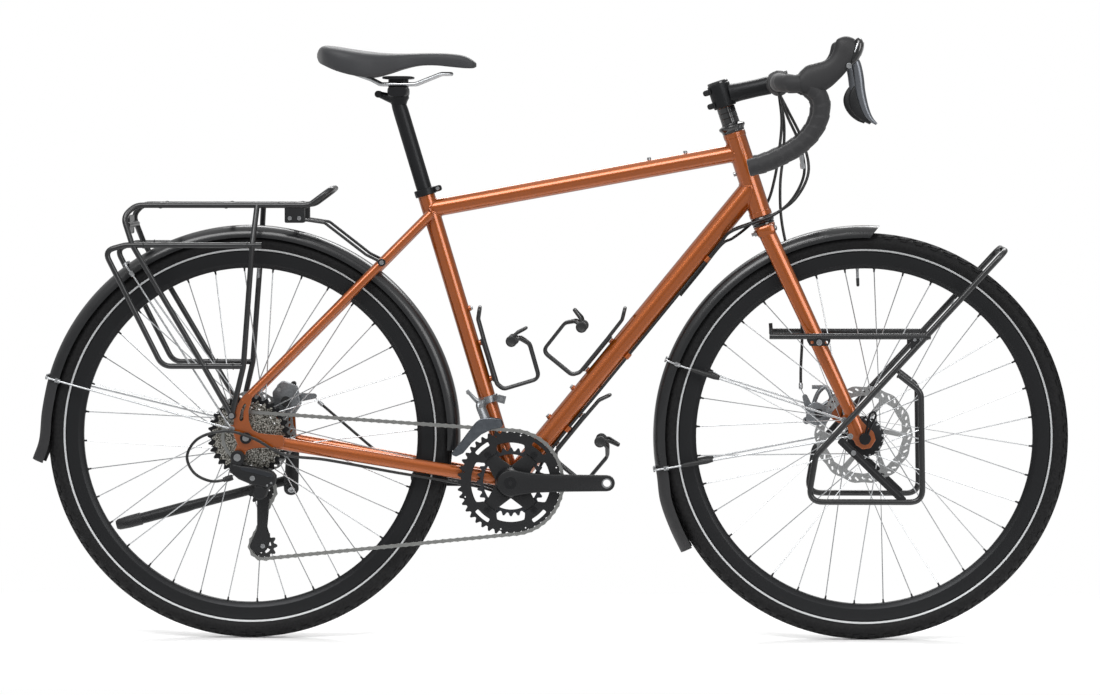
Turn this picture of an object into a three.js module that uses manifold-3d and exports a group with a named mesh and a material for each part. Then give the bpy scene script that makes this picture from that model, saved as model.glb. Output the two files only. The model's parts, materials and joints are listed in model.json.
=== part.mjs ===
// Touring bicycle with drop bars, two racks, mudguards, three bottle cages and a folded stand.
// Millimetres. +X is forwards, +Y is the rider's left, +Z is up.
// The origin is on the ground under the middle of the whole bicycle.
import * as THREE from "three";
import { mergeVertices } from "three/addons/utils/BufferGeometryUtils.js";
import Module from "manifold-3d";

const wasm = await Module();
wasm.setup();

// Driving dimensions

const wheelRadius = 349;
const tyreHeight = 32;
const mudguardClearance = 13;
const flapOverhang = 16.2;
const chainstayClearance = 95;
const toeClearance = 242.53;
const bracketDrop = 77;
const seatAngle = THREE.MathUtils.degToRad(73.3);
const headAngle = THREE.MathUtils.degToRad(71.8);
const forkRake = 50.4;
const crownClearance = 51.4;
const seatTubeLength = 523;
const headTubeLength = 151;
const topTubeRearInset = 36;
const topTubeFrontInset = 35;
const downTubeFrontHeight = 52;
const rearHubWidth = 135;
const frontHubWidth = 100;
const crankLength = 165;
const chainLine = 45;
const postShowing = 153;
const postHeadDrop = 84.51;
const saddleLength = 272;
const saddleWidth = 148;
const stemReach = 99;
const barHalfWidth = 220;
const barReach = 71.3;
const barDrop = 142.4;

// Tubes, walls and sections

const seatTubeRadius = 14.8;
const topTubeRadius = 15.25;
const headTubeRadius = 18.7;
const downTubeRadius = 19;
const bracketShellRadius = 21;
const bracketShellWidth = 68;
const steererRadius = 14.3;
const seatPostRadius = 13.3;
const crankAxleRadius = 12;
const chainstayHalfHeight = 11.5;
const chainstayWidthShare = 0.65;
const seatstayRadius = 8.3;
const dropoutThickness = 6;
const forkBladeHalfDepth = 14.5;
const forkEndHalfDepth = 9.5;
const forkWidthShare = 0.62;
const barRadius = 15.5;
const rackTubeRadius = 4.8;
const frontRackTubeRadius = 5;
const stayWireRadius = 1.7;
const cageRodRadius = 3.2;
const cableRadius = 2.5;
const railRadius = 3.5;
const tyreWidth = 38;
const rimWidth = 24;
const rimDepth = 29;
const mudguardHalfWidth = 26;
const mudguardDepth = 21;
const mudguardWall = 1.8;
const rotorRadius = 85;
const rotorThickness = 1.8;
const rotorOffset = 40;
const sprocketPitchRadius = 42.6;
const chainringPitchRadius = 89.1;
const pulleyPitchRadius = 22.5;
const chainHalfHeight = 3.5;
const chainWidth = 5;

// Clearances and steps

const gap = 0.35;
const runningGap = 0.6;
const overrun = 4;
const wheelSegments = 32;
const hubSegments = 16;
const tubeSides = 10;
const rodSides = 8;
const railSides = 6;
const wireSides = 5;
const bendSteps = 2;

// Vectors and places

const at = (x, y, z) => new THREE.Vector3(x, y, z);
const along = (origin, direction, distance) => origin.clone().addScaledVector(direction, distance);
const beside = (point, y) => at(point.x, y, point.z);
const mirrored = (point) => at(point.x, -point.y, point.z);
const between = (start, end, share) => start.clone().lerp(end, share);
const placed = (origin, size, [ahead, up], y = 0) =>
  at(origin.x + size * ahead, y, origin.z + size * up);
const leftward = at(0, 1, 0);
const upward = at(0, 0, 1);
const sides = { right: -1, left: 1 };

const bearingRimRadius = wheelRadius - tyreHeight;
const mudguardRadius = wheelRadius + mudguardClearance;
const rearFlapReach = mudguardRadius + flapOverhang;
const chainstayLength = mudguardRadius + chainstayClearance;
const forkLength = mudguardRadius + crownClearance;
const bracketRun = Math.sqrt(chainstayLength ** 2 - bracketDrop ** 2);
const wheelbase = bracketRun + mudguardRadius + toeClearance;
const rearAxle = at((rearFlapReach - wheelRadius - wheelbase) / 2, 0, wheelRadius);
const frontAxle = at(rearAxle.x + wheelbase, 0, wheelRadius);
const bracket = at(rearAxle.x + bracketRun, 0, wheelRadius - bracketDrop);
const seatUp = at(-Math.cos(seatAngle), 0, Math.sin(seatAngle));
const seatFront = at(Math.sin(seatAngle), 0, Math.cos(seatAngle));
const steerUp = at(-Math.cos(headAngle), 0, Math.sin(headAngle));
const steerFront = at(Math.sin(headAngle), 0, Math.cos(headAngle));
const headBottom = along(along(frontAxle, steerFront, -forkRake), steerUp, forkLength);
const headTop = along(headBottom, steerUp, headTubeLength);
const seatTop = along(bracket, seatUp, seatTubeLength);
const postHead = along(seatTop, seatUp, postShowing);
const saddleHeight = postHead.z + postHeadDrop;
const topTubeRear = along(bracket, seatUp, seatTubeLength - topTubeRearInset);
const topTubeFront = along(headBottom, steerUp, headTubeLength - topTubeFrontInset);
const downTubeFront = along(headBottom, steerUp, downTubeFrontHeight);
const downTubeUp = downTubeFront.clone().sub(bracket).normalize();
const downTubeUnder = at(downTubeUp.z, 0, -downTubeUp.x);

// Solids

function toSolid(geometry) {
  const bare = geometry.clone();
  bare.deleteAttribute("normal");
  bare.deleteAttribute("uv");
  const merged = mergeVertices(bare);
  const places = merged.attributes.position.array;
  const corners = [];
  for (let i = 0; i < merged.index.count; i += 3) {
    const [a, b, c] = [0, 1, 2].map((k) => merged.index.getX(i + k));
    if (a !== b && b !== c && c !== a) corners.push(a, b, c);
  }
  if (signedVolume(places, corners) < 0) corners.reverse();
  return new wasm.Manifold(
    new wasm.Mesh({
      numProp: 3,
      vertProperties: new Float32Array(places),
      triVerts: new Uint32Array(corners),
    }),
  );
}

function toGeometry(solid) {
  const { vertProperties, triVerts } = solid.getMesh();
  const geometry = new THREE.BufferGeometry();
  geometry.setAttribute("position", new THREE.BufferAttribute(vertProperties, 3));
  geometry.setIndex(new THREE.BufferAttribute(triVerts, 1));
  geometry.computeVertexNormals();
  return geometry;
}

function signedVolume(places, corners) {
  const [a, b, c] = [at(0, 0, 0), at(0, 0, 0), at(0, 0, 0)];
  let volume = 0;
  for (let i = 0; i < corners.length; i += 3) {
    a.fromArray(places, corners[i] * 3);
    b.fromArray(places, corners[i + 1] * 3);
    c.fromArray(places, corners[i + 2] * 3);
    volume += a.dot(b.cross(c));
  }
  return volume;
}

function join(...solids) {
  return solids.flat().reduce((whole, next) => whole.add(next));
}

function cut(solid, ...tools) {
  return tools.flat().reduce((whole, tool) => whole.subtract(tool), solid);
}

// A straight round bar from one point to another, which may taper.
function rod(start, end, radius, count = rodSides, endRadius = radius) {
  return strut(start, end, radius, endRadius, 1, count);
}

// A straight bar whose width across the bicycle is a share of its depth. Four sides make it flat.
function strut(start, end, startHalf, endHalf, widthShare, count = tubeSides) {
  const direction = end.clone().sub(start);
  const length = direction.length();
  direction.normalize();
  const across = Math.abs(direction.y) > Math.SQRT1_2 ? upward.clone() : leftward.clone();
  across.addScaledVector(direction, -across.dot(direction)).normalize();
  const depth = new THREE.Vector3().crossVectors(direction, across);
  const reach = count === 4 ? Math.SQRT2 : 1;
  const geometry = new THREE.CylinderGeometry(endHalf * reach, startHalf * reach, length, count);
  if (count === 4) geometry.rotateY(Math.PI / 4);
  geometry.scale(1, 1, widthShare);
  const frame = new THREE.Matrix4().makeBasis(depth, direction, across);
  frame.setPosition(between(start, end, 0.5));
  return toSolid(geometry.applyMatrix4(frame));
}

function box(x, y, z) {
  const geometry = new THREE.BoxGeometry(x[1] - x[0], y[1] - y[0], z[1] - z[0]);
  geometry.translate((x[0] + x[1]) / 2, (y[0] + y[1]) / 2, (z[0] + z[1]) / 2);
  return toSolid(geometry);
}

// A turned solid about an axis across the bicycle, from radius and place pairs.
function turned(centre, profile, count = hubSegments) {
  return toSolid(turnedGeometry(profile, count).translate(centre.x, centre.y, centre.z));
}

function turnedGeometry(profile, count) {
  const points = profile.map(([radius, place]) => new THREE.Vector2(radius, place));
  if (points[0].x > 0 || points.at(-1).x > 0) points.push(points[0].clone());
  return new THREE.LatheGeometry(points, count);
}

// A turned solid about any line.
function turnedOn(origin, direction, profile, count = hubSegments) {
  const turn = new THREE.Quaternion().setFromUnitVectors(leftward, direction);
  const frame = new THREE.Matrix4().makeRotationFromQuaternion(turn).setPosition(origin);
  return toSolid(turnedGeometry(profile, count).applyMatrix4(frame));
}

// A flat plate seen from the side, between two places across the bicycle.
function plate(origin, outline, from, to, holes = []) {
  const shape = new THREE.Shape(outline.map(([x, z]) => new THREE.Vector2(x, z)));
  shape.holes = holes.map((hole) => new THREE.Path(hole.map(([x, z]) => new THREE.Vector2(x, z))));
  const geometry = new THREE.ExtrudeGeometry(shape, { depth: to - from, bevelEnabled: false });
  geometry.rotateX(Math.PI / 2);
  geometry.translate(origin.x, to, origin.z);
  return toSolid(geometry);
}

// An outline of shares drawn out to a size.
function scaled(size, shares) {
  return shares.map(([x, z]) => [size * x, size * z]);
}

function ringOutline(radius, count, start = 0) {
  return Array.from({ length: count }, (unused, i) => {
    const angle = start + (i / count) * 2 * Math.PI;
    return [radius * Math.cos(angle), radius * Math.sin(angle)];
  });
}

// Routes for bent tubes and wires

// A path that steps through its own points, with a section that never twists.
class Route extends THREE.Curve {
  constructor(stops, across) {
    super();
    this.stops = stops;
    this.across = across;
  }

  getPoint(share, target = new THREE.Vector3()) {
    return target.copy(this.stops[Math.round(share * (this.stops.length - 1))]);
  }

  getSpacedPoints() {
    return this.stops.map((stop) => stop.clone());
  }

  tangentAt(i) {
    const last = this.stops.length - 1;
    const tangent = at(0, 0, 0);
    if (i > 0) tangent.add(this.stops[i].clone().sub(this.stops[i - 1]).normalize());
    if (i < last) tangent.add(this.stops[i + 1].clone().sub(this.stops[i]).normalize());
    return tangent.normalize();
  }

  computeFrenetFrames() {
    const tangents = this.stops.map((stop, i) => this.tangentAt(i));
    let across = this.across.clone();
    const normals = tangents.map((tangent) => {
      across = across.clone().addScaledVector(tangent, -across.dot(tangent)).normalize();
      return across;
    });
    const binormals = tangents.map((tangent, i) => tangent.clone().cross(normals[i]));
    return { tangents, normals, binormals };
  }
}

function sweep(stops, section, across = leftward) {
  const shape = new THREE.Shape(section.map(([x, y]) => new THREE.Vector2(x, y)));
  const route = new Route(stops, across);
  const settings = { steps: stops.length - 1, extrudePath: route, bevelEnabled: false };
  return toSolid(new THREE.ExtrudeGeometry(shape, settings));
}

// The points of a path whose corners are rounded.
function bent(points, radius, steps = bendSteps) {
  const stops = [points[0]];
  for (let i = 1; i < points.length - 1; i += 1) {
    const back = points[i - 1].clone().sub(points[i]);
    const ahead = points[i + 1].clone().sub(points[i]);
    const turn = Math.PI - back.angleTo(ahead);
    const wanted = radius * Math.tan(turn / 2);
    const reach = Math.min(wanted, back.length() / 2.1, ahead.length() / 2.1);
    const start = along(points[i], back.normalize(), reach);
    const end = along(points[i], ahead.normalize(), reach);
    stops.push(...new THREE.QuadraticBezierCurve3(start, points[i], end).getPoints(steps));
  }
  stops.push(points.at(-1));
  return stops;
}

function tube(points, radius, bendRadius, count = rodSides, across = leftward) {
  return sweep(bent(points, bendRadius), ringOutline(radius, count), across);
}

// The points of a smooth line through hand-placed points.
function smooth(points, steps) {
  return new THREE.CatmullRomCurve3(points).getPoints(steps);
}

// An arc about an axle, seen from the right side, angles from straight ahead.
function arcAround(centre, radius, startDegrees, endDegrees, steps, y = 0) {
  return Array.from({ length: steps + 1 }, (unused, i) => {
    const degrees = startDegrees + ((endDegrees - startDegrees) * i) / steps;
    return polar(centre, radius, degrees, y);
  });
}

function polar(centre, radius, degrees, y = 0) {
  const angle = THREE.MathUtils.degToRad(degrees);
  return at(centre.x + radius * Math.cos(angle), y, centre.z + radius * Math.sin(angle));
}

// Paints and finishes

const paints = {
  copper: { color: 0xc0642a, roughness: 0.35, metalness: 0.6 },
  blackMetal: { color: 0x1b1c1e, roughness: 0.4, metalness: 0.5 },
  black: { color: 0x1d1d1f, roughness: 0.6, metalness: 0 },
  rubber: { color: 0x161617, roughness: 0.85, metalness: 0 },
  silver: { color: 0xc4c6c8, roughness: 0.3, metalness: 0.9 },
  steel: { color: 0x8f8f8c, roughness: 0.4, metalness: 0.9 },
};
const materials = Object.fromEntries(
  Object.entries(paints).map(([name, look]) => [name, new THREE.MeshStandardMaterial(look)]),
);

const bicycle = new THREE.Group();

function addPiece(name, solid, material) {
  const mesh = new THREE.Mesh(toGeometry(solid), material);
  mesh.name = name;
  bicycle.add(mesh);
}

// Bottle cages: where their bosses sit on the frame tubes

const cageBossRadius = 5;
const cageBossHeight = 3;
const cageBossSpacing = 64;
const seatCageHeight = 178.5;
const downCageHeight = 230;
const lowerCageHeight = 98;
const spareBossRises = { seatTube: [126], downTube: [-40, -104.5] };

const cageSeats = {
  bottle_cage_seat_tube: {
    origin: bracket,
    up: seatUp,
    out: seatFront,
    height: seatCageHeight,
    spare: spareBossRises.seatTube,
  },
  bottle_cage_down_tube: {
    origin: bracket,
    up: downTubeUp,
    out: downTubeUnder.clone().negate(),
    height: downCageHeight,
    spare: spareBossRises.downTube,
  },
  bottle_cage_lower: {
    origin: bracket,
    up: downTubeUp,
    out: downTubeUnder,
    height: lowerCageHeight,
    spare: [],
  },
};
cageSeats.bottle_cage_seat_tube.tubeRadius = seatTubeRadius;
cageSeats.bottle_cage_down_tube.tubeRadius = downTubeRadius;
cageSeats.bottle_cage_lower.tubeRadius = downTubeRadius;

// Two bosses under each cage, and the spare ones that carry only a screw.
function cageBosses({ origin, up, out, height, tubeRadius, spare }) {
  return [0, cageBossSpacing, ...spare].map((rise) => {
    const foot = along(origin, up, height + rise);
    return rod(foot, along(foot, out, tubeRadius + cageBossHeight), cageBossRadius);
  });
}

// Main frame: seat tube, top tube, down tube, head tube and bottom bracket

const headsetPlay = 1.6;
const bracketCupRadius = 19;
const rightCupDepth = 3.9;
const leftCupDepth = 12;
const postInsert = 150;
const postTravel = 110;

function mainFrame() {
  const halfShell = bracketShellWidth / 2;
  const rightEnd = -halfShell - rightCupDepth;
  const leftEnd = halfShell + leftCupDepth;
  const tubes = join(
    rod(bracket, seatTop, seatTubeRadius, tubeSides),
    rod(bracket, downTubeFront, downTubeRadius, tubeSides),
    rod(topTubeRear, topTubeFront, topTubeRadius, tubeSides),
    rod(headBottom, headTop, headTubeRadius, tubeSides),
    turned(bracket, [
      [0, rightEnd],
      [bracketCupRadius, rightEnd],
      [bracketCupRadius, -halfShell],
      [bracketShellRadius, -halfShell],
      [bracketShellRadius, halfShell],
      [bracketCupRadius, halfShell],
      [bracketCupRadius, leftEnd],
      [0, leftEnd],
    ]),
    Object.values(cageSeats).flatMap(cageBosses),
  );
  const boreRadius = steererRadius + headsetPlay;
  return cut(
    tubes,
    rod(along(headBottom, steerUp, -overrun), along(headTop, steerUp, overrun), boreRadius, tubeSides),
    rod(postFoot(-postTravel - overrun), along(seatTop, seatUp, overrun), seatPostRadius + gap, tubeSides),
    rod(
      beside(bracket, rightEnd - overrun),
      beside(bracket, leftEnd + overrun),
      crankAxleRadius + 2 * runningGap,
      tubeSides,
    ),
  );
}

function postFoot(rise) {
  return along(seatTop, seatUp, rise - postInsert);
}

// Rear triangle: chainstays, seatstays, dropouts, bridges and eyelets

const stayFootY = 18;
const stayTipInset = 7.23;
const seatstayTopY = 18;
const seatstayFootRadius = 7;
const seatstayInset = 8;
const dropoutReach = 72;
const stayEndShare = 1 - (0.711 * dropoutReach) / chainstayLength;
const dropoutInner = rearHubWidth / 2 + gap;
const dropoutOuter = dropoutInner + dropoutThickness;
const stayEndY = stayFootY + (dropoutInner - stayTipInset - stayFootY) / stayEndShare;
const seatstayFoot = placed(rearAxle, dropoutReach, [-0.069, 0.861]);
const chainstayBridgeShare = 0.17;
const bridgeRadius = 6;
const seatstayBridgeShare = 0.255;
const hanger = placed(rearAxle, dropoutReach, [-0.189, -0.45]);
const hangerRadius = 9;
const rackEyelet = placed(rearAxle, dropoutReach, [-0.329, 0.535]);
const guardEyelet = placed(rearAxle, dropoutReach, [-0.335, 0.215]);
const dropoutShares = [
  [-0.472, 0.639], [-0.194, 1], [0.083, 0.944], [0.125, 0.625], [0.333, 0.194], [0.778, 0.056],
  [0.778, -0.25], [0.306, -0.25], [0.056, -0.306], [-0.222, -0.222], [-0.444, 0.056],
];
const hangerShares = [[-0.222, 0], [-0.306, -0.389], [-0.069, -0.5], [0.167, 0]];
const calliperMountShares = [
  [0.528, -0.083], [0.528, 0.972], [0.722, 1.111], [0.972, 0.917], [1.028, -0.139],
];

function chainstayLine(hand) {
  return [beside(bracket, hand * stayFootY), beside(rearAxle, hand * stayEndY)];
}

function seatstayLine(hand) {
  const top = along(topTubeRear, seatUp, -seatstayInset);
  return [beside(top, hand * seatstayTopY), beside(seatstayFoot, hand * (dropoutInner - gap))];
}

function rearFrame() {
  const stays = Object.values(sides).flatMap((hand) => {
    const [foot, end] = chainstayLine(hand);
    const [top, low] = seatstayLine(hand);
    const [from, to] = [hand * dropoutInner, hand * dropoutOuter].sort((a, b) => a - b);
    const stayEnd = between(foot, end, stayEndShare);
    return [
      strut(foot, stayEnd, chainstayHalfHeight, chainstayHalfHeight, chainstayWidthShare),
      rod(top, low, seatstayRadius, tubeSides, seatstayFootRadius),
      plate(rearAxle, scaled(dropoutReach, dropoutShares), from, to),
    ];
  });
  const chainBridge = chainstayBridgePlace();
  const [stayTop, stayFoot] = seatstayLine(1);
  const seatBridge = between(stayTop, stayFoot, seatstayBridgeShare);
  const spread = seatstayTopY + seatstayRadius;
  const hangerPlate = join(
    rod(beside(hanger, -dropoutOuter), beside(hanger, -dropoutInner), hangerRadius, tubeSides),
    plate(rearAxle, scaled(dropoutReach, hangerShares), -dropoutOuter, -dropoutInner),
  );
  const mountInner = calliperOuter + gap;
  const whole = join(
    stays,
    rod(beside(chainBridge, -stayFootY * 1.3), beside(chainBridge, stayFootY * 1.3), bridgeRadius),
    rod(beside(seatBridge, -spread), beside(seatBridge, spread), bridgeRadius),
    hangerPlate,
    plate(rearAxle, scaled(dropoutReach, calliperMountShares), mountInner, mountInner + dropoutThickness),
  );
  return cut(
    whole,
    rod(bracket, seatTop, seatTubeRadius + gap, tubeSides),
    rod(bracket, downTubeFront, downTubeRadius + gap, tubeSides),
    rod(topTubeRear, topTubeFront, topTubeRadius + gap, tubeSides),
    turned(bracket, [
      [0, -bracketShellWidth],
      [bracketShellRadius + gap, -bracketShellWidth],
      [bracketShellRadius + gap, bracketShellWidth],
      [0, bracketShellWidth],
    ]),
    rod(
      beside(rearAxle, -dropoutOuter - overrun),
      beside(rearAxle, dropoutOuter + overrun),
      rearAxleRadius + gap,
      hubSegments,
    ),
  );
}

function chainstayBridgePlace() {
  const [foot, end] = chainstayLine(1);
  return between(foot, end, chainstayBridgeShare);
}

// Seat clamp, seat post, rails and saddle

const seatClampHeight = 12;
const seatClampWall = 3.4;
const seatClampLug = 12;
const postHeadHalfWidth = 31;
const cradleHalfLength = 26;
const saddleDepth = 31;
const clampThickness = 6;
const cradleThickness = 18;
const cradleDrop = 56;
const cradleTop = saddleHeight - cradleDrop;
const cradleBottom = cradleTop - cradleThickness;
const clampDrop = 38;
const clampTop = saddleHeight - clampDrop;
const clampBottom = clampTop - clampThickness;
const webHalfWidth = 17;
const railSpread = 22;
const noseReach = 133.6;
const saddleNose = postHead.x + noseReach;
const saddleUnderside = saddleHeight - saddleDepth;

function seatClamp() {
  const low = along(seatTop, seatUp, -seatClampHeight);
  const outer = seatTubeRadius + gap + seatClampWall;
  const lugFront = along(between(low, seatTop, 0.5), seatFront, outer + seatClampLug / 2);
  const lugRoot = along(between(low, seatTop, 0.5), seatFront, 0);
  return cut(
    join(rod(low, seatTop, outer, tubeSides), rod(lugRoot, lugFront, seatClampHeight / 2.2, 6)),
    rod(along(low, seatUp, -overrun), along(seatTop, seatUp, overrun), seatTubeRadius + gap, tubeSides),
  );
}

function seatPost() {
  const head = postHead;
  const [rear, front] = [head.x - cradleHalfLength, head.x + cradleHalfLength];
  const middle = (cradleHalfLength * 2) / 3;
  const ahead = [head.x - middle, head.x + middle];
  const across = [-postHeadHalfWidth, postHeadHalfWidth];
  const postTop = along(head, seatUp, cradleBottom - head.z);
  return join(
    rod(postFoot(0), postTop, seatPostRadius, tubeSides),
    rod(along(head, seatUp, -seatPostRadius), head, seatPostRadius, tubeSides),
    box(ahead, across, [cradleBottom, cradleTop]),
    box(ahead, [-webHalfWidth, webHalfWidth], [cradleBottom, clampTop]),
    box([rear, front], across, [clampBottom, clampTop]),
  );
}

// Rail stops: along the saddle, across the rails' spread, and below the cushion in rail radii
const railShares = [
  [-0.265, 1, 1], [-0.169, 1, 3.6], [-0.11, 1, 0], [0.11, 1, 0], [0.272, 0.5, 1], [0.353, 0, 1],
];

function saddleRails() {
  const head = postHead;
  const flat = cradleTop + gap + railRadius;
  const half = railShares.map(([ahead, across, down]) => {
    const height = down > 0 ? saddleUnderside - railRadius * down : flat;
    return at(head.x + saddleLength * ahead, railSpread * across, height);
  });
  const whole = [...half.map(mirrored), ...half.slice(0, -1).reverse()];
  return tube(whole, railRadius, 4 * railRadius, railSides);
}

// Saddle: half widths, crown heights and skirt depths as shares along its length from the tail
const saddleStationShares = [
  [0, 0.2, 0.03, 0.2],
  [0.02, 0.5, 0.3, 0.45],
  [0.06, 0.82, 0.42, 0.62],
  [0.14, 0.98, 0.36, 0.9],
  [0.24, 1, 0.22, 1.12],
  [0.34, 0.88, 0.1, 1.22],
  [0.44, 0.66, 0.02, 1.05],
  [0.54, 0.44, 0, 0.8],
  [0.64, 0.33, 0.02, 0.62],
  [0.74, 0.29, 0.03, 0.6],
  [0.84, 0.27, 0, 0.68],
  [0.93, 0.25, -0.12, 0.75],
  [0.98, 0.2, -0.35, 0.75],
  [1, 0.1, -0.5, 0.68],
];
const saddleCrown = 32;
const saddleSkirtShares = [
  [1, 0.62], [0.985, 0.3], [0.9, 0.12], [0.72, 0.03], [0.4, -0.01], [0, 0],
];

function saddle() {
  const rings = saddleStationShares.map(([place, width, crown, skirt]) => {
    const x = saddleNose - saddleLength * (1 - place);
    const half = (saddleWidth / 2) * width;
    const top = saddleHeight + saddleCrown * crown;
    const low = saddleHeight - saddleCrown * skirt;
    const inner = Math.max(low + gap, Math.min(saddleUnderside, top - saddleCrown * 0.19));
    const side = saddleSkirtShares.map(([across, down]) => [half * across, top - (top - low) * down]);
    const outline = [[half * 0.78, inner], [half * 0.86, low], [half * 0.97, low], ...side];
    const right = outline.map(([y, z]) => at(x, -y, z));
    const left = outline.slice(0, -1).reverse().map(([y, z]) => at(x, y, z));
    return [...right, ...left];
  });
  return loft(rings);
}

// A closed skin over rings that all have the same number of points.
function loft(rings) {
  const count = rings[0].length;
  const places = rings.flat().flatMap((point) => point.toArray());
  const corners = [];
  for (let ring = 0; ring < rings.length - 1; ring += 1) {
    for (let i = 0; i < count; i += 1) {
      const [a, b] = [ring * count + i, ring * count + ((i + 1) % count)];
      corners.push(a, b, b + count, a, b + count, a + count);
    }
  }
  for (const [ring, wantedTurn] of [[0, 1], [rings.length - 1, -1]]) {
    const face = rings[ring].map((point) => new THREE.Vector2(point.y, point.z));
    for (const [a, b, c] of THREE.ShapeUtils.triangulateShape(face, [])) {
      const turn = face[b].clone().sub(face[a]).cross(face[c].clone().sub(face[a]));
      const order = turn * wantedTurn > 0 ? [a, b, c] : [a, c, b];
      corners.push(...order.map((i) => ring * count + i));
    }
  }
  const geometry = new THREE.BufferGeometry();
  geometry.setAttribute("position", new THREE.Float32BufferAttribute(places, 3));
  geometry.setIndex(corners);
  return toSolid(geometry);
}

// Headset, fork, stem and handlebar

const upperCupHeight = 17;
const spacerHeight = 28;
const stemHeight = 41;
const topCapHeight = 5;
const lowerCupHeight = 15;
const crownHalfHeight = 10;
const crownHalfDepth = 16;
const crownHalfWidth = 47;
const bladeTopY = 37;
const forkEndInner = frontHubWidth / 2 + gap;
const forkEndThickness = 7;
const forkEndRadius = 27;
const frontAxleRadius = 6;
const rearAxleRadius = 5.2;
const stemDrop = 9.9;
const stemRadius = 15;
const stemClampRadius = 19.5;
const barClampHalfWidth = 23;
const barClampRadius = 20.5;
const hoodHalfWidth = 16;
const leverHalfWidth = 7;
const leverKnuckleRadius = 11;

function steerAt(height) {
  return along(headBottom, steerUp, height);
}

function headsetUpper() {
  const bore = steererRadius + gap;
  const cup = headTubeRadius + 1.3 * gap;
  const spacerTop = gap + upperCupHeight + spacerHeight;
  return turnedOn(headTop, steerUp, [
    [bore, gap],
    [cup - 2 * gap, gap],
    [cup + 4 * gap, upperCupHeight / 2],
    [cup - 2 * gap, upperCupHeight],
    [cup - 10 * gap, upperCupHeight],
    [cup - 10 * gap, spacerTop],
    [bore, spacerTop],
  ]);
}

function headsetLower() {
  const bore = (steererRadius + runningGap) / Math.cos(Math.PI / hubSegments);
  const cup = headTubeRadius;
  return turnedOn(headBottom, steerUp, [
    [bore, -gap],
    [bore, -lowerCupHeight],
    [cup, -lowerCupHeight],
    [cup + 4 * gap, -lowerCupHeight / 2],
    [cup, -gap],
  ]);
}

const crownPlace = steerAt(-lowerCupHeight - gap - crownHalfHeight);
const bladeFoot = placed(frontAxle, forkEndRadius, [-0.28, 0.3]);
const forkEndMiddle = forkEndInner + forkEndThickness / 2;
const forkTabShares = [
  [-1.852, 0.963], [-1.481, 1.704], [-0.593, 1.63], [0.296, 0.815], [0, -0.741], [-1.185, -1.037],
  [-1.259, -0.444],
];
const frontMountShares = [
  [-3.111, 1.259], [-3.111, 2.444], [-2.296, 3.185], [-1.481, 2.741], [-0.519, 1.63],
  [-1.481, 0.667],
];

function bladeAt(hand, share) {
  return between(beside(crownPlace, hand * bladeTopY), beside(bladeFoot, hand * forkEndMiddle), share);
}

function fork() {
  const crown = toSolid(
    new THREE.BoxGeometry(2 * crownHalfDepth, 2 * crownHalfWidth, 2 * crownHalfHeight).applyMatrix4(
      new THREE.Matrix4().makeBasis(steerFront, leftward, steerUp).setPosition(crownPlace),
    ),
  );
  const legs = Object.values(sides).flatMap((hand) => {
    const [from, to] = [forkEndInner, forkEndInner + forkEndThickness]
      .map((place) => hand * place)
      .sort((a, b) => a - b);
    return [
      strut(bladeAt(hand, 0), bladeAt(hand, 1), forkBladeHalfDepth, forkEndHalfDepth, forkWidthShare),
      plate(frontAxle, ringOutline(forkEndRadius, hubSegments), from, to),
      plate(frontAxle, scaled(forkEndRadius, forkTabShares), from, to),
    ];
  });
  const whole = join(
    rod(crownPlace, steerAt(steererTop - gap), steererRadius, tubeSides),
    crown,
    legs,
    plate(
      frontAxle,
      scaled(forkEndRadius, frontMountShares),
      forkEndInner,
      forkEndInner + forkEndThickness,
    ),
  );
  const reach = forkEndInner + forkEndThickness + overrun;
  return cut(
    whole,
    rod(beside(frontAxle, -reach), beside(frontAxle, reach), frontAxleRadius + gap, hubSegments),
    guardClearance(frontAxle),
    turned(frontAxle, [
      [0, -forkEndInner],
      [forkEndRadius + 3 * overrun, -forkEndInner],
      [forkEndRadius + 3 * overrun, forkEndInner],
      [0, forkEndInner],
    ]),
  );
}

// The ring of space that a wheel and its mudguard fill.
function guardClearance(axle) {
  const outer = mudguardRadius + runningGap;
  const half = mudguardHalfWidth + runningGap;
  const shoulder = mudguardRadius - mudguardDepth / 2;
  return turned(
    axle,
    [
      [outer - mudguardDepth * 2, -half],
      [shoulder, -half],
      [outer, -half / 2],
      [outer, half / 2],
      [shoulder, half],
      [outer - mudguardDepth * 2, half],
    ],
    wheelSegments,
  );
}

const steererTop = headTubeLength + 2 * gap + upperCupHeight + spacerHeight + stemHeight;
const stemMiddle = steererTop - stemHeight / 2;
const barCentre = along(along(steerAt(stemMiddle), steerFront, stemReach), steerUp, -stemDrop);

function stem() {
  const low = steerAt(steererTop - stemHeight + gap);
  const high = steerAt(steererTop);
  const halfWidth = barClampHalfWidth;
  const whole = join(
    rod(low, high, stemClampRadius, tubeSides),
    rod(
      steerAt(steererTop - topCapHeight),
      steerAt(steererTop + topCapHeight),
      stemClampRadius - topCapHeight / 2,
      tubeSides,
    ),
    rod(between(steerAt(stemMiddle), barCentre, 0.1), barCentre, stemRadius, tubeSides),
    rod(beside(barCentre, -halfWidth), beside(barCentre, halfWidth), barClampRadius, tubeSides),
  );
  const boreFoot = steerAt(steererTop - stemHeight - overrun);
  return cut(
    whole,
    rod(boreFoot, steerAt(steererTop + gap), steererRadius + gap, tubeSides),
    rod(
      beside(barCentre, -halfWidth - overrun),
      beside(barCentre, halfWidth + overrun),
      (barRadius + gap) / Math.cos(Math.PI / tubeSides),
      tubeSides,
    ),
  );
}

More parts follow.
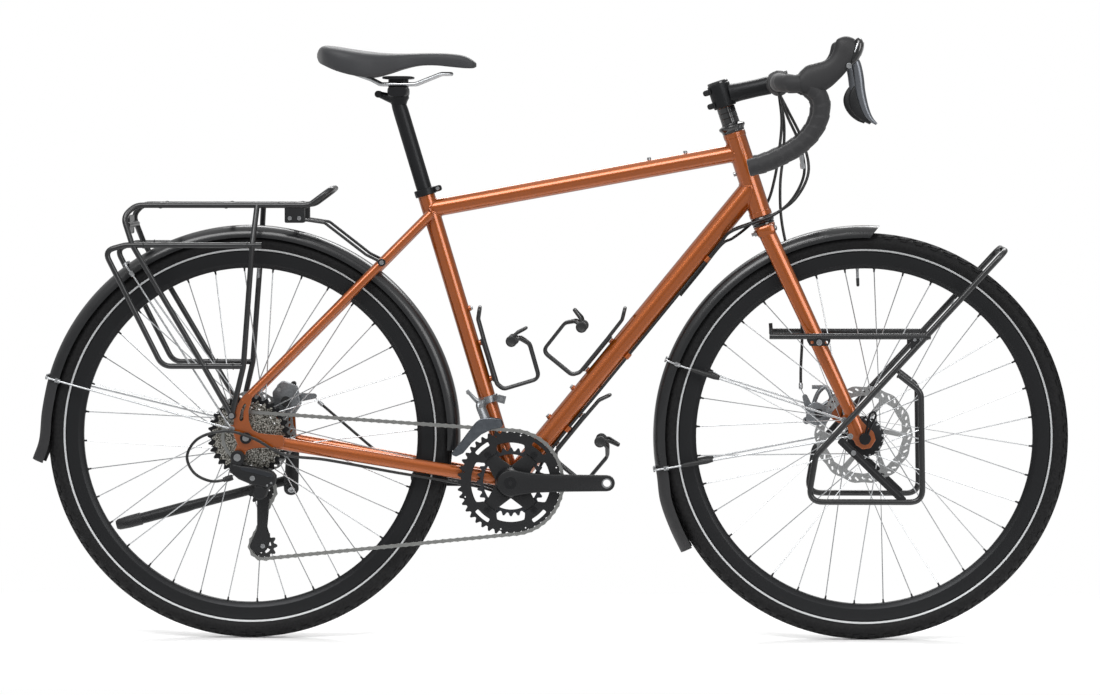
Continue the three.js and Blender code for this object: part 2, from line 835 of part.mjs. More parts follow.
// The bar's drop from the end of its straight top: shares of its reach and of its drop
const barShares = [
  [0.3, 0.002], [0.55, 0.02], [0.8, 0.085], [0.97, 0.2], [0.985, 0.34], [0.9, 0.49], [0.7, 0.64],
  [0.4, 0.77], [0, 0.88], [-0.36, 0.955], [-0.714, 1],
];
const barBendShare = 0.79;

function barStops() {
  const drop = barShares.map(([ahead, down]) =>
    at(barCentre.x + barReach * ahead, barHalfWidth, barCentre.z - barDrop * down),
  );
  const corner = at(barCentre.x, barHalfWidth, barCentre.z);
  const start = at(barCentre.x, barHalfWidth * barBendShare, barCentre.z);
  const bend = new THREE.QuadraticBezierCurve3(start, corner, drop[1]).getPoints(5);
  const half = [...bend, ...drop.slice(2)];
  return [...half.slice().reverse().map(mirrored), ...half];
}

function handlebar(radius) {
  return sweep(barStops(), ringOutline(radius, rodSides), upward);
}

// Hood and lever outlines: shares of their reach, from the bar's centre and the lever's pivot
const hoodReach = 141;
const brakeLeverLength = 96;
const hoodShares = [
  [0.22, 0.113], [0.468, 0.234], [0.624, 0.305], [0.66, 0.426], [0.695, 0.504], [0.83, 0.546],
  [0.965, 0.496], [1, 0.411], [0.943, 0.312], [0.837, 0.255], [0.801, 0.128], [0.752, 0.05],
  [0.582, -0.113],
];
const pocketShares = [
  [-0.045, -0.057], [0, 0.092], [0.213, 0.184], [0.426, -0.071], [0.284, -0.426], [-0.045, -0.426],
];
const leverShares = [
  [-0.031, -0.094], [0.076, -0.274], [0.103, -0.419], [0.01, -0.562], [0.01, -0.646],
  [0.094, -0.792], [0.371, -1.002], [0.51, -1.002], [0.372, -0.777], [0.284, -0.482],
  [0.25, -0.117], [0.229, 0.052], [0.146, 0.115], [0.021, 0.115],
];
const leverPivot = placed(barCentre, hoodReach, [0.818, 0.194]);

function hood(hand) {
  const origin = at(barCentre.x, 0, barCentre.z);
  const middle = hand * barHalfWidth;
  const block = plate(origin, scaled(hoodReach, hoodShares), middle - hoodHalfWidth, middle + hoodHalfWidth);
  const [low, high] = [middle - hoodHalfWidth - overrun, middle + hoodHalfWidth + overrun];
  const pocket = (leverKnuckleRadius + runningGap) / Math.cos(Math.PI / hubSegments);
  return cut(
    block,
    handlebar(barRadius + 2 * gap),
    rod(beside(leverPivot, low), beside(leverPivot, high), pocket, hubSegments),
    plate(leverPivot, scaled(hoodReach, pocketShares), low, high),
  );
}

function lever(hand) {
  const [low, high] = [-leverHalfWidth, leverHalfWidth].map((half) => hand * barHalfWidth + half);
  return join(
    rod(beside(leverPivot, low), beside(leverPivot, high), leverKnuckleRadius, hubSegments),
    plate(leverPivot, scaled(brakeLeverLength, leverShares), low, high),
  );
}

// Mudguards, each with its flap, and their wire stays

const guardSectionShares = [[1, 1], [0.78, 0.25], [0, 0]];
const frontGuardStart = 88.75;
const frontGuardEnd = 191;
const rearGuardStart = -4;
const rearGuardEnd = 166;
const guardSteps = 17;
const rearFlapShares = [[-0.953, 0.106], [-0.969, -0.026], [-1, -0.107]];
const frontFlapShares = [[-0.925, -0.296], [-0.88, -0.423], [-0.829, -0.529]];

function guardSection() {
  const half = guardSectionShares.map(([across, down]) => [mudguardHalfWidth * across, mudguardDepth * down]);
  const inner = half.map(([across, down]) => [
    Math.max(across - mudguardWall, 0),
    Math.min(down + mudguardWall, mudguardDepth),
  ]);
  const outerRing = [...half, ...half.slice(0, -1).reverse().map(([y, down]) => [-y, down])];
  const innerRing = [...inner.slice(0, -1).map(([y, down]) => [-y, down]), ...inner.slice().reverse()];
  return [...outerRing, ...innerRing];
}

function mudguard(axle, start, end, flapShares) {
  const arc = arcAround(axle, mudguardRadius, start, end, guardSteps);
  const flap = flapShares.map((share) => placed(axle, rearFlapReach, share));
  return sweep([...arc, ...flap], guardSection());
}

function guardStay(axle, eyelet, footY, degrees, flatRun) {
  const wire = stayWireRadius + gap;
  const sideY = mudguardHalfWidth + wire + gap;
  const over = mudguardRadius + wire + gap;
  const low = mudguardRadius - mudguardDepth * 1.2;
  const clip = polar(axle, low, degrees, sideY);
  const flatEnd = along(eyelet, clip.clone().sub(eyelet).setY(0).normalize(), flatRun);
  const half = [
    beside(eyelet, footY),
    beside(flatEnd, footY),
    clip,
    polar(axle, over, degrees, sideY),
    polar(axle, over, degrees, 0),
  ];
  const whole = [...half, ...half.slice(0, -1).reverse().map(mirrored)];
  return tube(whole, stayWireRadius, stayBend, wireSides, upward);
}

const stayBend = 8;
const eyeRadius = 5;
const eyeThickness = 4;

function eyes(place, inner, thickness) {
  return Object.values(sides).map((hand) =>
    rod(beside(place, hand * inner), beside(place, hand * (inner + thickness)), eyeRadius),
  );
}

const rearStayDegrees = [125.75, 164];
const rearStayFlatRun = 30;
const frontStayFlatRun = 62;
const frontStays = {
  front_stay_upper: { eyelet: placed(frontAxle, forkEndRadius, [-1.311, 1.185]), degrees: 158.8 },
  front_stay_lower: { eyelet: placed(frontAxle, forkEndRadius, [-0.926, 0.148]), degrees: 189 },
};

function rearStays() {
  const inner = dropoutOuter + gap;
  const footY = inner + eyeThickness / 2;
  const wires = rearStayDegrees.map((degrees) =>
    guardStay(rearAxle, guardEyelet, footY, degrees, rearStayFlatRun),
  );
  return join(wires, eyes(guardEyelet, inner, eyeThickness));
}

function frontStay({ eyelet, degrees }) {
  const inner = forkEndInner + forkEndThickness + gap;
  const wire = guardStay(frontAxle, eyelet, inner + eyeThickness, degrees, frontStayFlatRun);
  const whole = join(wire, eyes(eyelet, inner, eyeThickness * 1.5));
  const grown = Object.values(sides).map((hand) =>
    strut(
      bladeAt(hand, 0),
      bladeAt(hand, 1),
      forkBladeHalfDepth + gap,
      forkEndHalfDepth + gap,
      forkWidthShare + gap / forkEndHalfDepth,
    ),
  );
  return cut(whole, grown);
}

// Rear rack

const rackHalfWidth = 76;
const deckHalfWidth = 52;
const deckRise = 396.5;
const railRise = 328.9;
const lowRailRise = 122.5;
const deckAhead = 107;
const deckBehind = 178;
const hoopAhead = 144.7;
const hoopRise = 424.5;
const deckHeight = rearAxle.z + deckRise;
const railHeight = rearAxle.z + railRise;
const lowRailHeight = rearAxle.z + lowRailRise;
const deckFront = rearAxle.x + deckAhead;
const deckRear = rearAxle.x - deckBehind;
const rackFootY = dropoutOuter + 5 * gap + rackTubeRadius;
const rackBend = 26;
const rackFootRadius = 7;

// A place on the rack, its distance ahead of the axle given as a share of the deck behind it.
function rackAt(aheadShare, y, height) {
  return at(rearAxle.x + deckBehind * aheadShare, y, height);
}

function rearRack() {
  const hoopTop = rearAxle.z + hoopRise;
  const side = [
    beside(rackEyelet, rackFootY),
    rackAt(-0.404, rackHalfWidth, lowRailHeight),
    rackAt(-1.084, rackHalfWidth, railHeight),
    rackAt(-1.18, (rackHalfWidth + deckHalfWidth) / 2, deckHeight - 4 * rackTubeRadius),
    rackAt(-1.067, deckHalfWidth, deckHeight),
    at(deckFront, deckHalfWidth, deckHeight),
    at(rearAxle.x + hoopAhead, deckHalfWidth, hoopTop),
    at(rearAxle.x + hoopAhead, 0, hoopTop),
  ];
  const hoop = [...side, ...side.slice(0, -1).reverse().map(mirrored)];
  const footInner = dropoutOuter + gap;
  const sideParts = Object.values(sides).flatMap((hand) => [
    tube(frontLeg(hand), rackTubeRadius, rackBend, wireSides),
    tube(panierLoop(hand), rackTubeRadius, rackBend, wireSides),
    rod(
      beside(rackEyelet, hand * footInner),
      beside(rackEyelet, hand * (rackFootY + rackTubeRadius)),
      rackFootRadius,
    ),
    rackStay(hand),
  ]);
  return join(tube(hoop, rackTubeRadius, rackBend, wireSides, upward), sideParts, crossParts());
}

function frontLeg(hand) {
  return [
    beside(rackEyelet, hand * rackFootY),
    rackAt(-0.022, hand * rackHalfWidth, lowRailHeight),
    rackAt(0.067, hand * rackHalfWidth, railHeight),
    rackAt(0.102, hand * deckHalfWidth, deckHeight),
  ];
}

function panierLoop(hand) {
  const y = hand * rackHalfWidth;
  return [
    rackAt(-0.014, y, lowRailHeight),
    rackAt(-0.803, y, lowRailHeight),
    rackAt(-1.354, y, railHeight - 2 * rackTubeRadius),
    rackAt(-1.152, y, railHeight),
    rackAt(0.157, y, railHeight),
  ];
}

const rackBlockLength = 34;
const rackBlockDepth = 30;
const rackBlockWidth = 16;
const rackBlockSetback = 8;
const stayRodRadius = 2.6;
const stayRodInset = 6;
const stayRodBend = 10;
const rackStayDrop = 27;
const rackStayShare = 0.26;

function rackStay(hand) {
  const front = deckFront - rackBlockSetback;
  const low = deckHeight - rackBlockDepth;
  const [top, foot] = seatstayLine(hand);
  const target = between(top, foot, rackStayShare);
  const clear = seatstayRadius + stayRodRadius + 2 * gap;
  const outer = beside(target, target.y + hand * clear);
  const y = hand * (deckHalfWidth - stayRodInset);
  const ys = [deckHalfWidth - rackBlockWidth, deckHalfWidth + rackTubeRadius]
    .map((place) => hand * place)
    .sort((a, b) => a - b);
  const wire = [
    at(front - rackBlockLength / 2, y, low + rackBlockDepth / 4),
    at(front + rackBlockLength, y, low),
    at(outer.x - rackStayDrop, outer.y, outer.z + rackStayDrop / 2),
    outer,
  ];
  return join(
    box([front - rackBlockLength, front], ys, [low, deckHeight]),
    tube(wire, stayRodRadius, stayRodBend, wireSides),
  );
}

const deckBarShares = [0.105, 0.5, 0.93];
const lightPlateHalfWidth = 30;
const lightPlateHalfHeight = 16;
const lightPlateWall = 6;
const lightBarReach = 12;

function crossParts() {
  const bars = deckBarShares.map((share) => {
    const place = at(THREE.MathUtils.lerp(deckRear, deckFront, share), deckHalfWidth, deckHeight);
    return rod(mirrored(place), place, rackTubeRadius, wireSides);
  });
  const rear = rackAt(-1.14, deckHalfWidth + lightBarReach, (railHeight + deckHeight) / 2);
  return [
    ...bars,
    rod(mirrored(rear), rear, rackTubeRadius, wireSides),
    box(
      [rear.x - lightPlateWall, rear.x],
      [-lightPlateHalfWidth, lightPlateHalfWidth],
      [rear.z - lightPlateHalfHeight, rear.z + lightPlateHalfHeight],
    ),
  ];
}

// Front rack

const frontRackHalfWidth = 96;
const hoopClearance = 35.9;
const hoopDegrees = 53.73;
const frontBarShare = 0.4255;
const frontBarRise = frontBarShare * forkLength;
const frontRackDrop = 105.2;
const frontRackBend = 22;
const braceHalfDepth = 6.5;
const braceHalfWidth = 2.5;
const braceEyelet = placed(frontAxle, forkEndRadius, [-0.748, -0.796]);
const spacerRadius = 6;
const rackMountShare = 0.56;
// The side loop below the axle, then up its front leg: shares of the loop's depth under the axle
const frontLoopShares = [[-0.797, -0.255], [-0.922, -1], [0.922, -1], [0.892, 0.779], [0.523, 1.065]];
const frontBarShares = [-1.549, 1.046];
const mountPadShares = [[-1.5, -1.5], [1.5, -1.5], [1.5, 3.7], [-1.5, 3.7]];
const braceEndShares = [[-0.418, 0.01], [0.627, -0.989]];

function frontRack() {
  const y = frontRackHalfWidth;
  const top = polar(frontAxle, mudguardRadius + hoopClearance, hoopDegrees, y);
  const run = [
    beside(top, 0),
    top,
    ...frontLoopShares.map((share) => placed(frontAxle, frontRackDrop, share, y)),
  ];
  const whole = [...run.slice(1).reverse().map(mirrored), ...run];
  return join(
    tube(whole, frontRackTubeRadius, frontRackBend, railSides, leftward),
    Object.values(sides).flatMap(frontRackSide),
  );
}

function frontRackSide(hand) {
  const y = hand * frontRackHalfWidth;
  const mount = bladeAt(hand, rackMountShare);
  const mountHalf = forkBladeHalfDepth * forkWidthShare + gap;
  const ends = [y - hand * braceHalfWidth, y + hand * braceHalfWidth].sort((a, b) => a - b);
  const height = frontAxle.z + frontBarRise;
  const [rear, front] = frontBarShares.map((share) => at(frontAxle.x + frontRackDrop * share, y, height));
  const eyeletY = hand * (forkEndInner + forkEndThickness + gap);
  return [
    rod(rear, front, frontRackTubeRadius, railSides),
    rod(beside(mount, mount.y + hand * mountHalf), beside(mount, y), spacerRadius),
    plate(mount, scaled(spacerRadius, mountPadShares), ...ends),
    plate(frontAxle, braceOutline(), ...ends),
    rod(beside(braceEyelet, eyeletY), beside(braceEyelet, y), spacerRadius),
  ];
}

function braceOutline() {
  const [start, end] = braceEndShares.map((share) => placed(at(0, 0, 0), frontRackDrop, share));
  const run = end.clone().sub(start).normalize();
  const across = at(-run.z, 0, run.x).multiplyScalar(braceHalfDepth);
  return [
    [start.x + across.x, start.z + across.z],
    [start.x - across.x, start.z - across.z],
    [end.x - across.x, end.z - across.z],
    [end.x + across.x, end.z + across.z],
  ];
}

// Bottle cages: a bent wire, in under the bottle and up its front, with a pad at each end and a bail

const bottleRadius = 37;
const cagePlateHalfWidth = 13;
const cagePlateThickness = 3;
const cagePlateOverhang = 6;
const cageWireY = 12;
const cageBackDepth = 5;
const cageFrontDepth = 77.5;
const cageFloorRise = -24;
const cageBend = 12;
const cagePadRadius = 9.8;
const cagePadHalfWidth = 4.5;
const cageBailRadius = 2.9;

function bottleCage({ origin, up, out, height, tubeRadius }) {
  const seat = tubeRadius + cageBossHeight + gap;
  const place = (rise, depth, across) =>
    at(0, across, 0).add(along(along(origin, up, height + rise), out, seat + depth));
  const halfWall = cagePlateThickness / 2;
  const plate = strut(
    place(-cagePlateOverhang, halfWall, 0),
    place(cageBossSpacing + cagePlateOverhang, halfWall, 0),
    halfWall,
    halfWall,
    cagePlateHalfWidth / halfWall,
    4,
  );
  const half = [
    place(123, 15, 0),
    place(121, 14, cageWireY),
    place(104, cageBackDepth + 1, cageWireY),
    place(62, cageBackDepth, cageWireY),
    place(-12, cageBackDepth, cageWireY),
    place(cageFloorRise, cageBackDepth + 8, cageWireY),
    place(cageFloorRise, cageFrontDepth, cageWireY),
    place(38, cageFrontDepth + 1, cageWireY + 2),
    place(53, 66, cageWireY + 20),
    place(52, 53, bottleRadius),
  ];
  const wire = [...half.slice(1).reverse().map(mirrored), ...half];
  const pads = [-1, 1].map((side) =>
    rod(
      place(52, 52, side * (bottleRadius - cagePadHalfWidth)),
      place(52, 52, side * (bottleRadius + cagePadHalfWidth)),
      cagePadRadius,
    ),
  );
  const bail = [
    place(57, 55, bottleRadius),
    place(62, 62, bottleRadius - 1),
    place(65.5, 80, cageWireY + 4),
    place(65.5, 80, 0),
  ];
  const wholeBail = [...bail.slice(0, -1), ...bail.map(mirrored).reverse()];
  return join(
    plate,
    tube(wire, cageRodRadius, cageBend, wireSides),
    pads,
    tube(wholeBail, cageBailRadius, cageBend / 2, wireSides),
  );
}

// Stand: a bracket under the left chainstay and a leg folded back

const standPivotAhead = 63.2;
const standPivotDrop = 94.4;
const standPivotY = 64;
const standPivot = at(rearAxle.x + standPivotAhead, standPivotY, rearAxle.z - standPivotDrop);
const standAxis = at(0.118, -0.888, -0.444).normalize();
const standLegLength = 315;
const standLegRadius = 8.5;
const standFootRadius = 11;
const standKnuckle = 13;
const standHeading = at(-0.966, 0, -0.257);

function standBracket() {
  const [foot, end] = chainstayLine(1);
  const face = along(standPivot, standAxis, -standKnuckle);
  const top = between(foot, end, 0.85);
  const body = join(
    rod(along(face, standAxis, gap), along(face, standAxis, standKnuckle * 1.6), standKnuckle, tubeSides),
    strut(along(face, standAxis, standKnuckle), top, standKnuckle, standKnuckle * 0.9, 0.55, rodSides),
  );
  const grown = strut(
    foot,
    end,
    chainstayHalfHeight + gap,
    chainstayHalfHeight + gap,
    (chainstayHalfHeight * chainstayWidthShare + gap) / (chainstayHalfHeight + gap),
  );
  const above = box(
    [top.x - 4 * standKnuckle, top.x + 4 * standKnuckle],
    [0, 3 * stayEndY],
    [top.z - chainstayHalfHeight / 2, top.z + 4 * standKnuckle],
  );
  return cut(body, grown, above);
}

function standLeg() {
  const face = along(standPivot, standAxis, -standKnuckle);
  const centre = along(face, standAxis, -standKnuckle);
  const run = along(standHeading, standAxis, -standHeading.dot(standAxis)).normalize();
  const knee = along(centre, run, standLegLength * 0.86);
  return join(
    rod(along(face, standAxis, -gap), along(face, standAxis, -2 * standKnuckle), standKnuckle, hubSegments),
    rod(centre, knee, standLegRadius, tubeSides),
    rod(knee, along(centre, run, standLegLength), standFootRadius, tubeSides, standLegRadius),
  );
}

// Disc brakes: a calliper over each rotor and the arm that its cable pulls

const calliperInner = 33;
const calliperOuter = 50;
const armThickness = 4;
const armHubRadius = 8;
const armLength = 30;
// Calliper outlines and arm pivots: shares of the rotor's radius, from the axle
const frontCalliperShares = [
  [-1.224, 0.165], [-1.2, 0.824], [-0.965, 0.988], [-0.659, 0.894], [-0.612, 0.471],
  [-0.776, 0.235],
];
const rearCalliperShares = [
  [0.424, 0.471], [0.4, 0.847], [0.588, 1.082], [0.894, 0.988], [0.988, 0.588], [0.824, 0.353],
  [0.588, 0.4],
];

function calliper(axle, shares) {
  return cut(
    plate(axle, scaled(rotorRadius, shares), calliperInner, calliperOuter),
    turned(
      axle,
      [
        [0, rotorOffset - runningGap - gap],
        [rotorRadius + runningGap, rotorOffset - runningGap - gap],
        [rotorRadius + runningGap, rotorOffset + rotorThickness + runningGap + gap],
        [0, rotorOffset + rotorThickness + runningGap + gap],
      ],
      wheelSegments,
    ),
  );
}

function brakeArm(pivot, degrees) {
  const [low, high] = [calliperOuter + gap, calliperOuter + gap + armThickness];
  const tip = polar(pivot, armLength, degrees);
  const middle = (low + high) / 2;
  const flatShare = armThickness / 2 / (armHubRadius * 0.8);
  return join(
    rod(beside(pivot, low), beside(pivot, high), armHubRadius, tubeSides),
    strut(beside(pivot, middle), beside(tip, middle), armHubRadius * 0.8, armHubRadius * 0.5, flatShare, 4),
  );
}

const frontArmPivot = placed(frontAxle, rotorRadius, [-1.082, 0.471]);
const frontArmDegrees = 110;
const rearArmPivot = placed(rearAxle, rotorRadius, [0.929, 0.729]);
const rearArmDegrees = 5;

// Wheels

const rimWall = 1.5;
const rimBedDepth = 7;
const hubFlangeThickness = 3;
const hubStep = 2;
const frontFlangePlace = 33;
const frontFlangeRadius = 33;
const frontShellRadius = 24;
const rearRightFlange = 22;
const rearLeftFlange = 33;
const rearFlangeRadius = 30;
const rearShellRadius = 15;
const hubEndRadius = 9;
const freehubRadius = 13;
const rotorSeatRadius = 20;
const spokeHalf = 1;
const spokesPerSide = 18;
const spokeCrossDegrees = 60;
const cassetteSegments = 28;
const pulleySegments = 20;
const rimSpokeOffset = 3;
const valveLength = 31;
const valveRadius = 3;
const rotorWaves = 14;
const rotorWaveDepth = 2.5;
const rotorBandShare = 0.8;
const rotorArms = 6;
const rotorSwirl = 0.35;
const valveDegrees = { front: 92.5, rear: 87 };
const spokeHoleInset = 3;

function tyre(axle) {
  const half = tyreWidth / 2;
  const bead = rimWidth / 2 - rimWall - gap;
  const seat = bearingRimRadius - rimBedDepth;
  const profile = [
    [seat, -bead],
    [bearingRimRadius + gap, -bead],
    [(bearingRimRadius + wheelRadius) / 2, -half],
    [wheelRadius - half * 0.25, -half * 0.66],
    [wheelRadius, 0],
  ];
  const other = profile.slice(0, -1).reverse().map(([radius, y]) => [radius, -y]);
  return turned(axle, [...profile, ...other], wheelSegments);
}

function rim(axle, degrees) {
  const half = rimWidth / 2;
  const inner = bearingRimRadius - rimDepth;
  const bed = bearingRimRadius - rimBedDepth - gap;
  const hoop = turned(
    axle,
    [
      [inner, -half * 0.4],
      [inner + rimDepth * 0.3, -half],
      [bearingRimRadius, -half],
      [bearingRimRadius, rimWall - half],
      [bed, rimWall - half],
      [bed, half - rimWall],
      [bearingRimRadius, half - rimWall],
      [bearingRimRadius, half],
      [inner + rimDepth * 0.3, half],
      [inner, half * 0.4],
    ],
    wheelSegments,
  );
  const foot = polar(axle, inner - valveLength, degrees);
  return join(hoop, rod(foot, polar(axle, inner + overrun, degrees), valveRadius, wireSides));
}

// One side's spokes lie on one cone and cross three times, so they meet where they cross.
// They are joined flat and then the net is drawn out to the hub's flange.
function spokes(axle, hubRadius, hubY, hand) {
  const rimRadius = (bearingRimRadius - rimDepth) * Math.cos(Math.PI / wheelSegments) - gap - spokeHalf / 3;
  const step = 360 / spokesPerSide;
  const start = hand > 0 ? 0 : step / 2;
  const centre = at(0, 0, 0);
  const bars = Array.from({ length: spokesPerSide }, (unused, i) => {
    const lean = i % 2 === 0 ? spokeCrossDegrees : -spokeCrossDegrees;
    const degrees = start + i * step;
    return bar(polar(centre, hubRadius, degrees - lean), polar(centre, rimRadius, degrees));
  });
  const net = toGeometry(join(bars));
  const places = net.attributes.position;
  for (let i = 0; i < places.count; i += 1) {
    const [x, y, z] = [places.getX(i), places.getY(i), places.getZ(i)];
    const share = (Math.hypot(x, z) - hubRadius) / (rimRadius - hubRadius);
    const drawn = hand * THREE.MathUtils.lerp(hubY, rimSpokeOffset, share);
    places.setXYZ(i, axle.x + x, drawn + y, axle.z + z);
  }
  return toSolid(net);
}

// A flat square bar lying in the plane of the wheel.
function bar(start, end) {
  const run = end.clone().sub(start).normalize();
  const across = at(-run.z, 0, run.x).multiplyScalar(spokeHalf);
  const corners = [[start, 1], [start, -1], [end, -1], [end, 1]].map(([point, side]) => [
    point.x + side * across.x,
    point.z + side * across.z,
  ]);
  return plate(at(0, 0, 0), corners, -spokeHalf, spokeHalf);
}

function frontHub() {
  const end = frontHubWidth / 2;
  const flange = frontFlangePlace;
  const inner = flange - hubFlangeThickness;
  const bore = frontAxleRadius + runningGap;
  return turned(frontAxle, [
    [bore, -end],
    [hubEndRadius + hubStep, -end],
    [hubEndRadius + hubStep, -flange - 2 * hubStep],
    [frontFlangeRadius, -flange],
    [frontFlangeRadius, -inner],
    [frontShellRadius, -inner],
    [frontShellRadius, inner],
    [frontFlangeRadius, inner],
    [frontFlangeRadius, flange],
    [rotorSeatRadius, flange + hubStep],
    [rotorSeatRadius, rotorOffset - gap],
    [hubEndRadius, rotorOffset - gap],
    [hubEndRadius, end],
    [bore, end],
  ]);
}

function rearHub() {
  const end = rearHubWidth / 2;
  const bore = rearAxleRadius + runningGap;
  const [right, left] = [rearRightFlange, rearLeftFlange];
  return turned(rearAxle, [
    [bore, -end],
    [hubEndRadius, -end],
    [hubEndRadius, -end + hubFlangeThickness],
    [freehubRadius, -end + hubFlangeThickness],
    [freehubRadius, -right - hubStep],
    [rearFlangeRadius, -right],
    [rearFlangeRadius, -right + hubFlangeThickness],
    [rearShellRadius, -right + hubFlangeThickness],
    [rearShellRadius, left - hubFlangeThickness],
    [rearFlangeRadius, left - hubFlangeThickness],
    [rearFlangeRadius, left],
    [rotorSeatRadius, left + hubStep],
    [rotorSeatRadius, rotorOffset - gap],
    [hubEndRadius, rotorOffset - gap],
    [hubEndRadius, end],
    [bore, end],
  ]);
}

function rotor(axle) {
  const count = rotorWaves * 4;
  const outer = Array.from({ length: count }, (unused, i) => {
    const angle = (i / count) * 2 * Math.PI;
    const radius = rotorRadius - rotorWaveDepth * (0.5 - 0.5 * Math.cos(rotorWaves * angle));
    return [radius * Math.cos(angle), radius * Math.sin(angle)];
  });
  const bandInner = rotorRadius * rotorBandShare;
  const hubOuter = rotorSeatRadius * 1.2;
  const windows = Array.from({ length: rotorArms }, (unused, i) => {
    const start = (i / rotorArms) * 2 * Math.PI;
    const width = (2 * Math.PI) / rotorArms;
    const ends = [0.12, 0.5, 0.88].map((share) => start + width * share);
    return [
      ...ends.map((angle) => [bandInner * Math.cos(angle), bandInner * Math.sin(angle)]),
      ...ends.slice().reverse().map((angle) => [
        hubOuter * Math.cos(angle + rotorSwirl),
        hubOuter * Math.sin(angle + rotorSwirl),
      ]),
    ];
  });
  const bore = ringOutline((hubEndRadius + gap) / Math.cos(Math.PI / hubSegments), hubSegments);
  return plate(axle, outer, rotorOffset, rotorOffset + rotorThickness, [bore, ...windows]);
}

const axleHeadRadius = 10;
const axleHeadDepth = 8;
const axleLeverLength = 50;
const axleLeverHalf = 6;
const axleLeverPlace = 10;
const axleLeverDegrees = 72;

function rearAxleShaft() {
  const inner = dropoutOuter + gap;
  return turned(rearAxle, [
    [0, -inner - axleHeadDepth],
    [axleHeadRadius, -inner - axleHeadDepth],
    [axleHeadRadius, -inner],
    [rearAxleRadius, -inner],
    [rearAxleRadius, inner],
    [axleHeadRadius, inner],
    [axleHeadRadius, inner + axleHeadDepth],
    [0, inner + axleHeadDepth],
  ]);
}

function frontAxleShaft() {
  const inner = forkEndInner + forkEndThickness + gap;
  const leverY = -inner - axleLeverPlace;
  const tip = polar(frontAxle, axleLeverLength, axleLeverDegrees, leverY);
  const headOuter = leverY - axleLeverHalf / 3;
  return join(
    turned(frontAxle, [
      [0, headOuter],
      [axleHeadRadius, headOuter],
      [axleHeadRadius, -inner],
      [frontAxleRadius, -inner],
      [frontAxleRadius, inner],
      [axleHeadRadius, inner],
      [axleHeadRadius, inner + axleHeadDepth / 2],
      [0, inner + axleHeadDepth / 2],
    ]),
    strut(beside(frontAxle, leverY), tip, axleLeverHalf, axleLeverHalf * 0.75, 0.6, 6),
  );
}

// Drivetrain

const cassetteInner = 27;
const cassetteOuter = 62;
const cassetteBigRadius = 76;
const cassetteSmallRadius = 22;
const sprocketThickness = 1.8;
const grooveHalf = 3.4;
const pulleyThickness = 2.6;
const pulleyDrop = 187;
const guidePulley = placed(rearAxle, pulleyDrop, [0.129, -0.498], -chainLine);
const tensionPulley = placed(rearAxle, pulleyDrop, [0.138, -1], -chainLine);
const pulleyPinRadius = 4;
const cageOuterY = 52.5;
const cageInnerY = 37.5;
const cagePlateWall = 1.6;

function cassette() {
  const bore = (freehubRadius + gap) / Math.cos(Math.PI / hubSegments);
  const root = sprocketPitchRadius - chainHalfHeight - runningGap;
  const above = root + 2 * chainHalfHeight + runningGap;
  return turned(
    at(rearAxle.x, 0, rearAxle.z),
    [
      [bore, -cassetteInner],
      [cassetteBigRadius, -cassetteInner],
      [cassetteBigRadius, -cassetteInner - sprocketThickness],
      [above, -chainLine + grooveHalf],
      [root, -chainLine + grooveHalf],
      [root, -chainLine - grooveHalf],
      [cassetteSmallRadius, -cassetteOuter],
      [bore, -cassetteOuter],
    ],
    cassetteSegments,
  );
}

function pulley(centre) {
  const half = pulleyThickness / 2;
  const bore = pulleyPinRadius + runningGap;
  const outer = pulleyPitchRadius - chainHalfHeight - runningGap;
  const profile = [[bore, -half], [outer, -half], [outer, half], [bore, half]];
  return turned(centre, profile, pulleySegments);
}

// The chain runs over the sprocket, under it, round both pulleys and round the chainring.
function chainLoop() {
  const circles = [
    { centre: rearAxle, radius: sprocketPitchRadius, turn: 1 },
    { centre: guidePulley, radius: pulleyPitchRadius, turn: -1 },
    { centre: tensionPulley, radius: pulleyPitchRadius, turn: 1 },
    { centre: bracket, radius: chainringPitchRadius, turn: 1 },
  ];
  const joints = circles.map((circle, i) => tangentJoint(circle, circles[(i + 1) % circles.length]));
  const points = [];
  circles.forEach((circle, i) => {
    const arrive = joints.at(i - 1).to;
    const leave = joints[i].from;
    let sweepAngle = (leave - arrive) * circle.turn;
    while (sweepAngle < 0) sweepAngle += 2 * Math.PI;
    const steps = Math.max(2, Math.ceil(sweepAngle / chainArcStep));
    for (let k = 0; k <= steps; k += 1) {
      const angle = arrive + (circle.turn * sweepAngle * k) / steps;
      points.push([
        circle.centre.x + circle.radius * Math.cos(angle),
        circle.centre.z + circle.radius * Math.sin(angle),
      ]);
    }
  });
  return points;
}

const chainArcStep = THREE.MathUtils.degToRad(10);

// Where the common tangent touches two circles, both wrapped in their own turning sense.
function tangentJoint(from, to) {
  const dx = to.centre.x - from.centre.x;
  const dz = to.centre.z - from.centre.z;
  const span = Math.hypot(dx, dz);
  const heading = Math.atan2(dz, dx);
  const lean = Math.asin((from.turn * from.radius - to.turn * to.radius) / span);
  const travel = heading + lean;
  return { from: travel - from.turn * (Math.PI / 2), to: travel - to.turn * (Math.PI / 2) };
}

function offsetLoop(points, distance) {
  return points.map((point, i) => {
    const before = points.at(i - 1);
    const after = points[(i + 1) % points.length];
    const dx = after[0] - before[0];
    const dz = after[1] - before[1];
    const length = Math.hypot(dx, dz);
    return [point[0] + (dz / length) * distance, point[1] - (dx / length) * distance];
  });
}

function chain() {
  const loop = chainLoop();
  const half = chainWidth / 2;
  const outer = offsetLoop(loop, chainHalfHeight);
  const inner = offsetLoop(loop, -chainHalfHeight);
  return plate(at(0, 0, 0), outer, -chainLine - half, -chainLine + half, [inner]);
}

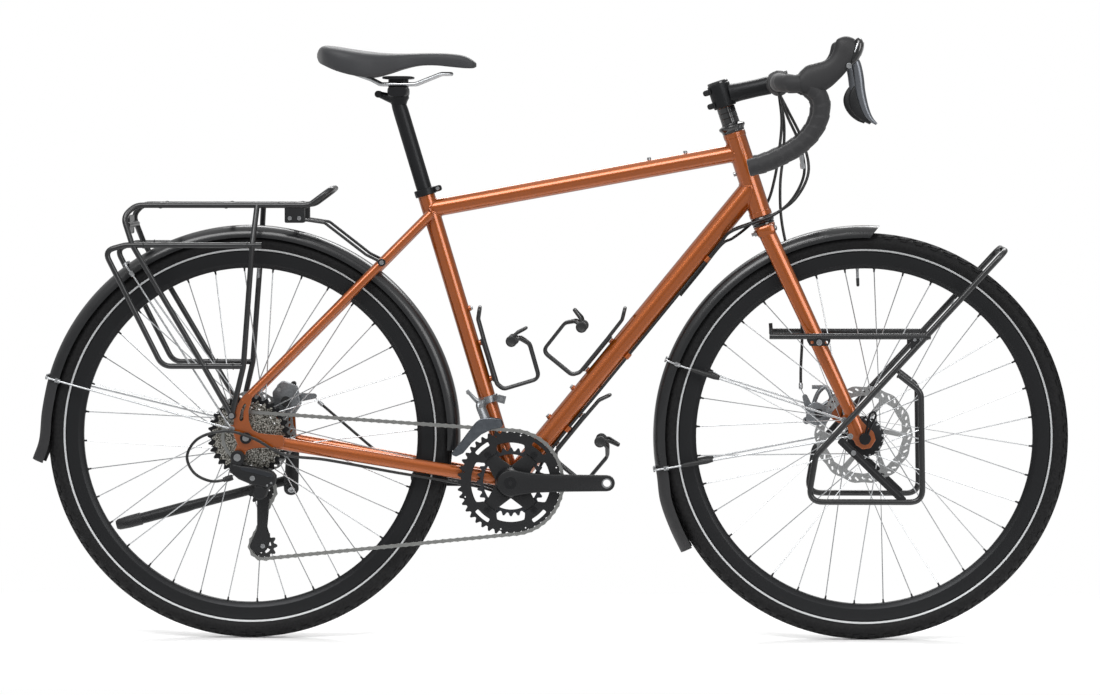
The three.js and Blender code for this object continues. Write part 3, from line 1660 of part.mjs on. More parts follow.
const ringThickness = 3;
const outerRingInner = 58;
const spiderThickness = 5;
const innerRingLine = chainLine - ringThickness - spiderThickness - gap;
const innerRingOuter = 53;
const innerRingInner = 40;
const armInnerPlace = 54;
const armOuterPlace = 66;
const armHalfDepth = 17;
const armTipRadius = 14;
const crankBossRadius = 24;
const boltCircleRadius = 64;
const spiderArmHalf = 9;
const leftArmInner = 50;
const axleEnd = 60;

function chainringOuter() {
  const outer = chainringPitchRadius - chainHalfHeight - runningGap;
  const half = ringThickness / 2;
  const profile = [
    [outerRingInner, -half],
    [outer, -half],
    [outer, half],
    [outerRingInner, half],
  ];
  return turned(beside(bracket, -chainLine), profile, wheelSegments);
}

function chainringInner() {
  const half = ringThickness / 2;
  return turned(
    beside(bracket, -innerRingLine),
    [
      [innerRingInner, -half],
      [innerRingOuter, -half],
      [innerRingOuter, half],
      [innerRingInner, half],
    ],
    wheelSegments,
  );
}

const spiderDegrees = [50, 130, 230, 310];

function crankRight() {
  const outerFace = -chainLine + ringThickness / 2 + gap;
  const innerFace = outerFace + spiderThickness - gap;
  const arms = spiderDegrees.map((degrees) =>
    strut(
      beside(bracket, (outerFace + innerFace) / 2),
      polar(bracket, boltCircleRadius, degrees, (outerFace + innerFace) / 2),
      crankBossRadius * 0.8,
      spiderArmHalf,
      (innerFace - outerFace) / spiderArmHalf,
      6,
    ),
  );
  const end = bracketShellWidth / 2 + leftCupDepth + leftArmInner;
  return join(
    rod(beside(bracket, -armOuterPlace), beside(bracket, innerFace), crankBossRadius, tubeSides),
    rod(beside(bracket, outerFace), beside(bracket, axleEnd), crankAxleRadius, tubeSides),
    arms.map((arm) => cut(arm, slab(innerFace, end), slab(-end, outerFace))),
    crankArm(1, -armOuterPlace, -armInnerPlace),
  );
}

function slab(from, to) {
  const reach = 3 * chainringPitchRadius;
  return box([bracket.x - reach, bracket.x + reach], [from, to], [bracket.z - reach, bracket.z + reach]);
}

function crankArm(heading, low, high) {
  const tip = at(bracket.x + heading * crankLength, 0, bracket.z);
  const middle = (low + high) / 2;
  const hole = rod(beside(tip, low - overrun), beside(tip, high + overrun), armTipRadius / 2, 12);
  return cut(
    join(
      strut(beside(bracket, middle), beside(tip, middle), armHalfDepth, armTipRadius * 0.9, 0.5, 4),
      rod(beside(bracket, low), beside(bracket, high), crankBossRadius, tubeSides),
      rod(beside(tip, low), beside(tip, high), armTipRadius, tubeSides),
    ),
    hole,
    slab(high, high + 5 * armTipRadius),
    slab(low - 5 * armTipRadius, low),
  );
}

function crankLeft() {
  const outer = armOuterPlace;
  return cut(
    crankArm(-1, leftArmInner, outer),
    rod(
      beside(bracket, leftArmInner - overrun),
      beside(bracket, axleEnd + gap),
      crankAxleRadius + gap,
      tubeSides,
    ),
  );
}

// Front derailleur: a band on the seat tube and a cage over the chain

const changerHeight = 145;
const changerBandHeight = 12;
const changerWall = 3.5;
const changerPlateWall = 1.2;
const changerOuterY = 49.6;
const changerInnerY = 40.4;
const changerInnerRadius = 88;
const changerOuterRadius = 108;
const changerStartDegrees = 96;
const changerEndDegrees = 148;
const changerSteps = 6;
const changerArmY = 30;
const changerArmHalf = 10;
const changerArmShares = { top: [-0.359, 0.897], foot: [-0.276, 0.662], horn: [-0.524, 1.09] };

// A piece of the changer's arc, seen from the side, between two radii.
function changerBand(start, end, outer, inner, steps) {
  const centre = at(0, 0, 0);
  const ring = [
    ...arcAround(centre, outer, start, end, steps),
    ...arcAround(centre, inner, end, start, steps),
  ];
  return ring.map((point) => [point.x, point.z]);
}

function frontDerailleur() {
  const low = along(bracket, seatUp, changerHeight - changerBandHeight / 2);
  const high = along(bracket, seatUp, changerHeight + changerBandHeight / 2);
  const bandRadius = seatTubeRadius + gap + changerWall;
  const [start, end] = [changerStartDegrees, changerEndDegrees];
  const [inner, outer] = [changerInnerRadius, changerOuterRadius];
  const outline = changerBand(start, end, outer, inner, changerSteps);
  const outerPlate = [-changerOuterY - changerPlateWall, -changerOuterY];
  const innerPlate = [-changerInnerY, -changerInnerY + changerPlateWall];
  const across = [outerPlate[0], innerPlate[1]];
  const wall = 2 * changerPlateWall;
  const armTop = placed(bracket, changerHeight, changerArmShares.top, -changerArmY);
  const footY = -changerInnerY + changerPlateWall + changerArmHalf * 0.5;
  const armFoot = placed(bracket, changerHeight, changerArmShares.foot, footY);
  const horn = placed(bracket, changerHeight, changerArmShares.horn, -changerArmY * 0.8);
  const post = along(bracket, seatUp, changerHeight);
  return cut(
    join(
      rod(low, high, bandRadius, tubeSides),
      rod(post, armTop, changerArmHalf * 0.9, railSides),
      strut(armTop, armFoot, changerArmHalf, changerArmHalf * 0.7, 0.8, railSides),
      rod(armTop, horn, changerArmHalf / 2, railSides),
      plate(bracket, outline, ...outerPlate),
      plate(bracket, outline, ...innerPlate),
      plate(bracket, changerBand(start + 1, start + 9, outer - wall / 2, outer - 2 * wall, 1), ...across),
      plate(bracket, changerBand(end - 9, end - 1, outer - wall, inner + 2 * wall, 1), ...across),
    ),
    rod(along(low, seatUp, -bandRadius), along(high, seatUp, bandRadius), seatTubeRadius + gap, tubeSides),
  );
}

// Rear derailleur: a body under the hanger and the long cage that carries both pulleys

const knuckleRadius = 12;
const knuckleDepth = 16;
// The cage plates' outline: shares of the distance between the pulleys, from the guide pulley
const pulleyCageShares = [
  [-0.085, 0.128], [0.106, 0.128], [0.128, -0.213], [0.085, -0.66], [0.149, -0.894],
  [0.064, -1.106], [-0.128, -1.128], [-0.234, -1.021], [-0.085, -0.681],
];

function rearDerailleur() {
  const hangerFace = -dropoutOuter - gap;
  const bodyOuter = hangerFace - knuckleDepth;
  const guide = beside(guidePulley, 0);
  const tension = beside(tensionPulley, 0);
  const outline = scaled(guide.distanceTo(tension), pulleyCageShares);
  const outerPlate = [-cageOuterY - cagePlateWall, -cageOuterY];
  const innerPlate = [-cageInnerY, -cageInnerY + cagePlateWall];
  const pins = [guide, tension].map((place) =>
    rod(beside(place, outerPlate[0]), beside(place, innerPlate[1]), pulleyPinRadius, rodSides),
  );
  return join(
    rod(beside(hanger, bodyOuter), beside(hanger, hangerFace), knuckleRadius, tubeSides),
    strut(
      beside(hanger, hangerFace - knuckleRadius),
      beside(guide, (outerPlate[0] + bodyOuter) / 2),
      knuckleRadius,
      knuckleRadius,
      0.7,
      rodSides,
    ),
    rod(beside(guide, bodyOuter + knuckleDepth / 5), beside(guide, outerPlate[1]), knuckleRadius, tubeSides),
    plate(guide, outline, ...outerPlate),
    plate(guide, outline, ...innerPlate),
    pins,
  );
}

// Cables: each route's points are chosen by hand

const longCableSteps = 34;
const shortCableSteps = 16;
const cableSeat = 1.2;

// A point of a cable that lies along the underside of the down tube.
function underTube(share, y) {
  const place = between(bracket, downTubeFront, share);
  const drop = Math.sqrt((downTubeRadius + cableRadius + cableSeat) ** 2 - y ** 2);
  return beside(along(place, downTubeUnder, drop), y);
}

function cable(points) {
  const steps = points.length > 12 ? longCableSteps : shortCableSteps;
  return sweep(smooth(points, steps), ringOutline(cableRadius, rodSides), upward);
}

const rearBrakeRoute = [
  at(395, 60, 937.6), at(412, 58, 905), at(438, 45, 850), at(446, 34, 800), at(424, 30, 756),
  at(392, 28, 732), at(352, 27, 716), at(312, 20, 700), underTube(0.84, 13), underTube(0.6, 13),
  underTube(0.35, 13), underTube(0.12, 13), at(-50, 13, 245), at(-85, 17, 253), at(-112, 23, 262),
  at(-160, 28, 271), at(-230, 38, 284), at(-280, 52, 303), at(-308, 55, 324), at(-350, 54, 360),
  at(-400, 53, 403),
];
const rearShiftRoute = [
  at(395, -60, 937.6), at(408, -58, 900), at(430, -46, 850), at(438, -34, 800), at(418, -30, 756),
  at(388, -28, 730), at(350, -27, 715), at(310, -20, 698), underTube(0.84, -13), underTube(0.6, -13),
  underTube(0.35, -13), underTube(0.12, -13), at(-50, -13, 245), at(-85, -17, 252), at(-112, -24, 261),
  at(-180, -31, 274), at(-260, -40, 288), at(-380, -58, 311), at(-448, -84, 322), at(-500, -92, 350),
  at(-545, -94, 362), at(-594, -94, 348), at(-612, -92, 318), at(-600, -90, 290), at(-572, -87, 276),
  at(-546, -85, 278),
];
const frontShiftRoute = [
  at(395, 36, 937.6), at(400, 34, 890), at(396, 30, 840), at(388, 27, 790), at(376, 27, 750),
  at(352, 34, 717), at(316, 16, 688), underTube(0.84, 3), underTube(0.74, 3), underTube(0.66, 3),
];
const frontBrakeRoute = [
  at(395, 84, 938.4), at(404, 86, 890), at(404, 84, 840), at(398, 76, 780), at(400, 70, 720),
  at(412, 66, 660), at(430, 66, 590), at(436, 64, 520), at(434, 60, 460), at(434, 54, 428),
];

// Assembly

addPiece("main_frame", mainFrame(), materials.copper);
addPiece("rear_frame", rearFrame(), materials.copper);
addPiece("seat_clamp", seatClamp(), materials.blackMetal);
addPiece("seat_post", seatPost(), materials.blackMetal);
addPiece("saddle_rails", saddleRails(), materials.silver);
addPiece("saddle", saddle(), materials.black);
addPiece("headset_upper", headsetUpper(), materials.blackMetal);
addPiece("headset_lower", headsetLower(), materials.blackMetal);
addPiece("fork", fork(), materials.copper);
addPiece("stem", stem(), materials.blackMetal);
addPiece("handlebar", handlebar(barRadius), materials.black);
for (const [name, hand] of Object.entries(sides)) {
  addPiece(`hood_${name}`, hood(hand), materials.rubber);
  addPiece(`lever_${name}`, lever(hand), materials.blackMetal);
}
const rearGuard = mudguard(rearAxle, rearGuardStart, rearGuardEnd, rearFlapShares);
const frontGuard = mudguard(frontAxle, frontGuardStart, frontGuardEnd, frontFlapShares);
addPiece("rear_mudguard", rearGuard, materials.black);
addPiece("front_mudguard", frontGuard, materials.black);
addPiece("rear_stays", rearStays(), materials.silver);
for (const [name, stay] of Object.entries(frontStays)) {
  addPiece(name, frontStay(stay), materials.silver);
}
addPiece("rear_rack", rearRack(), materials.blackMetal);
addPiece("front_rack", frontRack(), materials.blackMetal);
for (const [name, seat] of Object.entries(cageSeats)) {
  addPiece(name, bottleCage(seat), materials.blackMetal);
}
addPiece("stand_bracket", standBracket(), materials.blackMetal);
addPiece("stand_leg", standLeg(), materials.blackMetal);
addPiece("front_calliper", calliper(frontAxle, frontCalliperShares), materials.blackMetal);
addPiece("rear_calliper", calliper(rearAxle, rearCalliperShares), materials.blackMetal);
addPiece("front_brake_arm", brakeArm(frontArmPivot, frontArmDegrees), materials.blackMetal);
addPiece("rear_brake_arm", brakeArm(rearArmPivot, rearArmDegrees), materials.blackMetal);
addPiece("front_tyre", tyre(frontAxle), materials.rubber);
addPiece("front_rim", rim(frontAxle, valveDegrees.front), materials.blackMetal);
addPiece("front_hub", frontHub(), materials.blackMetal);
addPiece("front_rotor", rotor(frontAxle), materials.steel);
addPiece("front_axle", frontAxleShaft(), materials.blackMetal);
addPiece("rear_tyre", tyre(rearAxle), materials.rubber);
addPiece("rear_rim", rim(rearAxle, valveDegrees.rear), materials.blackMetal);
addPiece("rear_hub", rearHub(), materials.blackMetal);
addPiece("rear_rotor", rotor(rearAxle), materials.steel);
addPiece("rear_axle", rearAxleShaft(), materials.blackMetal);
const spokeInset = hubFlangeThickness + spokeHalf + gap;
for (const [name, hand] of Object.entries(sides)) {
  const frontPlace = frontFlangePlace - spokeInset;
  const rearPlace = (hand < 0 ? rearRightFlange : rearLeftFlange) - spokeInset;
  const front = spokes(frontAxle, frontFlangeRadius - spokeHoleInset, frontPlace, hand);
  const rear = spokes(rearAxle, rearFlangeRadius - spokeHoleInset, rearPlace, hand);
  addPiece(`front_spokes_${name}`, front, materials.steel);
  addPiece(`rear_spokes_${name}`, rear, materials.steel);
}
addPiece("cassette", cassette(), materials.steel);
addPiece("guide_pulley", pulley(guidePulley), materials.black);
addPiece("tension_pulley", pulley(tensionPulley), materials.black);
addPiece("chain", chain(), materials.steel);
addPiece("chainring_outer", chainringOuter(), materials.blackMetal);
addPiece("chainring_inner", chainringInner(), materials.steel);
addPiece("crank_right", crankRight(), materials.blackMetal);
addPiece("crank_left", crankLeft(), materials.blackMetal);
addPiece("front_derailleur", frontDerailleur(), materials.silver);
addPiece("rear_derailleur", rearDerailleur(), materials.blackMetal);
addPiece("rear_brake_cable", cable(rearBrakeRoute), materials.rubber);
addPiece("rear_shift_cable", cable(rearShiftRoute), materials.rubber);
addPiece("front_shift_cable", cable(frontShiftRoute), materials.rubber);
addPiece("front_brake_cable", cable(frontBrakeRoute), materials.rubber);

export default bicycle;
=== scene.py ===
import json
import math

import bmesh
import bpy
from mathutils import Matrix, Vector


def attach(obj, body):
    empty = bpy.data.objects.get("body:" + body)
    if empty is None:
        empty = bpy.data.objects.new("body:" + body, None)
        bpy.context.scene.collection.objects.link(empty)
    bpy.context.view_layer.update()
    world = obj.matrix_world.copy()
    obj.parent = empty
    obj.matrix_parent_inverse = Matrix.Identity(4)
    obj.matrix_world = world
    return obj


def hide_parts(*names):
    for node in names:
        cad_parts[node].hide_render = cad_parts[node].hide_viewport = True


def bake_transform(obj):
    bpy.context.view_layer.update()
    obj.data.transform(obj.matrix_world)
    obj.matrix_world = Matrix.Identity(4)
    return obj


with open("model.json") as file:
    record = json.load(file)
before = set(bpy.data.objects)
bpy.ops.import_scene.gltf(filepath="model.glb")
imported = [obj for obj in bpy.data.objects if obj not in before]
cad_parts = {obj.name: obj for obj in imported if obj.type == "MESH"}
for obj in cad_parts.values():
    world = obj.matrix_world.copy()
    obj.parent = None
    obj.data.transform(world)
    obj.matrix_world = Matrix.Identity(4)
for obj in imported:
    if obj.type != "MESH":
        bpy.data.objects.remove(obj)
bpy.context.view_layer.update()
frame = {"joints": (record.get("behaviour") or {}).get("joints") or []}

# Shapes are worked out in millimetres and made metres in shapeMesh. Cable routes, lights and camera are in metres.
mm = 0.001
leftward = Vector((0, 1, 0))
upward = Vector((0, 0, 1))


def jointOf(name):
    return next(joint for joint in frame["joints"] if joint["name"] == name)


def jointPlace(name):
    return Vector(jointOf(name)["pos_m"]) / mm


rearAxle = jointPlace("rear_wheel_spin")
frontAxle = jointPlace("front_wheel_spin")
bracket = jointPlace("crank_spin")
headBottom = jointPlace("steering_turn")
steerUp = Vector(jointOf("steering_turn")["axis"]).normalized()
steerFront = Vector((steerUp.z, 0, -steerUp.x))
seatUp = Vector(jointOf("seat_height")["axis"]).normalized()
seatFront = Vector((seatUp.z, 0, -seatUp.x))


# Places and paths


def at(x, y, z):
    return Vector((x, y, z))


def beside(place, y):
    return Vector((place.x, y, place.z))


def placed(origin, ahead, up, y=0):
    return Vector((origin.x + ahead, y, origin.z + up))


def mirrored(place):
    return Vector((place.x, -place.y, place.z))


def polar(centre, radius, degrees, y=0):
    angle = math.radians(degrees)
    return Vector((centre.x + radius * math.cos(angle), y, centre.z + radius * math.sin(angle)))


# Four corners: a plate's outline, or the section of a turned ring.
def rectangle(near, far, low, high):
    return [(near, low), (far, low), (far, high), (near, high)]


# Angles in equal steps round a circle.
def roundAngles(count):
    return [2 * math.pi * i / count for i in range(count)]


# A point on a circle in a plate's own plane, and an arc of such points between two angles in degrees.
def circlePoint(radius, angle, centre=(0, 0)):
    return (centre[0] + radius * math.cos(angle), centre[1] + radius * math.sin(angle))


def arcOutline(radius, start, end, steps, centre=(0, 0)):
    return [circlePoint(radius, math.radians(start + (end - start) * k / steps), centre) for k in range(steps + 1)]


# A path through all the points, corners rounded off as a bent tube's are.
def roundedPath(points, radius, steps):
    path = [points[0].copy()]
    for before, corner, after in zip(points, points[1:], points[2:]):
        back, ahead = before - corner, after - corner
        turn = math.pi - back.angle(ahead)
        reach = min(radius * math.tan(turn / 2), back.length / 2.1, ahead.length / 2.1)
        start, end = corner + back.normalized() * reach, corner + ahead.normalized() * reach
        for i in range(steps + 1):
            t = i / steps
            path.append(start * (1 - t) ** 2 + corner * 2 * t * (1 - t) + end * t**2)
    path.append(points[-1].copy())
    return path


# A smooth line through given points, knots spaced by the root of their distance.
def smoothPath(points, steps):
    ends = [points[0] * 2 - points[1]] + list(points) + [points[-1] * 2 - points[-2]]
    path = []
    for i in range(len(points) - 1):
        p = ends[i:i + 4]
        t = [0]
        for a, b in zip(p, p[1:]):
            t.append(t[-1] + max((b - a).length, 0.001) ** 0.5)
        for k in range(steps):
            u = t[1] + (t[2] - t[1]) * k / steps
            a = [p[j].lerp(p[j + 1], (u - t[j]) / (t[j + 1] - t[j])) for j in range(3)]
            b = [a[j].lerp(a[j + 1], (u - t[j]) / (t[j + 2] - t[j])) for j in range(2)]
            path.append(b[0].lerp(b[1], (u - t[1]) / (t[2] - t[1])))
    path.append(points[-1].copy())
    return path


def tangentsOf(path, closed=False):
    tangents = []
    last = len(path) - 1
    for i, place in enumerate(path):
        before = path[i - 1] if i > 0 or closed else place
        after = path[(i + 1) % len(path)] if i < last or closed else place
        a = (place - before).normalized() if i > 0 or closed else Vector()
        b = (after - place).normalized() if i < last or closed else Vector()
        tangents.append((a + b).normalized())
    return tangents


# Directions across a path that never twist along it.
def framesOf(path, closed=False, start=leftward):
    side = start
    frames = []
    for tangent in tangentsOf(path, closed):
        side = side - tangent * side.dot(tangent)
        if side.length < 0.01:
            side = upward - tangent * upward.dot(tangent)
        side = side.normalized()
        frames.append((tangent, side, tangent.cross(side)))
    return frames


# Shapes: plain lists of corners and faces that one piece gathers before it becomes a mesh


def newShape():
    return {"corners": [], "faces": []}


def addRings(shape, rings, closed=False):
    base = len(shape["corners"])
    count = len(rings[0])
    for ring in rings:
        shape["corners"].extend(ring)
    spans = len(rings) if closed else len(rings) - 1
    for r in range(spans):
        low, high = base + r * count, base + ((r + 1) % len(rings)) * count
        for i in range(count):
            j = (i + 1) % count
            shape["faces"].append((low + i, low + j, high + j, high + i))
    if not closed:
        shape["faces"].append(tuple(base + i for i in reversed(range(count))))
        shape["faces"].append(tuple(base + (len(rings) - 1) * count + i for i in range(count)))


# A round or oval bar along a path. Its radius may change along the way, flat is its width share.
def addSweep(shape, path, radius, sides, flat=1.0, closed=False, start=leftward, roundEnds=0.0):
    radii = list(radius) if isinstance(radius, (list, tuple)) else [radius] * len(path)
    frames = framesOf(path, closed, start)
    if roundEnds and not closed:
        path, radii, frames = withRoundEnds(path, radii, frames, roundEnds)
    rings = []
    for place, size, (tangent, side, other) in zip(path, radii, frames):
        rings.append([place + side * (size * flat * math.cos(angle)) + other * (size * math.sin(angle))
                      for angle in roundAngles(sides)])
    addRings(shape, rings, closed)


# Ends rounded over a depth: a dome where that is more than 1 mm, and otherwise a softened edge.
def withRoundEnds(path, radii, frames, depth):
    def shrunk(radius, share):
        return radius * share if depth > 1 else radius - depth * (1 - share)

    head, tail = [], []
    for share in (0.35, 0.75, 0.95):
        inset = 1 - math.sqrt(1 - (1 - share) ** 2)
        head.append((path[0] + frames[0][0] * depth * inset, shrunk(radii[0], share), frames[0]))
        tail.append((path[-1] - frames[-1][0] * depth * inset, shrunk(radii[-1], share), frames[-1]))
    inner = [(path[0] + frames[0][0] * depth, radii[0], frames[0])]
    inner += list(zip(path[1:-1], radii[1:-1], frames[1:-1]))
    inner += [(path[-1] - frames[-1][0] * depth, radii[-1], frames[-1])]
    whole = head + inner + tail[::-1]
    return [w[0] for w in whole], [w[1] for w in whole], [w[2] for w in whole]


def addBar(shape, start, end, radius, endRadius=None, sides=24, flat=1.0, roundEnds=0.4):
    radii = [radius, radius if endRadius is None else endRadius]
    addSweep(shape, [start, end], radii, sides, flat, roundEnds=roundEnds)


# A turned shape about any line, from pairs of radius and place along that line.
def addTurned(shape, profile, origin, direction, segments):
    side = direction.orthogonal().normalized()
    other = direction.normalized().cross(side)
    axis = direction.normalized()
    rings = []
    for angle in roundAngles(segments):
        out = side * math.cos(angle) + other * math.sin(angle)
        rings.append([origin + out * radius + axis * place for radius, place in profile])
    if profile[0][0] != 0:
        addRings(shape, rings, closed=True)
        return
    base, inner = len(shape["corners"]), len(profile) - 2
    shape["corners"] += [rings[0][0], rings[0][-1]]
    for ring in rings:
        shape["corners"].extend(ring[1:-1])
    for i in range(segments):
        j = (i + 1) % segments
        a, b = base + 2 + i * inner, base + 2 + j * inner
        shape["faces"].append((base, a, b))
        for k in range(inner - 1):
            shape["faces"].append((a + k, a + k + 1, b + k + 1, b + k))
        shape["faces"].append((a + inner - 1, base + 1, b + inner - 1))


# A ring that goes from an ellipse, at a power of 2, towards a box with soft corners.
def softRing(centre, alongA, alongB, halfA, halfB, count, power):
    ring = []
    for angle in roundAngles(count):
        c, s = math.cos(angle), math.sin(angle)
        a = math.copysign(abs(c) ** (2 / power), c) * halfA
        b = math.copysign(abs(s) ** (2 / power), s) * halfB
        ring.append(centre + alongA * a + alongB * b)
    return ring


# A skin that runs smoothly from each ring to the next: hoods, caps and lever blades.
def addSmoothSkin(shape, rings, steps=5):
    strands = [smoothPath(strand, steps) for strand in zip(*rings)]
    addRings(shape, [list(ring) for ring in zip(*strands)])


# A flat plate seen from the side, with any number of holes and softened edges.
def addPlate(shape, outlines, low, high, origin, bevel, turn=None):
    curve = bpy.data.curves.new("plate", "CURVE")
    curve.dimensions = "2D"
    curve.fill_mode = "BOTH"
    curve.extrude = (high - low) / 2 - bevel
    curve.bevel_depth = bevel
    curve.bevel_resolution = 0 if bevel < 1 else 2
    curve.offset = -bevel
    for outline in outlines:
        spline = curve.splines.new("POLY")
        spline.points.add(len(outline) - 1)
        for spot, (x, z) in zip(spline.points, outline):
            spot.co = (x, z, 0, 1)
        spline.use_cyclic_u = True
    holder = bpy.data.objects.new("plate", curve)
    bpy.context.scene.collection.objects.link(holder)
    bpy.context.view_layer.update()
    mesh = bpy.data.meshes.new_from_object(holder.evaluated_get(bpy.context.evaluated_depsgraph_get()))
    middle = (low + high) / 2
    base = len(shape["corners"])
    for corner in mesh.vertices:
        x, z, depth = corner.co
        place = Vector((x, middle + depth, z))
        if turn is not None:
            place = turn @ place
        shape["corners"].append(origin + place)
    for face in mesh.polygons:
        shape["faces"].append(tuple(base + i for i in reversed(face.vertices)))
    bpy.data.objects.remove(holder)
    bpy.data.meshes.remove(mesh)
    bpy.data.curves.remove(curve)


def ringOutline(radius, count, centre=(0, 0)):
    return [circlePoint(radius, angle, centre) for angle in roundAngles(count)]


# An outline with its corners rounded by an arc-like curve.
def softOutline(outline, radius, steps=4):
    points = [Vector((x, 0, z)) for x, z in outline]
    whole = [points[-1]] + points + [points[0]]
    path = roundedPath(whole, radius, steps)[1:-1]
    return [(place.x, place.z) for place in path]


# A socket-headed bolt, with its head standing out along a direction.
def addBolt(shape, place, direction, radius, height):
    profile = [
        (0, -1.0), (radius, -1.0), (radius, height - 0.5), (radius - 0.5, height),
        (radius * 0.55, height), (radius * 0.5, height * 0.4), (0, height * 0.4),
    ]
    addTurned(shape, profile, place, direction, 20)


# Where a point that slides along a direction meets a round tube.
def slideTo(place, direction, linePlace, lineUp, radius):
    offset = place - linePlace
    across = offset - lineUp * offset.dot(lineUp)
    travel = direction - lineUp * direction.dot(lineUp)
    a, b, c = travel.dot(travel), 2 * across.dot(travel), across.dot(across) - radius**2
    inside = b * b - 4 * a * c
    distance = (-b - math.sqrt(inside)) / (2 * a) if inside > 0 else -b / (2 * a)
    return place + direction * distance


# A frame tube whose ends are cut to fit round the tubes that they meet.
def addMitred(shape, start, end, radius, startFit, endFit, sides=48, steps=12):
    run = (end - start).normalized()
    middle = start.lerp(end, 0.5)
    side = (leftward - run * leftward.dot(run)).normalized()
    other = run.cross(side)
    rings = [[], []]
    for angle in roundAngles(sides):
        place = middle + (side * math.cos(angle) + other * math.sin(angle)) * radius
        rings[0].append(slideTo(place, -run, *startFit))
        rings[1].append(slideTo(place, run, *endFit))
    addRings(shape, [[a.lerp(b, k / steps) for a, b in zip(*rings)] for k in range(steps + 1)])


# The thin bead of metal where one tube is welded to another.
def addWeld(shape, start, direction, radius, fit, bead):
    side = (leftward - direction * leftward.dot(direction)).normalized()
    other = direction.cross(side)
    path = [slideTo(start + (side * math.cos(angle) + other * math.sin(angle)) * radius, direction, *fit)
            for angle in roundAngles(48)]
    addSweep(shape, path, bead, 8, closed=True)


def shapeMesh(name, shape, angle):
    mesh = bpy.data.meshes.new(name)
    mesh.from_pydata([tuple(corner * mm) for corner in shape["corners"]], [], shape["faces"])
    mesh.validate()
    smoothMesh(mesh, angle)
    return mesh


def smoothMesh(mesh, angle):
    mesh.polygons.foreach_set("use_smooth", [True] * len(mesh.polygons))
    mesh.set_sharp_from_angle(angle=math.radians(angle))
    mesh.update()


# Makes faces point outwards on every closed shell of a mesh.
def faceOutwards(mesh):
    work = bmesh.new()
    work.from_mesh(mesh)
    bmesh.ops.remove_doubles(work, verts=work.verts, dist=1e-6)
    bmesh.ops.recalc_face_normals(work, faces=work.faces)
    work.to_mesh(mesh)
    work.free()


def looseObject(name, shape, angle):
    mesh = shapeMesh(name, shape, angle)
    faceOutwards(mesh)
    piece = bpy.data.objects.new(name, mesh)
    bpy.context.scene.collection.objects.link(piece)
    return piece


def makePiece(name, shape, material, body, slot, replaced=(), angle=35):
    piece = looseObject(name, shape, angle)
    smoothMesh(piece.data, angle)
    piece.data.materials.append(material)
    return settle(piece, body, replaced)


# A piece that is one turned shape. Its look is what makePiece takes after the shape.
def makeTurned(name, profile, origin, direction, segments, *look):
    shape = newShape()
    addTurned(shape, profile, origin, direction, segments)
    return makePiece(name, shape, *look)


def settle(piece, body, replaced):
    if replaced:
        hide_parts(*replaced)
    if body:
        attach(piece, body)
    return piece


# Materials. Colours are sRGB hex values, turned linear here.


def linear(hexColour):
    values = [((hexColour >> shift) & 255) / 255 for shift in (16, 8, 0)]
    out = [v / 12.92 if v <= 0.04045 else ((v + 0.055) / 1.055) ** 2.4 for v in values]
    return (*out, 1.0)


def addNode(tree, kind, inputs=None, **settings):
    node = tree.nodes.new(kind)
    for name, value in settings.items():
        setattr(node, name, value)
    for name, value in (inputs or {}).items():
        if isinstance(value, bpy.types.NodeSocket):
            tree.links.new(value, node.inputs[name])
        else:
            node.inputs[name].default_value = value
    return node


# A material with its plain look set, and the coordinates that its patterns are laid out by.
def newMaterial(name, colour, **sockets):
    material = bpy.data.materials.new(name)
    material.use_nodes = True
    tree = material.node_tree
    shader = tree.nodes["Principled BSDF"]
    shader.inputs["Base Color"].default_value = linear(colour)
    for socket, value in sockets.items():
        shader.inputs[socket.replace("_", " ")].default_value = value
    material.diffuse_color = linear(colour)
    return material, tree, shader, addNode(tree, "ShaderNodeTexCoord").outputs["Object"]


# Colour that varies softly between two tones as a pattern rises and falls.
def mottle(tree, shader, height, low, high, start=0.35, end=0.65):
    ramp = addNode(tree, "ShaderNodeValToRGB", {"Fac": height})
    first, last = ramp.color_ramp.elements
    first.position, last.position = start, end
    first.color, last.color = linear(low), linear(high)
    tree.links.new(ramp.outputs["Color"], shader.inputs["Base Color"])


def roughen(tree, shader, source, low, high):
    span = addNode(tree, "ShaderNodeMapRange", {"Value": source, "To Min": low, "To Max": high})
    tree.links.new(span.outputs["Result"], shader.inputs["Roughness"])


def bumpFrom(tree, shader, height, strength, depth):
    bump = addNode(tree, "ShaderNodeBump", {"Height": height, "Strength": strength, "Distance": depth})
    tree.links.new(bump.outputs["Normal"], shader.inputs["Normal"])


# A surface with one pattern, of noise or of cells, that sets its roughness and may tint and raise it too.
def makeSurface(name, colour, scale, rough, bump=None, tones=None, cells=None, detail=2.0, **sockets):
    material, tree, shader, coordinates = newMaterial(name, colour, **sockets)
    given = {"Vector": coordinates, "Scale": scale}
    if cells:
        height = addNode(tree, "ShaderNodeTexVoronoi", given, feature=cells).outputs["Distance"]
    else:
        height = addNode(tree, "ShaderNodeTexNoise", {**given, "Detail": detail}).outputs["Fac"]
    if tones:
        mottle(tree, shader, height, *tones)
    roughen(tree, shader, height, *rough)
    if bump:
        bumpFrom(tree, shader, height, *bump)
    return material


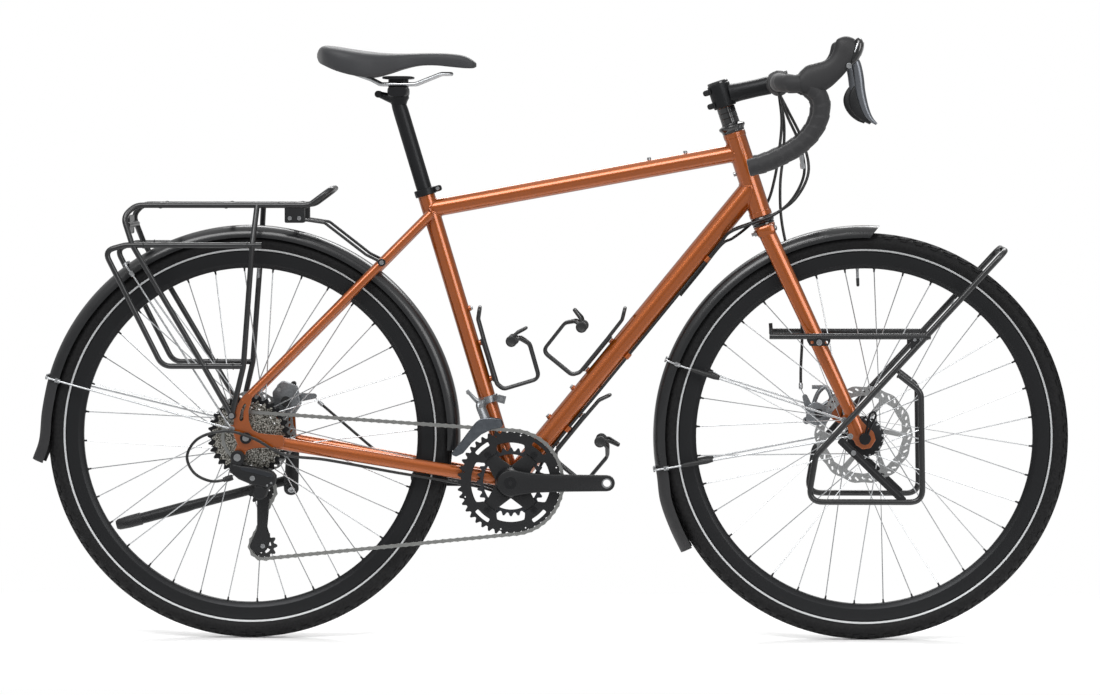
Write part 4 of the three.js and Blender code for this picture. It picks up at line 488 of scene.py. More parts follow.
# Metallic enamel under clear lacquer: fine flakes glitter, and the coat gives sharp lines of light.
def makeCopperEnamel():
    look = {"low": 0x93450B, "high": 0xAA550F, "flakeMillimetres": 0.6}
    material, tree, shader, coordinates = newMaterial(
        "metallic_copper_enamel", look["high"], Metallic=0.62, Roughness=0.3, Coat_Weight=1.0, Coat_Roughness=0.05,
    )
    given = {"Vector": coordinates, "Scale": 1 / (look["flakeMillimetres"] * mm)}
    noise = addNode(tree, "ShaderNodeTexNoise", {**given, "Detail": 1.0})
    mottle(tree, shader, noise.outputs["Fac"], look["low"], look["high"])
    flakes = addNode(tree, "ShaderNodeTexVoronoi", given)
    bumpFrom(tree, shader, flakes.outputs["Distance"], 0.08, 0.0001)
    return material


# Aluminium blasted and anodised black: an even satin skin with a faint grain.
def makeAnodised(name="black_anodised_aluminium", colour=0x1B1C1E, rough=0.38, metallic=0.55):
    return makeSurface(name, colour, 1 / (0.5 * mm), (rough - 0.06, rough + 0.08), (0.05, 0.0001),
                       Metallic=metallic, Roughness=rough)


# Bright drawn or rolled steel, brushed by its making.
def makeBrightSteel(name, colour, rough, scale=2200.0):
    return makeSurface(name, colour, scale, (rough - 0.08, rough + 0.1), (0.1, 0.0001), (colour - 0x101010, colour),
                       detail=4.0, Metallic=1.0, Roughness=rough)


# Sprocket steel, bumped in specks of 1 to 3 mm for its ramps and pin heads, with painted glints and painted shade:
# the specks' colour runs from bright to dark.
def makeSprocketSteel():
    look = {"dark": 0x55534D, "bright": 0xD2D0C8, "perMetre": 420.0}
    material, tree, shader, coordinates = newMaterial(
        "sprocket_steel_painted_glint_and_shade", look["bright"], Metallic=1.0, Roughness=0.34,
    )
    cells = addNode(tree, "ShaderNodeTexVoronoi", {"Vector": coordinates, "Scale": look["perMetre"]})
    # Painted glints and painted shade: each speck's colour goes from bright steel to dark.
    mottle(tree, shader, cells.outputs["Distance"], look["bright"], look["dark"], 0.28, 0.62)
    bumpFrom(tree, shader, cells.outputs["Distance"], 0.5, 0.0006)
    return material


# Rotor steel, ground in circles: fine rings about each axle.
def makeRotorSteel(name, axle):
    material, tree, shader, coordinates = newMaterial(name, 0xB4B5B5, Metallic=1.0, Roughness=0.32)
    centred = addNode(tree, "ShaderNodeMapping", {
        "Vector": coordinates, "Location": (-axle.x * mm, 0, -axle.z * mm),
    })
    rings = addNode(tree, "ShaderNodeTexWave", {
        "Vector": centred.outputs["Vector"], "Scale": 400.0, "Distortion": 1.5, "Detail": 2.0,
    }, wave_type="RINGS", rings_direction="Y")
    roughen(tree, shader, rings.outputs["Fac"], 0.24, 0.42)
    bumpFrom(tree, shader, rings.outputs["Fac"], 0.12, 0.0001)
    return material


# Cork-and-foam tape, wound on: matt, pricked with fine holes.
def makeBarTape():
    material, tree, shader, coordinates = newMaterial(
        "wound_foam_tape", 0x202022, Roughness=0.74, Sheen_Weight=0.15,
    )
    pricks = addNode(tree, "ShaderNodeTexVoronoi", {
        "Vector": coordinates, "Scale": 1 / (2.4 * mm), "Randomness": 0.25,
    })
    dots = addNode(tree, "ShaderNodeMapRange", {
        "Value": pricks.outputs["Distance"], "From Min": 0.1, "From Max": 0.3,
    })
    roughen(tree, shader, dots.outputs["Result"], 0.85, 0.68)
    bumpFrom(tree, shader, dots.outputs["Result"], 0.35, 0.0003)
    return material


copper = makeCopperEnamel()
anodised = makeAnodised()
satinBlack = makeAnodised("satin_black_alloy", 0x161719, 0.46, 0.3)
graphite = makeAnodised("graphite_alloy", 0x3A3C40, 0.3, 0.75)
leverAlloy = makeAnodised("lever_alloy", 0x6A6D72, 0.28, 0.8)
# Powder coat on steel or aluminium rod: orange-peel skin, semi-gloss.
powderCoat = makeSurface("black_powder_coat", 0x141517, 1 / (1.6 * mm), (0.28, 0.44), (0.16, 0.0003),
                         Roughness=0.36, Coat_Weight=0.3)
# Gloss black lacquer on alloy, as on a headset's cups and spacers: sharp light, a little uneven.
glossBlack = makeSurface("gloss_black_lacquer", 0x0F1012, 180.0, (0.12, 0.22), Roughness=0.16, Coat_Weight=0.8)
stainless = makeBrightSteel("stainless_steel_wire", 0xC2C4C6, 0.26)
boltSteel = makeBrightSteel("zinc_plated_bolt", 0xA9ABAD, 0.3)
chainSteel = makeBrightSteel("nickel_plated_chain", 0x9FA09E, 0.34)
sprocketSteel = makeSprocketSteel()
cageSteel = makeBrightSteel("polished_cage_steel", 0x6F747A, 0.16, 120.0)
polished = makeBrightSteel("polished_aluminium", 0xD0D2D4, 0.16, 300.0)
castAlloy = makeBrightSteel("cast_aluminium", 0x8E9194, 0.34, 500.0)
rotorFront = makeRotorSteel("ground_rotor_steel_front", frontAxle)
rotorRear = makeRotorSteel("ground_rotor_steel_rear", rearAxle)
# Tyre rubber: matt, with a faint grain of the mould and dust in the tone.
tyreRubber = makeSurface("tyre_rubber", 0x121213, 260.0, (0.52, 0.72), (0.15, 0.0002), (0x0E0E0F, 0x1A1A1B),
                         detail=4.0, Roughness=0.66, Specular_IOR_Level=0.18)
# Soft moulded rubber for hoods, feet and flaps: a leathery grain.
mouldedRubber = makeSurface("moulded_black_rubber", 0x1C1C1E, 1 / (1.4 * mm), (0.5, 0.66), (0.2, 0.0003),
                            cells="SMOOTH_F1", Roughness=0.58)
barTape = makeBarTape()
# Polyurethane saddle cover: very fine grain, soft satin light.
saddleCover = makeSurface("saddle_microfibre_cover", 0x27282B, 1 / (1.1 * mm), (0.46, 0.62), (0.22, 0.0002),
                          cells="F1", Roughness=0.55, Sheen_Weight=0.2)
# Rolled polycarbonate mudguards: thin, semi-gloss, very slightly wavy.
guardPlastic = makeSurface("rolled_black_polycarbonate", 0x17181A, 45.0, (0.22, 0.36), (0.06, 0.001),
                           Roughness=0.27, Coat_Weight=0.25)
# Glass-filled nylon for pulleys, bodies and knobs: matt with a fine sparkle.
nylon = makeSurface("glass_filled_nylon", 0x18191A, 1500.0, (0.42, 0.6), (0.12, 0.0001), Roughness=0.5)
# Slick cable housing: extruded plastic over wire.
housing = makeSurface("extruded_cable_housing", 0x131415, 900.0, (0.28, 0.4), Roughness=0.33)
# Reflective sidewall tape: glass beads in grey resin.
reflective = makeSurface("reflective_bead_tape", 0xC9CBCC, 1800.0, (0.38, 0.55), None, (0xB4B6B8, 0xD2D4D5),
                         detail=3.0, Roughness=0.45, Metallic=0.25)
print("materials made")


# Geometry Nodes: copies round an axle, and links along a path


def newTree(name, sockets):
    tree = bpy.data.node_groups.new(name, "GeometryNodeTree")
    tree.is_modifier = True
    tree.interface.new_socket("Geometry", in_out="INPUT", socket_type="NodeSocketGeometry")
    for label, kind in sockets:
        tree.interface.new_socket(label, in_out="INPUT", socket_type=kind)
    tree.interface.new_socket("Geometry", in_out="OUTPUT", socket_type="NodeSocketGeometry")
    return tree


# The end of each tree: real copies with one material, handed on.
def finishTree(tree, geometry, material):
    real = addNode(tree, "GeometryNodeRealizeInstances", {"Geometry": geometry})
    painted = addNode(tree, "GeometryNodeSetMaterial", {"Geometry": real.outputs["Geometry"], "Material": material})
    addNode(tree, "NodeGroupOutput", {"Geometry": painted.outputs["Geometry"]})
    return tree


def makeRingTree():
    tree = newTree("copies_round_an_axle", [
        ("Count", "NodeSocketInt"), ("Axle", "NodeSocketVector"), ("Material", "NodeSocketMaterial"),
    ])
    given = addNode(tree, "NodeGroupInput").outputs
    away = addNode(tree, "ShaderNodeVectorMath", {0: given["Axle"], "Scale": -1.0}, operation="SCALE")
    centred = addNode(tree, "GeometryNodeTransform", {
        "Geometry": given["Geometry"], "Translation": away.outputs["Vector"],
    })
    spots = addNode(tree, "GeometryNodePoints", {"Count": given["Count"], "Position": given["Axle"]})
    index = addNode(tree, "GeometryNodeInputIndex").outputs["Index"]
    share = addNode(tree, "ShaderNodeMath", {0: index, 1: given["Count"]}, operation="DIVIDE")
    turn = addNode(tree, "ShaderNodeMath", {0: share.outputs[0], 1: 2 * math.pi}, operation="MULTIPLY")
    angles = addNode(tree, "ShaderNodeCombineXYZ", {"Y": turn.outputs[0]})
    rotation = addNode(tree, "FunctionNodeEulerToRotation", {0: angles.outputs["Vector"]})
    copies = addNode(tree, "GeometryNodeInstanceOnPoints", {
        "Points": spots.outputs[0], "Instance": centred.outputs["Geometry"], "Rotation": rotation.outputs[0],
    })
    return finishTree(tree, copies.outputs["Instances"], given["Material"])


def makeLinkTree():
    tree = newTree("links_along_a_path", [
        ("Path", "NodeSocketObject"), ("Other Link", "NodeSocketObject"), ("Count", "NodeSocketInt"),
        ("Material", "NodeSocketMaterial"),
    ])
    given = addNode(tree, "NodeGroupInput").outputs
    path = addNode(tree, "GeometryNodeObjectInfo", {"Object": given["Path"]})
    other = addNode(tree, "GeometryNodeObjectInfo", {"Object": given["Other Link"]})
    spread = addNode(tree, "GeometryNodeCurveToPoints", {
        "Curve": path.outputs["Geometry"], "Count": given["Count"],
    }, mode="COUNT")
    tangent = spread.outputs["Tangent"]
    facing = addNode(tree, "FunctionNodeAlignRotationToVector", {"Vector": tangent}, axis="X", pivot_axis="Y")
    index = addNode(tree, "GeometryNodeInputIndex").outputs["Index"]
    odd = addNode(tree, "ShaderNodeMath", {0: index, 1: 2.0}, operation="MODULO").outputs[0]
    even = addNode(tree, "ShaderNodeMath", {0: 1.0, 1: odd}, operation="SUBTRACT").outputs[0]
    joined = addNode(tree, "GeometryNodeJoinGeometry")
    for chosen, link in ((even, given["Geometry"]), (odd, other.outputs["Geometry"])):
        copies = addNode(tree, "GeometryNodeInstanceOnPoints", {
            "Points": spread.outputs["Points"], "Selection": chosen, "Instance": link,
            "Rotation": facing.outputs[0],
        })
        tree.links.new(copies.outputs["Instances"], joined.inputs[0])
    return finishTree(tree, joined.outputs["Geometry"], given["Material"])


ringTree = makeRingTree()
linkTree = makeLinkTree()


# Runs a tree on an object and leaves a plain mesh, with no modifier.
def applyTree(piece, tree, values, angle=35):
    modifier = piece.modifiers.new("copies", "NODES")
    modifier.node_group = tree
    for item in tree.interface.items_tree:
        if item.in_out == "INPUT" and item.name in values:
            modifier[item.identifier] = values[item.name]
    bpy.context.view_layer.update()
    mesh = bpy.data.meshes.new_from_object(piece.evaluated_get(bpy.context.evaluated_depsgraph_get()))
    piece.modifiers.remove(modifier)
    piece.data = mesh
    smoothMesh(mesh, angle)
    return piece


# A piece made of equal copies round an axle.
def makeRing(name, shape, count, axle, material, body, replaced=(), angle=35):
    piece = looseObject(name, shape, angle)
    centre = tuple(value * mm for value in axle)
    applyTree(piece, ringTree, {"Count": count, "Axle": centre, "Material": material}, angle)
    return settle(piece, body, replaced)


# Camera and light


def makeCamera():
    look = {"place": (0.35, -8.0, 0.9), "target": (0.0975, 0.0, 0.5008), "lens": 152.8, "shift": -0.05}
    data = bpy.data.cameras.new("camera")
    data.lens = look["lens"]
    data.sensor_width = 36
    data.shift_x = look["shift"]
    camera = bpy.data.objects.new("camera", data)
    camera.location = look["place"]
    heading = Vector(look["target"]) - camera.location
    camera.rotation_euler = heading.to_track_quat("-Z", "Y").to_euler()
    bpy.context.scene.collection.objects.link(camera)
    bpy.context.scene.camera = camera


def makeLight(name, place, target, size, power):
    data = bpy.data.lights.new(name, "AREA")
    data.shape = "RECTANGLE"
    data.size, data.size_y = size
    data.energy = power
    light = bpy.data.objects.new(name, data)
    light.location = place
    light.rotation_euler = (Vector(target) - Vector(place)).to_track_quat("-Z", "Y").to_euler()
    bpy.context.scene.collection.objects.link(light)


# White to the camera. Light comes mostly from above and below, so tubes show a dark line between.
def makeWorld():
    look = {"level": 0.3, "steep": 1.0}
    world = bpy.data.worlds.new("studio")
    world.use_nodes = True
    bpy.context.scene.world = world
    tree = world.node_tree
    tree.nodes.clear()
    rays = addNode(tree, "ShaderNodeLightPath")
    heading = addNode(tree, "ShaderNodeSeparateXYZ", {
        "Vector": addNode(tree, "ShaderNodeTexCoord").outputs["Generated"],
    })
    slope = addNode(tree, "ShaderNodeMath", {0: heading.outputs["Z"]}, operation="ABSOLUTE").outputs[0]
    steep = addNode(tree, "ShaderNodeMapRange", {
        "Value": slope, "To Min": look["level"], "To Max": look["steep"],
    }, interpolation_type="SMOOTHSTEP")
    fill = addNode(tree, "ShaderNodeBackground", {"Color": (1, 1, 1, 1), "Strength": steep.outputs["Result"]})
    seen = addNode(tree, "ShaderNodeBackground", {"Color": (1, 1, 1, 1), "Strength": 1.0})
    mix = addNode(tree, "ShaderNodeMixShader", {"Fac": rays.outputs["Is Camera Ray"]})
    tree.links.new(fill.outputs[0], mix.inputs[1])
    tree.links.new(seen.outputs[0], mix.inputs[2])
    output = addNode(tree, "ShaderNodeOutputWorld")
    tree.links.new(mix.outputs[0], output.inputs["Surface"])


# A floor that takes a soft shadow close to the wheels and fades to plain white further off.
def makeFloor():
    look = {"half": 40.0, "clear": 0.25, "faded": 0.75}
    half = look["half"]
    corners = [(-half, -half, -0.0005), (half, -half, -0.0005), (half, half, -0.0005), (-half, half, -0.0005)]
    mesh = bpy.data.meshes.new("floor")
    mesh.from_pydata(corners, [], [(0, 1, 2, 3)])
    material = bpy.data.materials.new("white_sweep")
    material.use_nodes = True
    tree = material.node_tree
    tree.nodes.clear()
    coordinates = addNode(tree, "ShaderNodeTexCoord").outputs["Object"]
    place = addNode(tree, "ShaderNodeSeparateXYZ", {"Vector": coordinates})
    across = addNode(tree, "ShaderNodeMath", {0: place.outputs["Y"]}, operation="ABSOLUTE").outputs[0]
    fade = addNode(tree, "ShaderNodeMapRange", {
        "Value": across, "From Min": look["clear"], "From Max": look["faded"],
    }, interpolation_type="SMOOTHSTEP")
    cloth = addNode(tree, "ShaderNodeBsdfDiffuse", {"Color": (1, 1, 1, 1)})
    glow = addNode(tree, "ShaderNodeEmission", {"Color": (1, 1, 1, 1)})
    rays = addNode(tree, "ShaderNodeLightPath")
    level = addNode(tree, "ShaderNodeMapRange", {
        "Value": rays.outputs["Is Camera Ray"], "To Min": 0.6, "To Max": 1.0,
    })
    tree.links.new(level.outputs["Result"], glow.inputs["Strength"])
    mix = addNode(tree, "ShaderNodeMixShader", {"Fac": fade.outputs["Result"]})
    tree.links.new(cloth.outputs[0], mix.inputs[1])
    tree.links.new(glow.outputs[0], mix.inputs[2])
    output = addNode(tree, "ShaderNodeOutputMaterial")
    tree.links.new(mix.outputs[0], output.inputs["Surface"])
    mesh.materials.append(material)
    floor = bpy.data.objects.new("floor", mesh)
    bpy.context.scene.collection.objects.link(floor)


bpy.context.scene.view_settings.view_transform = "Standard"
makeCamera()
makeWorld()
makeFloor()
makeLight("key", (-1.6, -4.2, 4.6), (0, 0, 0.5), (3.6, 2.6), 190)
makeLight("fill", (3.4, -4.4, 2.2), (0, 0, 0.5), (3.0, 2.4), 90)
makeLight("rim", (0.6, 3.6, 3.8), (0, 0, 0.6), (4.0, 1.6), 130)
print("camera, floor and lights set")


# Cables: the routes chosen in part.mjs, in metres, drawn as smooth housings

downTubeRadius = 19
cableRadius = 2.5
cableSeat = 1.2
downTubeFront = headBottom + steerUp * 52
downTubeUp = (downTubeFront - bracket).normalized()
downTubeUnder = Vector((downTubeUp.z, 0, -downTubeUp.x))


def underTube(share, y):
    drop = math.sqrt((downTubeRadius + cableRadius + cableSeat) ** 2 - y**2)
    return tuple(beside(bracket.lerp(downTubeFront, share) + downTubeUnder * drop, y) * mm)


rearBrakeRoute = [
    (0.395, 0.06, 0.9376), (0.412, 0.058, 0.905), (0.438, 0.045, 0.85), (0.446, 0.034, 0.8),
    (0.424, 0.03, 0.756), (0.392, 0.028, 0.732), (0.352, 0.027, 0.716), (0.312, 0.02, 0.7),
    underTube(0.84, 13), underTube(0.6, 13), underTube(0.35, 13), underTube(0.12, 13),
    (-0.05, 0.013, 0.245), (-0.085, 0.017, 0.253), (-0.112, 0.023, 0.262), (-0.16, 0.028, 0.271),
    (-0.23, 0.038, 0.284), (-0.28, 0.052, 0.303), (-0.308, 0.055, 0.324), (-0.35, 0.054, 0.36),
    (-0.4, 0.053, 0.403),
]
rearShiftRoute = [
    (0.395, -0.06, 0.9376), (0.408, -0.058, 0.9), (0.43, -0.046, 0.85), (0.438, -0.034, 0.8),
    (0.418, -0.03, 0.756), (0.388, -0.028, 0.73), (0.35, -0.027, 0.715), (0.31, -0.02, 0.698),
    underTube(0.84, -13), underTube(0.6, -13), underTube(0.35, -13), underTube(0.12, -13),
    (-0.05, -0.013, 0.245), (-0.085, -0.017, 0.252), (-0.112, -0.024, 0.261), (-0.18, -0.031, 0.274),
    (-0.26, -0.04, 0.288), (-0.38, -0.058, 0.311), (-0.448, -0.084, 0.322), (-0.5, -0.092, 0.35),
    (-0.545, -0.094, 0.362), (-0.594, -0.094, 0.348), (-0.612, -0.092, 0.318), (-0.6, -0.09, 0.29),
    (-0.572, -0.087, 0.276), (-0.546, -0.085, 0.278),
]
frontShiftRoute = [
    (0.395, 0.036, 0.9376), (0.4, 0.034, 0.89), (0.396, 0.03, 0.84), (0.388, 0.027, 0.79),
    (0.376, 0.027, 0.75), (0.352, 0.034, 0.717), (0.316, 0.016, 0.688),
    underTube(0.84, 3), underTube(0.74, 3), underTube(0.66, 3),
]
frontBrakeRoute = [
    (0.395, 0.084, 0.9384), (0.404, 0.086, 0.89), (0.404, 0.084, 0.84), (0.398, 0.076, 0.78),
    (0.4, 0.07, 0.72), (0.412, 0.066, 0.66), (0.43, 0.066, 0.59), (0.436, 0.064, 0.52),
    (0.434, 0.06, 0.46), (0.434, 0.054, 0.428),
]


# A housing drawn as a smooth tube along its route. One that crosses the steering's joint, between the bars and the
# frame, is attached to no body.
def makeCable(node, route, body):
    path = smoothPath([Vector(place) / mm for place in route], 8)
    shape = newShape()
    addSweep(shape, path, cableRadius, 16)
    piece = makePiece(node + "_housing", shape, housing, body, "black_rubber", (node,))
    if body is None:
        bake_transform(piece)


# The bright ferrule on a housing's end, and the bare wire from it to the brake arm's tip.
def makeCableEnd(name, body, end, run, tip):
    shape = newShape()
    addTurned(shape, [(0, -9), (3.3, -9), (3.5, -8.4), (3.5, 0), (2.2, 1.6), (0.9, 1.8), (0, 1.8)], end, run, 24)
    addBar(shape, end, tip, 0.8, sides=10)
    makePiece(name, shape, boltSteel, body, "steel")


# The barrel that sets the gear cable, part of the way down the housing.
def makeInlineBarrel():
    low, high = at(436, -36.5, 808), at(433, -41.5, 833)
    profile = [
        (2.6, 0), (3.8, 0.4), (4.4, 1.6), (4.4, 9.4), (3.6, 10), (3.6, 15.4), (4.1, 16), (4.1, 24.6), (2.6, 25.4),
    ]
    piece = makeTurned("rear_shift_cable_barrel", profile, low, high - low, 28, boltSteel, None, "steel")
    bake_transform(piece)


makeCable("rear_brake_cable", rearBrakeRoute, None)
makeCable("rear_shift_cable", rearShiftRoute, None)
makeCable("front_shift_cable", frontShiftRoute, None)
makeCable("front_brake_cable", frontBrakeRoute, "steering")
makeCableEnd("rear_brake_cable_end", "frame", at(-400, 53, 403), at(-50, -1, 43), at(-408, 52.5, 413))
makeCableEnd("front_brake_cable_end", "steering", at(434, 54, 428), at(0, -6, -32), at(441, 52.5, 414))
makeInlineBarrel()
print("cables made")


# Main frame: welded tubes, each cut to fit its neighbour, with a bead where they meet

seatTubeRadius, topTubeRadius, headTubeRadius, shellRadius = 14.8, 15.25, 18.7, 21
seatTubeLength, headTubeLength = 523, 151
seatTop = bracket + seatUp * seatTubeLength
headTop = headBottom + steerUp * headTubeLength
topTubeRear = bracket + seatUp * 487
topTubeFront = headBottom + steerUp * 116
topTubeRun = (topTubeFront - topTubeRear).normalized()
seatLine, steerLine = (bracket, seatUp, seatTubeRadius), (headBottom, steerUp, headTubeRadius)


def steerAt(height):
    return headBottom + steerUp * height


def addHollowTube(shape, start, direction, length, outer, inner, segments=64, lip=0.8):
    profile = [
        (inner, 0.4), (inner + 0.4, 0), (outer - lip, 0), (outer, lip), (outer, length - lip),
        (outer - lip, length), (inner + 0.4, length), (inner, length - 0.4),
    ]
    addTurned(shape, profile, start, direction, segments)


def makeMainFrame():
    size = {"shellHalf": 34, "bead": 1.6, "bossRadius": 5, "bossHeight": 3}
    shape = newShape()
    shellLine = (bracket, leftward, shellRadius)
    addHollowTube(shape, bracket + seatUp * shellRadius * 0.8, seatUp, seatTubeLength - shellRadius * 0.8,
                  seatTubeRadius, 13.5)
    addHollowTube(shape, steerAt(0), steerUp, headTubeLength, headTubeRadius, 15.4)
    for place in (0, headTubeLength - 9):
        addHollowTube(shape, steerAt(place), steerUp, 9, headTubeRadius + 0.9, headTubeRadius - 1)
    addMitred(shape, topTubeRear, topTubeFront, topTubeRadius, seatLine, steerLine)
    addMitred(shape, bracket, downTubeFront, downTubeRadius, shellLine, steerLine)
    addHollowTube(shape, bracket - leftward * size["shellHalf"], leftward, 2 * size["shellHalf"],
                  shellRadius, 17, 64)
    for place, direction, radius, fit in (
        (topTubeRear.lerp(topTubeFront, 0.5), -topTubeRun, topTubeRadius, seatLine),
        (topTubeRear.lerp(topTubeFront, 0.5), topTubeRun, topTubeRadius, steerLine),
        (bracket.lerp(downTubeFront, 0.5), downTubeUp, downTubeRadius, steerLine),
        (bracket.lerp(downTubeFront, 0.5), -downTubeUp, downTubeRadius, shellLine),
        (bracket + seatUp * 200, -seatUp, seatTubeRadius, shellLine),
    ):
        addWeld(shape, place, direction, radius, fit, size["bead"])
    addBosses(shape, size)
    makePiece("main_frame_tubes", shape, copper, "frame", "copper_paint", ("main_frame",), 30)
    makeFrameFittings()


def addBoss(shape, place, direction, radius, height, sink=1.5):
    profile = [(0, -sink), (radius, -sink), (radius, height - 0.6), (radius - 0.6, height), (0, height)]
    addTurned(shape, profile, place, direction, 24)


# Each bottle cage: its tube's direction, the way it faces, its lower bolt's height, the tube's radius, spare bosses
cageSeats = [
    ("bottle_cage_seat_tube", seatUp, seatFront, 178.5, seatTubeRadius, (126,)),
    ("bottle_cage_down_tube", downTubeUp, -downTubeUnder, 230, downTubeRadius, (-104.5, -40)),
    ("bottle_cage_lower", downTubeUp, downTubeUnder, 98, downTubeRadius, ()),
]
cageSteps = (0, 64)


# Threaded bosses for the three bottle cages. The ones that no cage uses hold a screw.
def addBosses(shape, size):
    screws = newShape()
    for name, up, out, height, radius, spares in cageSeats:
        foot = bracket + up * height
        for step in sorted((*cageSteps, *spares)):
            face = foot + up * step + out * radius
            addBoss(shape, face, out, size["bossRadius"], size["bossHeight"])
            if step not in cageSteps:
                addBolt(screws, face + out * size["bossHeight"], out, 3.9, 2.8)
    makePiece("spare_boss_screws", screws, boltSteel, "frame", "steel", (), 30)


# Small bare fittings: two bosses on the top tube, a screw behind the head tube, and the cable guides.
def makeFrameFittings():
    size = {"bossRadius": 3.4, "bossHeight": 4.0, "rearScrew": 176, "frontScrew": 238}
    steel = newShape()
    topUp = Vector((-topTubeRun.z, 0, topTubeRun.x))
    for ahead in (size["rearScrew"], size["frontScrew"]):
        place = topTubeRear + topTubeRun * (ahead - topTubeRear.x) / topTubeRun.x + topUp * topTubeRadius
        addBoss(steel, place, topUp, size["bossRadius"], size["bossHeight"])
    headBack = headBottom + steerUp * 82.8 - steerFront * 18.5
    addBolt(steel, headBack, -steerFront, 3.8, 4.6)
    makePiece("top_tube_screws", steel, boltSteel, "frame", "steel", (), 30)
    guides = newShape()
    for share in (0.78, 0.45, 0.2):
        for y in (-13, 13):
            place = Vector(underTube(share, y)) / mm
            addTurned(guides, rectangle(2.9, 4.3, -5, 5), place, downTubeUp, 24)
            root = bracket.lerp(downTubeFront, share) + downTubeUnder * (downTubeRadius - 4) + leftward * y
            addBar(guides, root, place + downTubeUnder * -3.2, 2.2, sides=12)
    makePiece("down_tube_cable_guides", guides, copper, "frame", "copper_paint", (), 30)


makeMainFrame()


# Rear triangle

chainstayWidthShare = 0.65
dropoutInner, dropoutOuter, dropoutReach = 67.85, 73.85, 72
hangerPlace = placed(rearAxle, dropoutReach * -0.189, dropoutReach * -0.45)


def shared(size, shares):
    return [(size * x, size * z) for x, z in shares]


def addTaperedStay(shape, points, radii, sides, flat=1.0):
    path = smoothPath(points, 8)
    steps = len(path) - 1
    sizes = []
    for i in range(steps + 1):
        spot = i / steps * (len(radii) - 1)
        low = min(int(spot), len(radii) - 2)
        sizes.append(radii[low] + (radii[low + 1] - radii[low]) * (spot - low))
    addSweep(shape, path, sizes, sides, flat, roundEnds=0.4)


# Where a seatstay's middle line starts, high on the seat tube, and where it ends, above the dropout.
def seatstayEnds(hand):
    top = beside(bracket + seatUp * 479, hand * 18)
    low = beside(placed(rearAxle, -0.069 * dropoutReach, 0.861 * dropoutReach), hand * 67.5)
    return top, low


def makeRearFrame():
    size = {"stayFootY": 18, "stayEndY": 66, "endShare": 0.888, "bridge": 6, "mountLow": 50.35, "mountHigh": 56.35}
    # The dropout's face round the axle, in mm: a narrow band up to the seatstay and an arm forward.
    dropoutFace = [
        (-22.5, 9), (-22, 20), (-21, 28), (-21.5, 41), (-15, 56), (-8, 68), (0, 76), (11, 74), (8.4, 60), (4, 46),
        (5, 29), (10.5, 14), (22, 8), (40, 6), (64, 4), (64, -16), (32, -16.5), (12, -18), (0, -22), (-10, -21),
        (-16, -8),
    ]
    dropoutSlot = [(-3, 59), (-9, 47), (-11.5, 33), (-9.4, 27), (-5, 31), (-4.4, 45), (0.5, 57)]
    hangerFace = [(-15, -10), (-22, -28), (-5, -36), (4, -14)]
    mountShares = [(0.528, -0.083), (0.528, 0.972), (0.722, 1.111), (0.972, 0.917), (1.028, -0.139)]
    shape = newShape()
    for hand in (-1, 1):
        foot, end = beside(bracket, hand * size["stayFootY"]), beside(rearAxle, hand * size["stayEndY"])
        tip = foot.lerp(end, size["endShare"])
        start = foot.lerp(end, 0.045)
        path = [start, foot.lerp(end, 0.3), foot.lerp(end, 0.6), tip]
        addTaperedStay(shape, path, [11.5, 11.5, 11.3, 10.6], 32, chainstayWidthShare)
        top, low = seatstayEnds(hand)
        addTaperedStay(shape, [top, top.lerp(low, 0.4), top.lerp(low, 0.8), low], [8.3, 8.3, 7.6, 7.0], 28)
        plate = softOutline(dropoutFace, 4)
        low, high = sorted((hand * dropoutInner, hand * dropoutOuter))
        holes = [ringOutline(5.6, 32), softOutline(dropoutSlot, 2)]
        addPlate(shape, [plate] + holes, low, high, rearAxle, 0.6)
        for ahead, up in ((-23.7, 38.5), (-24.1, 15.5)):
            eye = placed(rearAxle, ahead, up, hand * (dropoutInner - 0.5))
            addTurned(shape, rectangle(2.7, 6.2, 0, 8), eye, leftward * hand, 28)
    top, low = seatstayEnds(1)
    seatBridge = top.lerp(low, 0.255)
    addStayWelds(shape, top, seatBridge)
    addBar(shape, beside(seatBridge, -27), beside(seatBridge, 27), size["bridge"], sides=20)
    chainBridge = beside(bracket, 18).lerp(beside(rearAxle, 66), 0.17)
    addBar(shape, beside(chainBridge, -23.4), beside(chainBridge, 23.4), size["bridge"], sides=20)
    addPlate(shape, [softOutline(hangerFace, 3)], 0.3 - dropoutOuter, -0.3 - dropoutInner, rearAxle, 0.6)
    addTurned(shape, [(4, 0), (8.4, 0), (9, 0.6), (9, 5.4), (8.4, 6), (4, 6)],
              beside(hangerPlace, -dropoutOuter), leftward, 32)
    addPlate(shape, [softOutline(shared(dropoutReach, mountShares), 5)], size["mountLow"],
             size["mountHigh"], rearAxle, 0.6)
    makePiece("rear_triangle", shape, copper, "frame", "copper_paint", ("rear_frame",), 30)


# The weld beads where both seatstays meet the seat tube.
def addStayWelds(shape, top, further):
    run = (further - top).normalized()
    for hand in (-1, 1):
        heading = Vector((run.x, run.y * hand, run.z))
        addWeld(shape, beside(top, hand * 18) + heading * 40, -heading, 8.3, seatLine, 1.2)


makeRearFrame()
print("frame made")


# Seat clamp, post, rails and saddle


def makeSeatClamp():
    size = {"height": 12, "outer": 18.55}
    shape = newShape()
    low = seatTop - seatUp * size["height"]
    addHollowTube(shape, low, seatUp, size["height"], size["outer"], 15.2, 56, 1.2)
    middle = low.lerp(seatTop, 0.5)
    lug = newShape()
    front = middle + seatFront * (size["outer"] + 4)
    for y in (-4.2, 4.2):
        centre = front + leftward * y
        rings = [softRing(centre + leftward * d, seatFront, seatUp, 6.5, 5.2, 20, 3.2) for d in (-2.6, 2.6)]
        addRings(shape, rings)
    makePiece("seat_clamp_band", shape, anodised, "frame", "black_alloy", ("seat_clamp",), 30)
    addBolt(lug, front - leftward * 7, -leftward, 3.4, 3.2)
    makePiece("seat_clamp_bolt", lug, boltSteel, "frame", "steel")


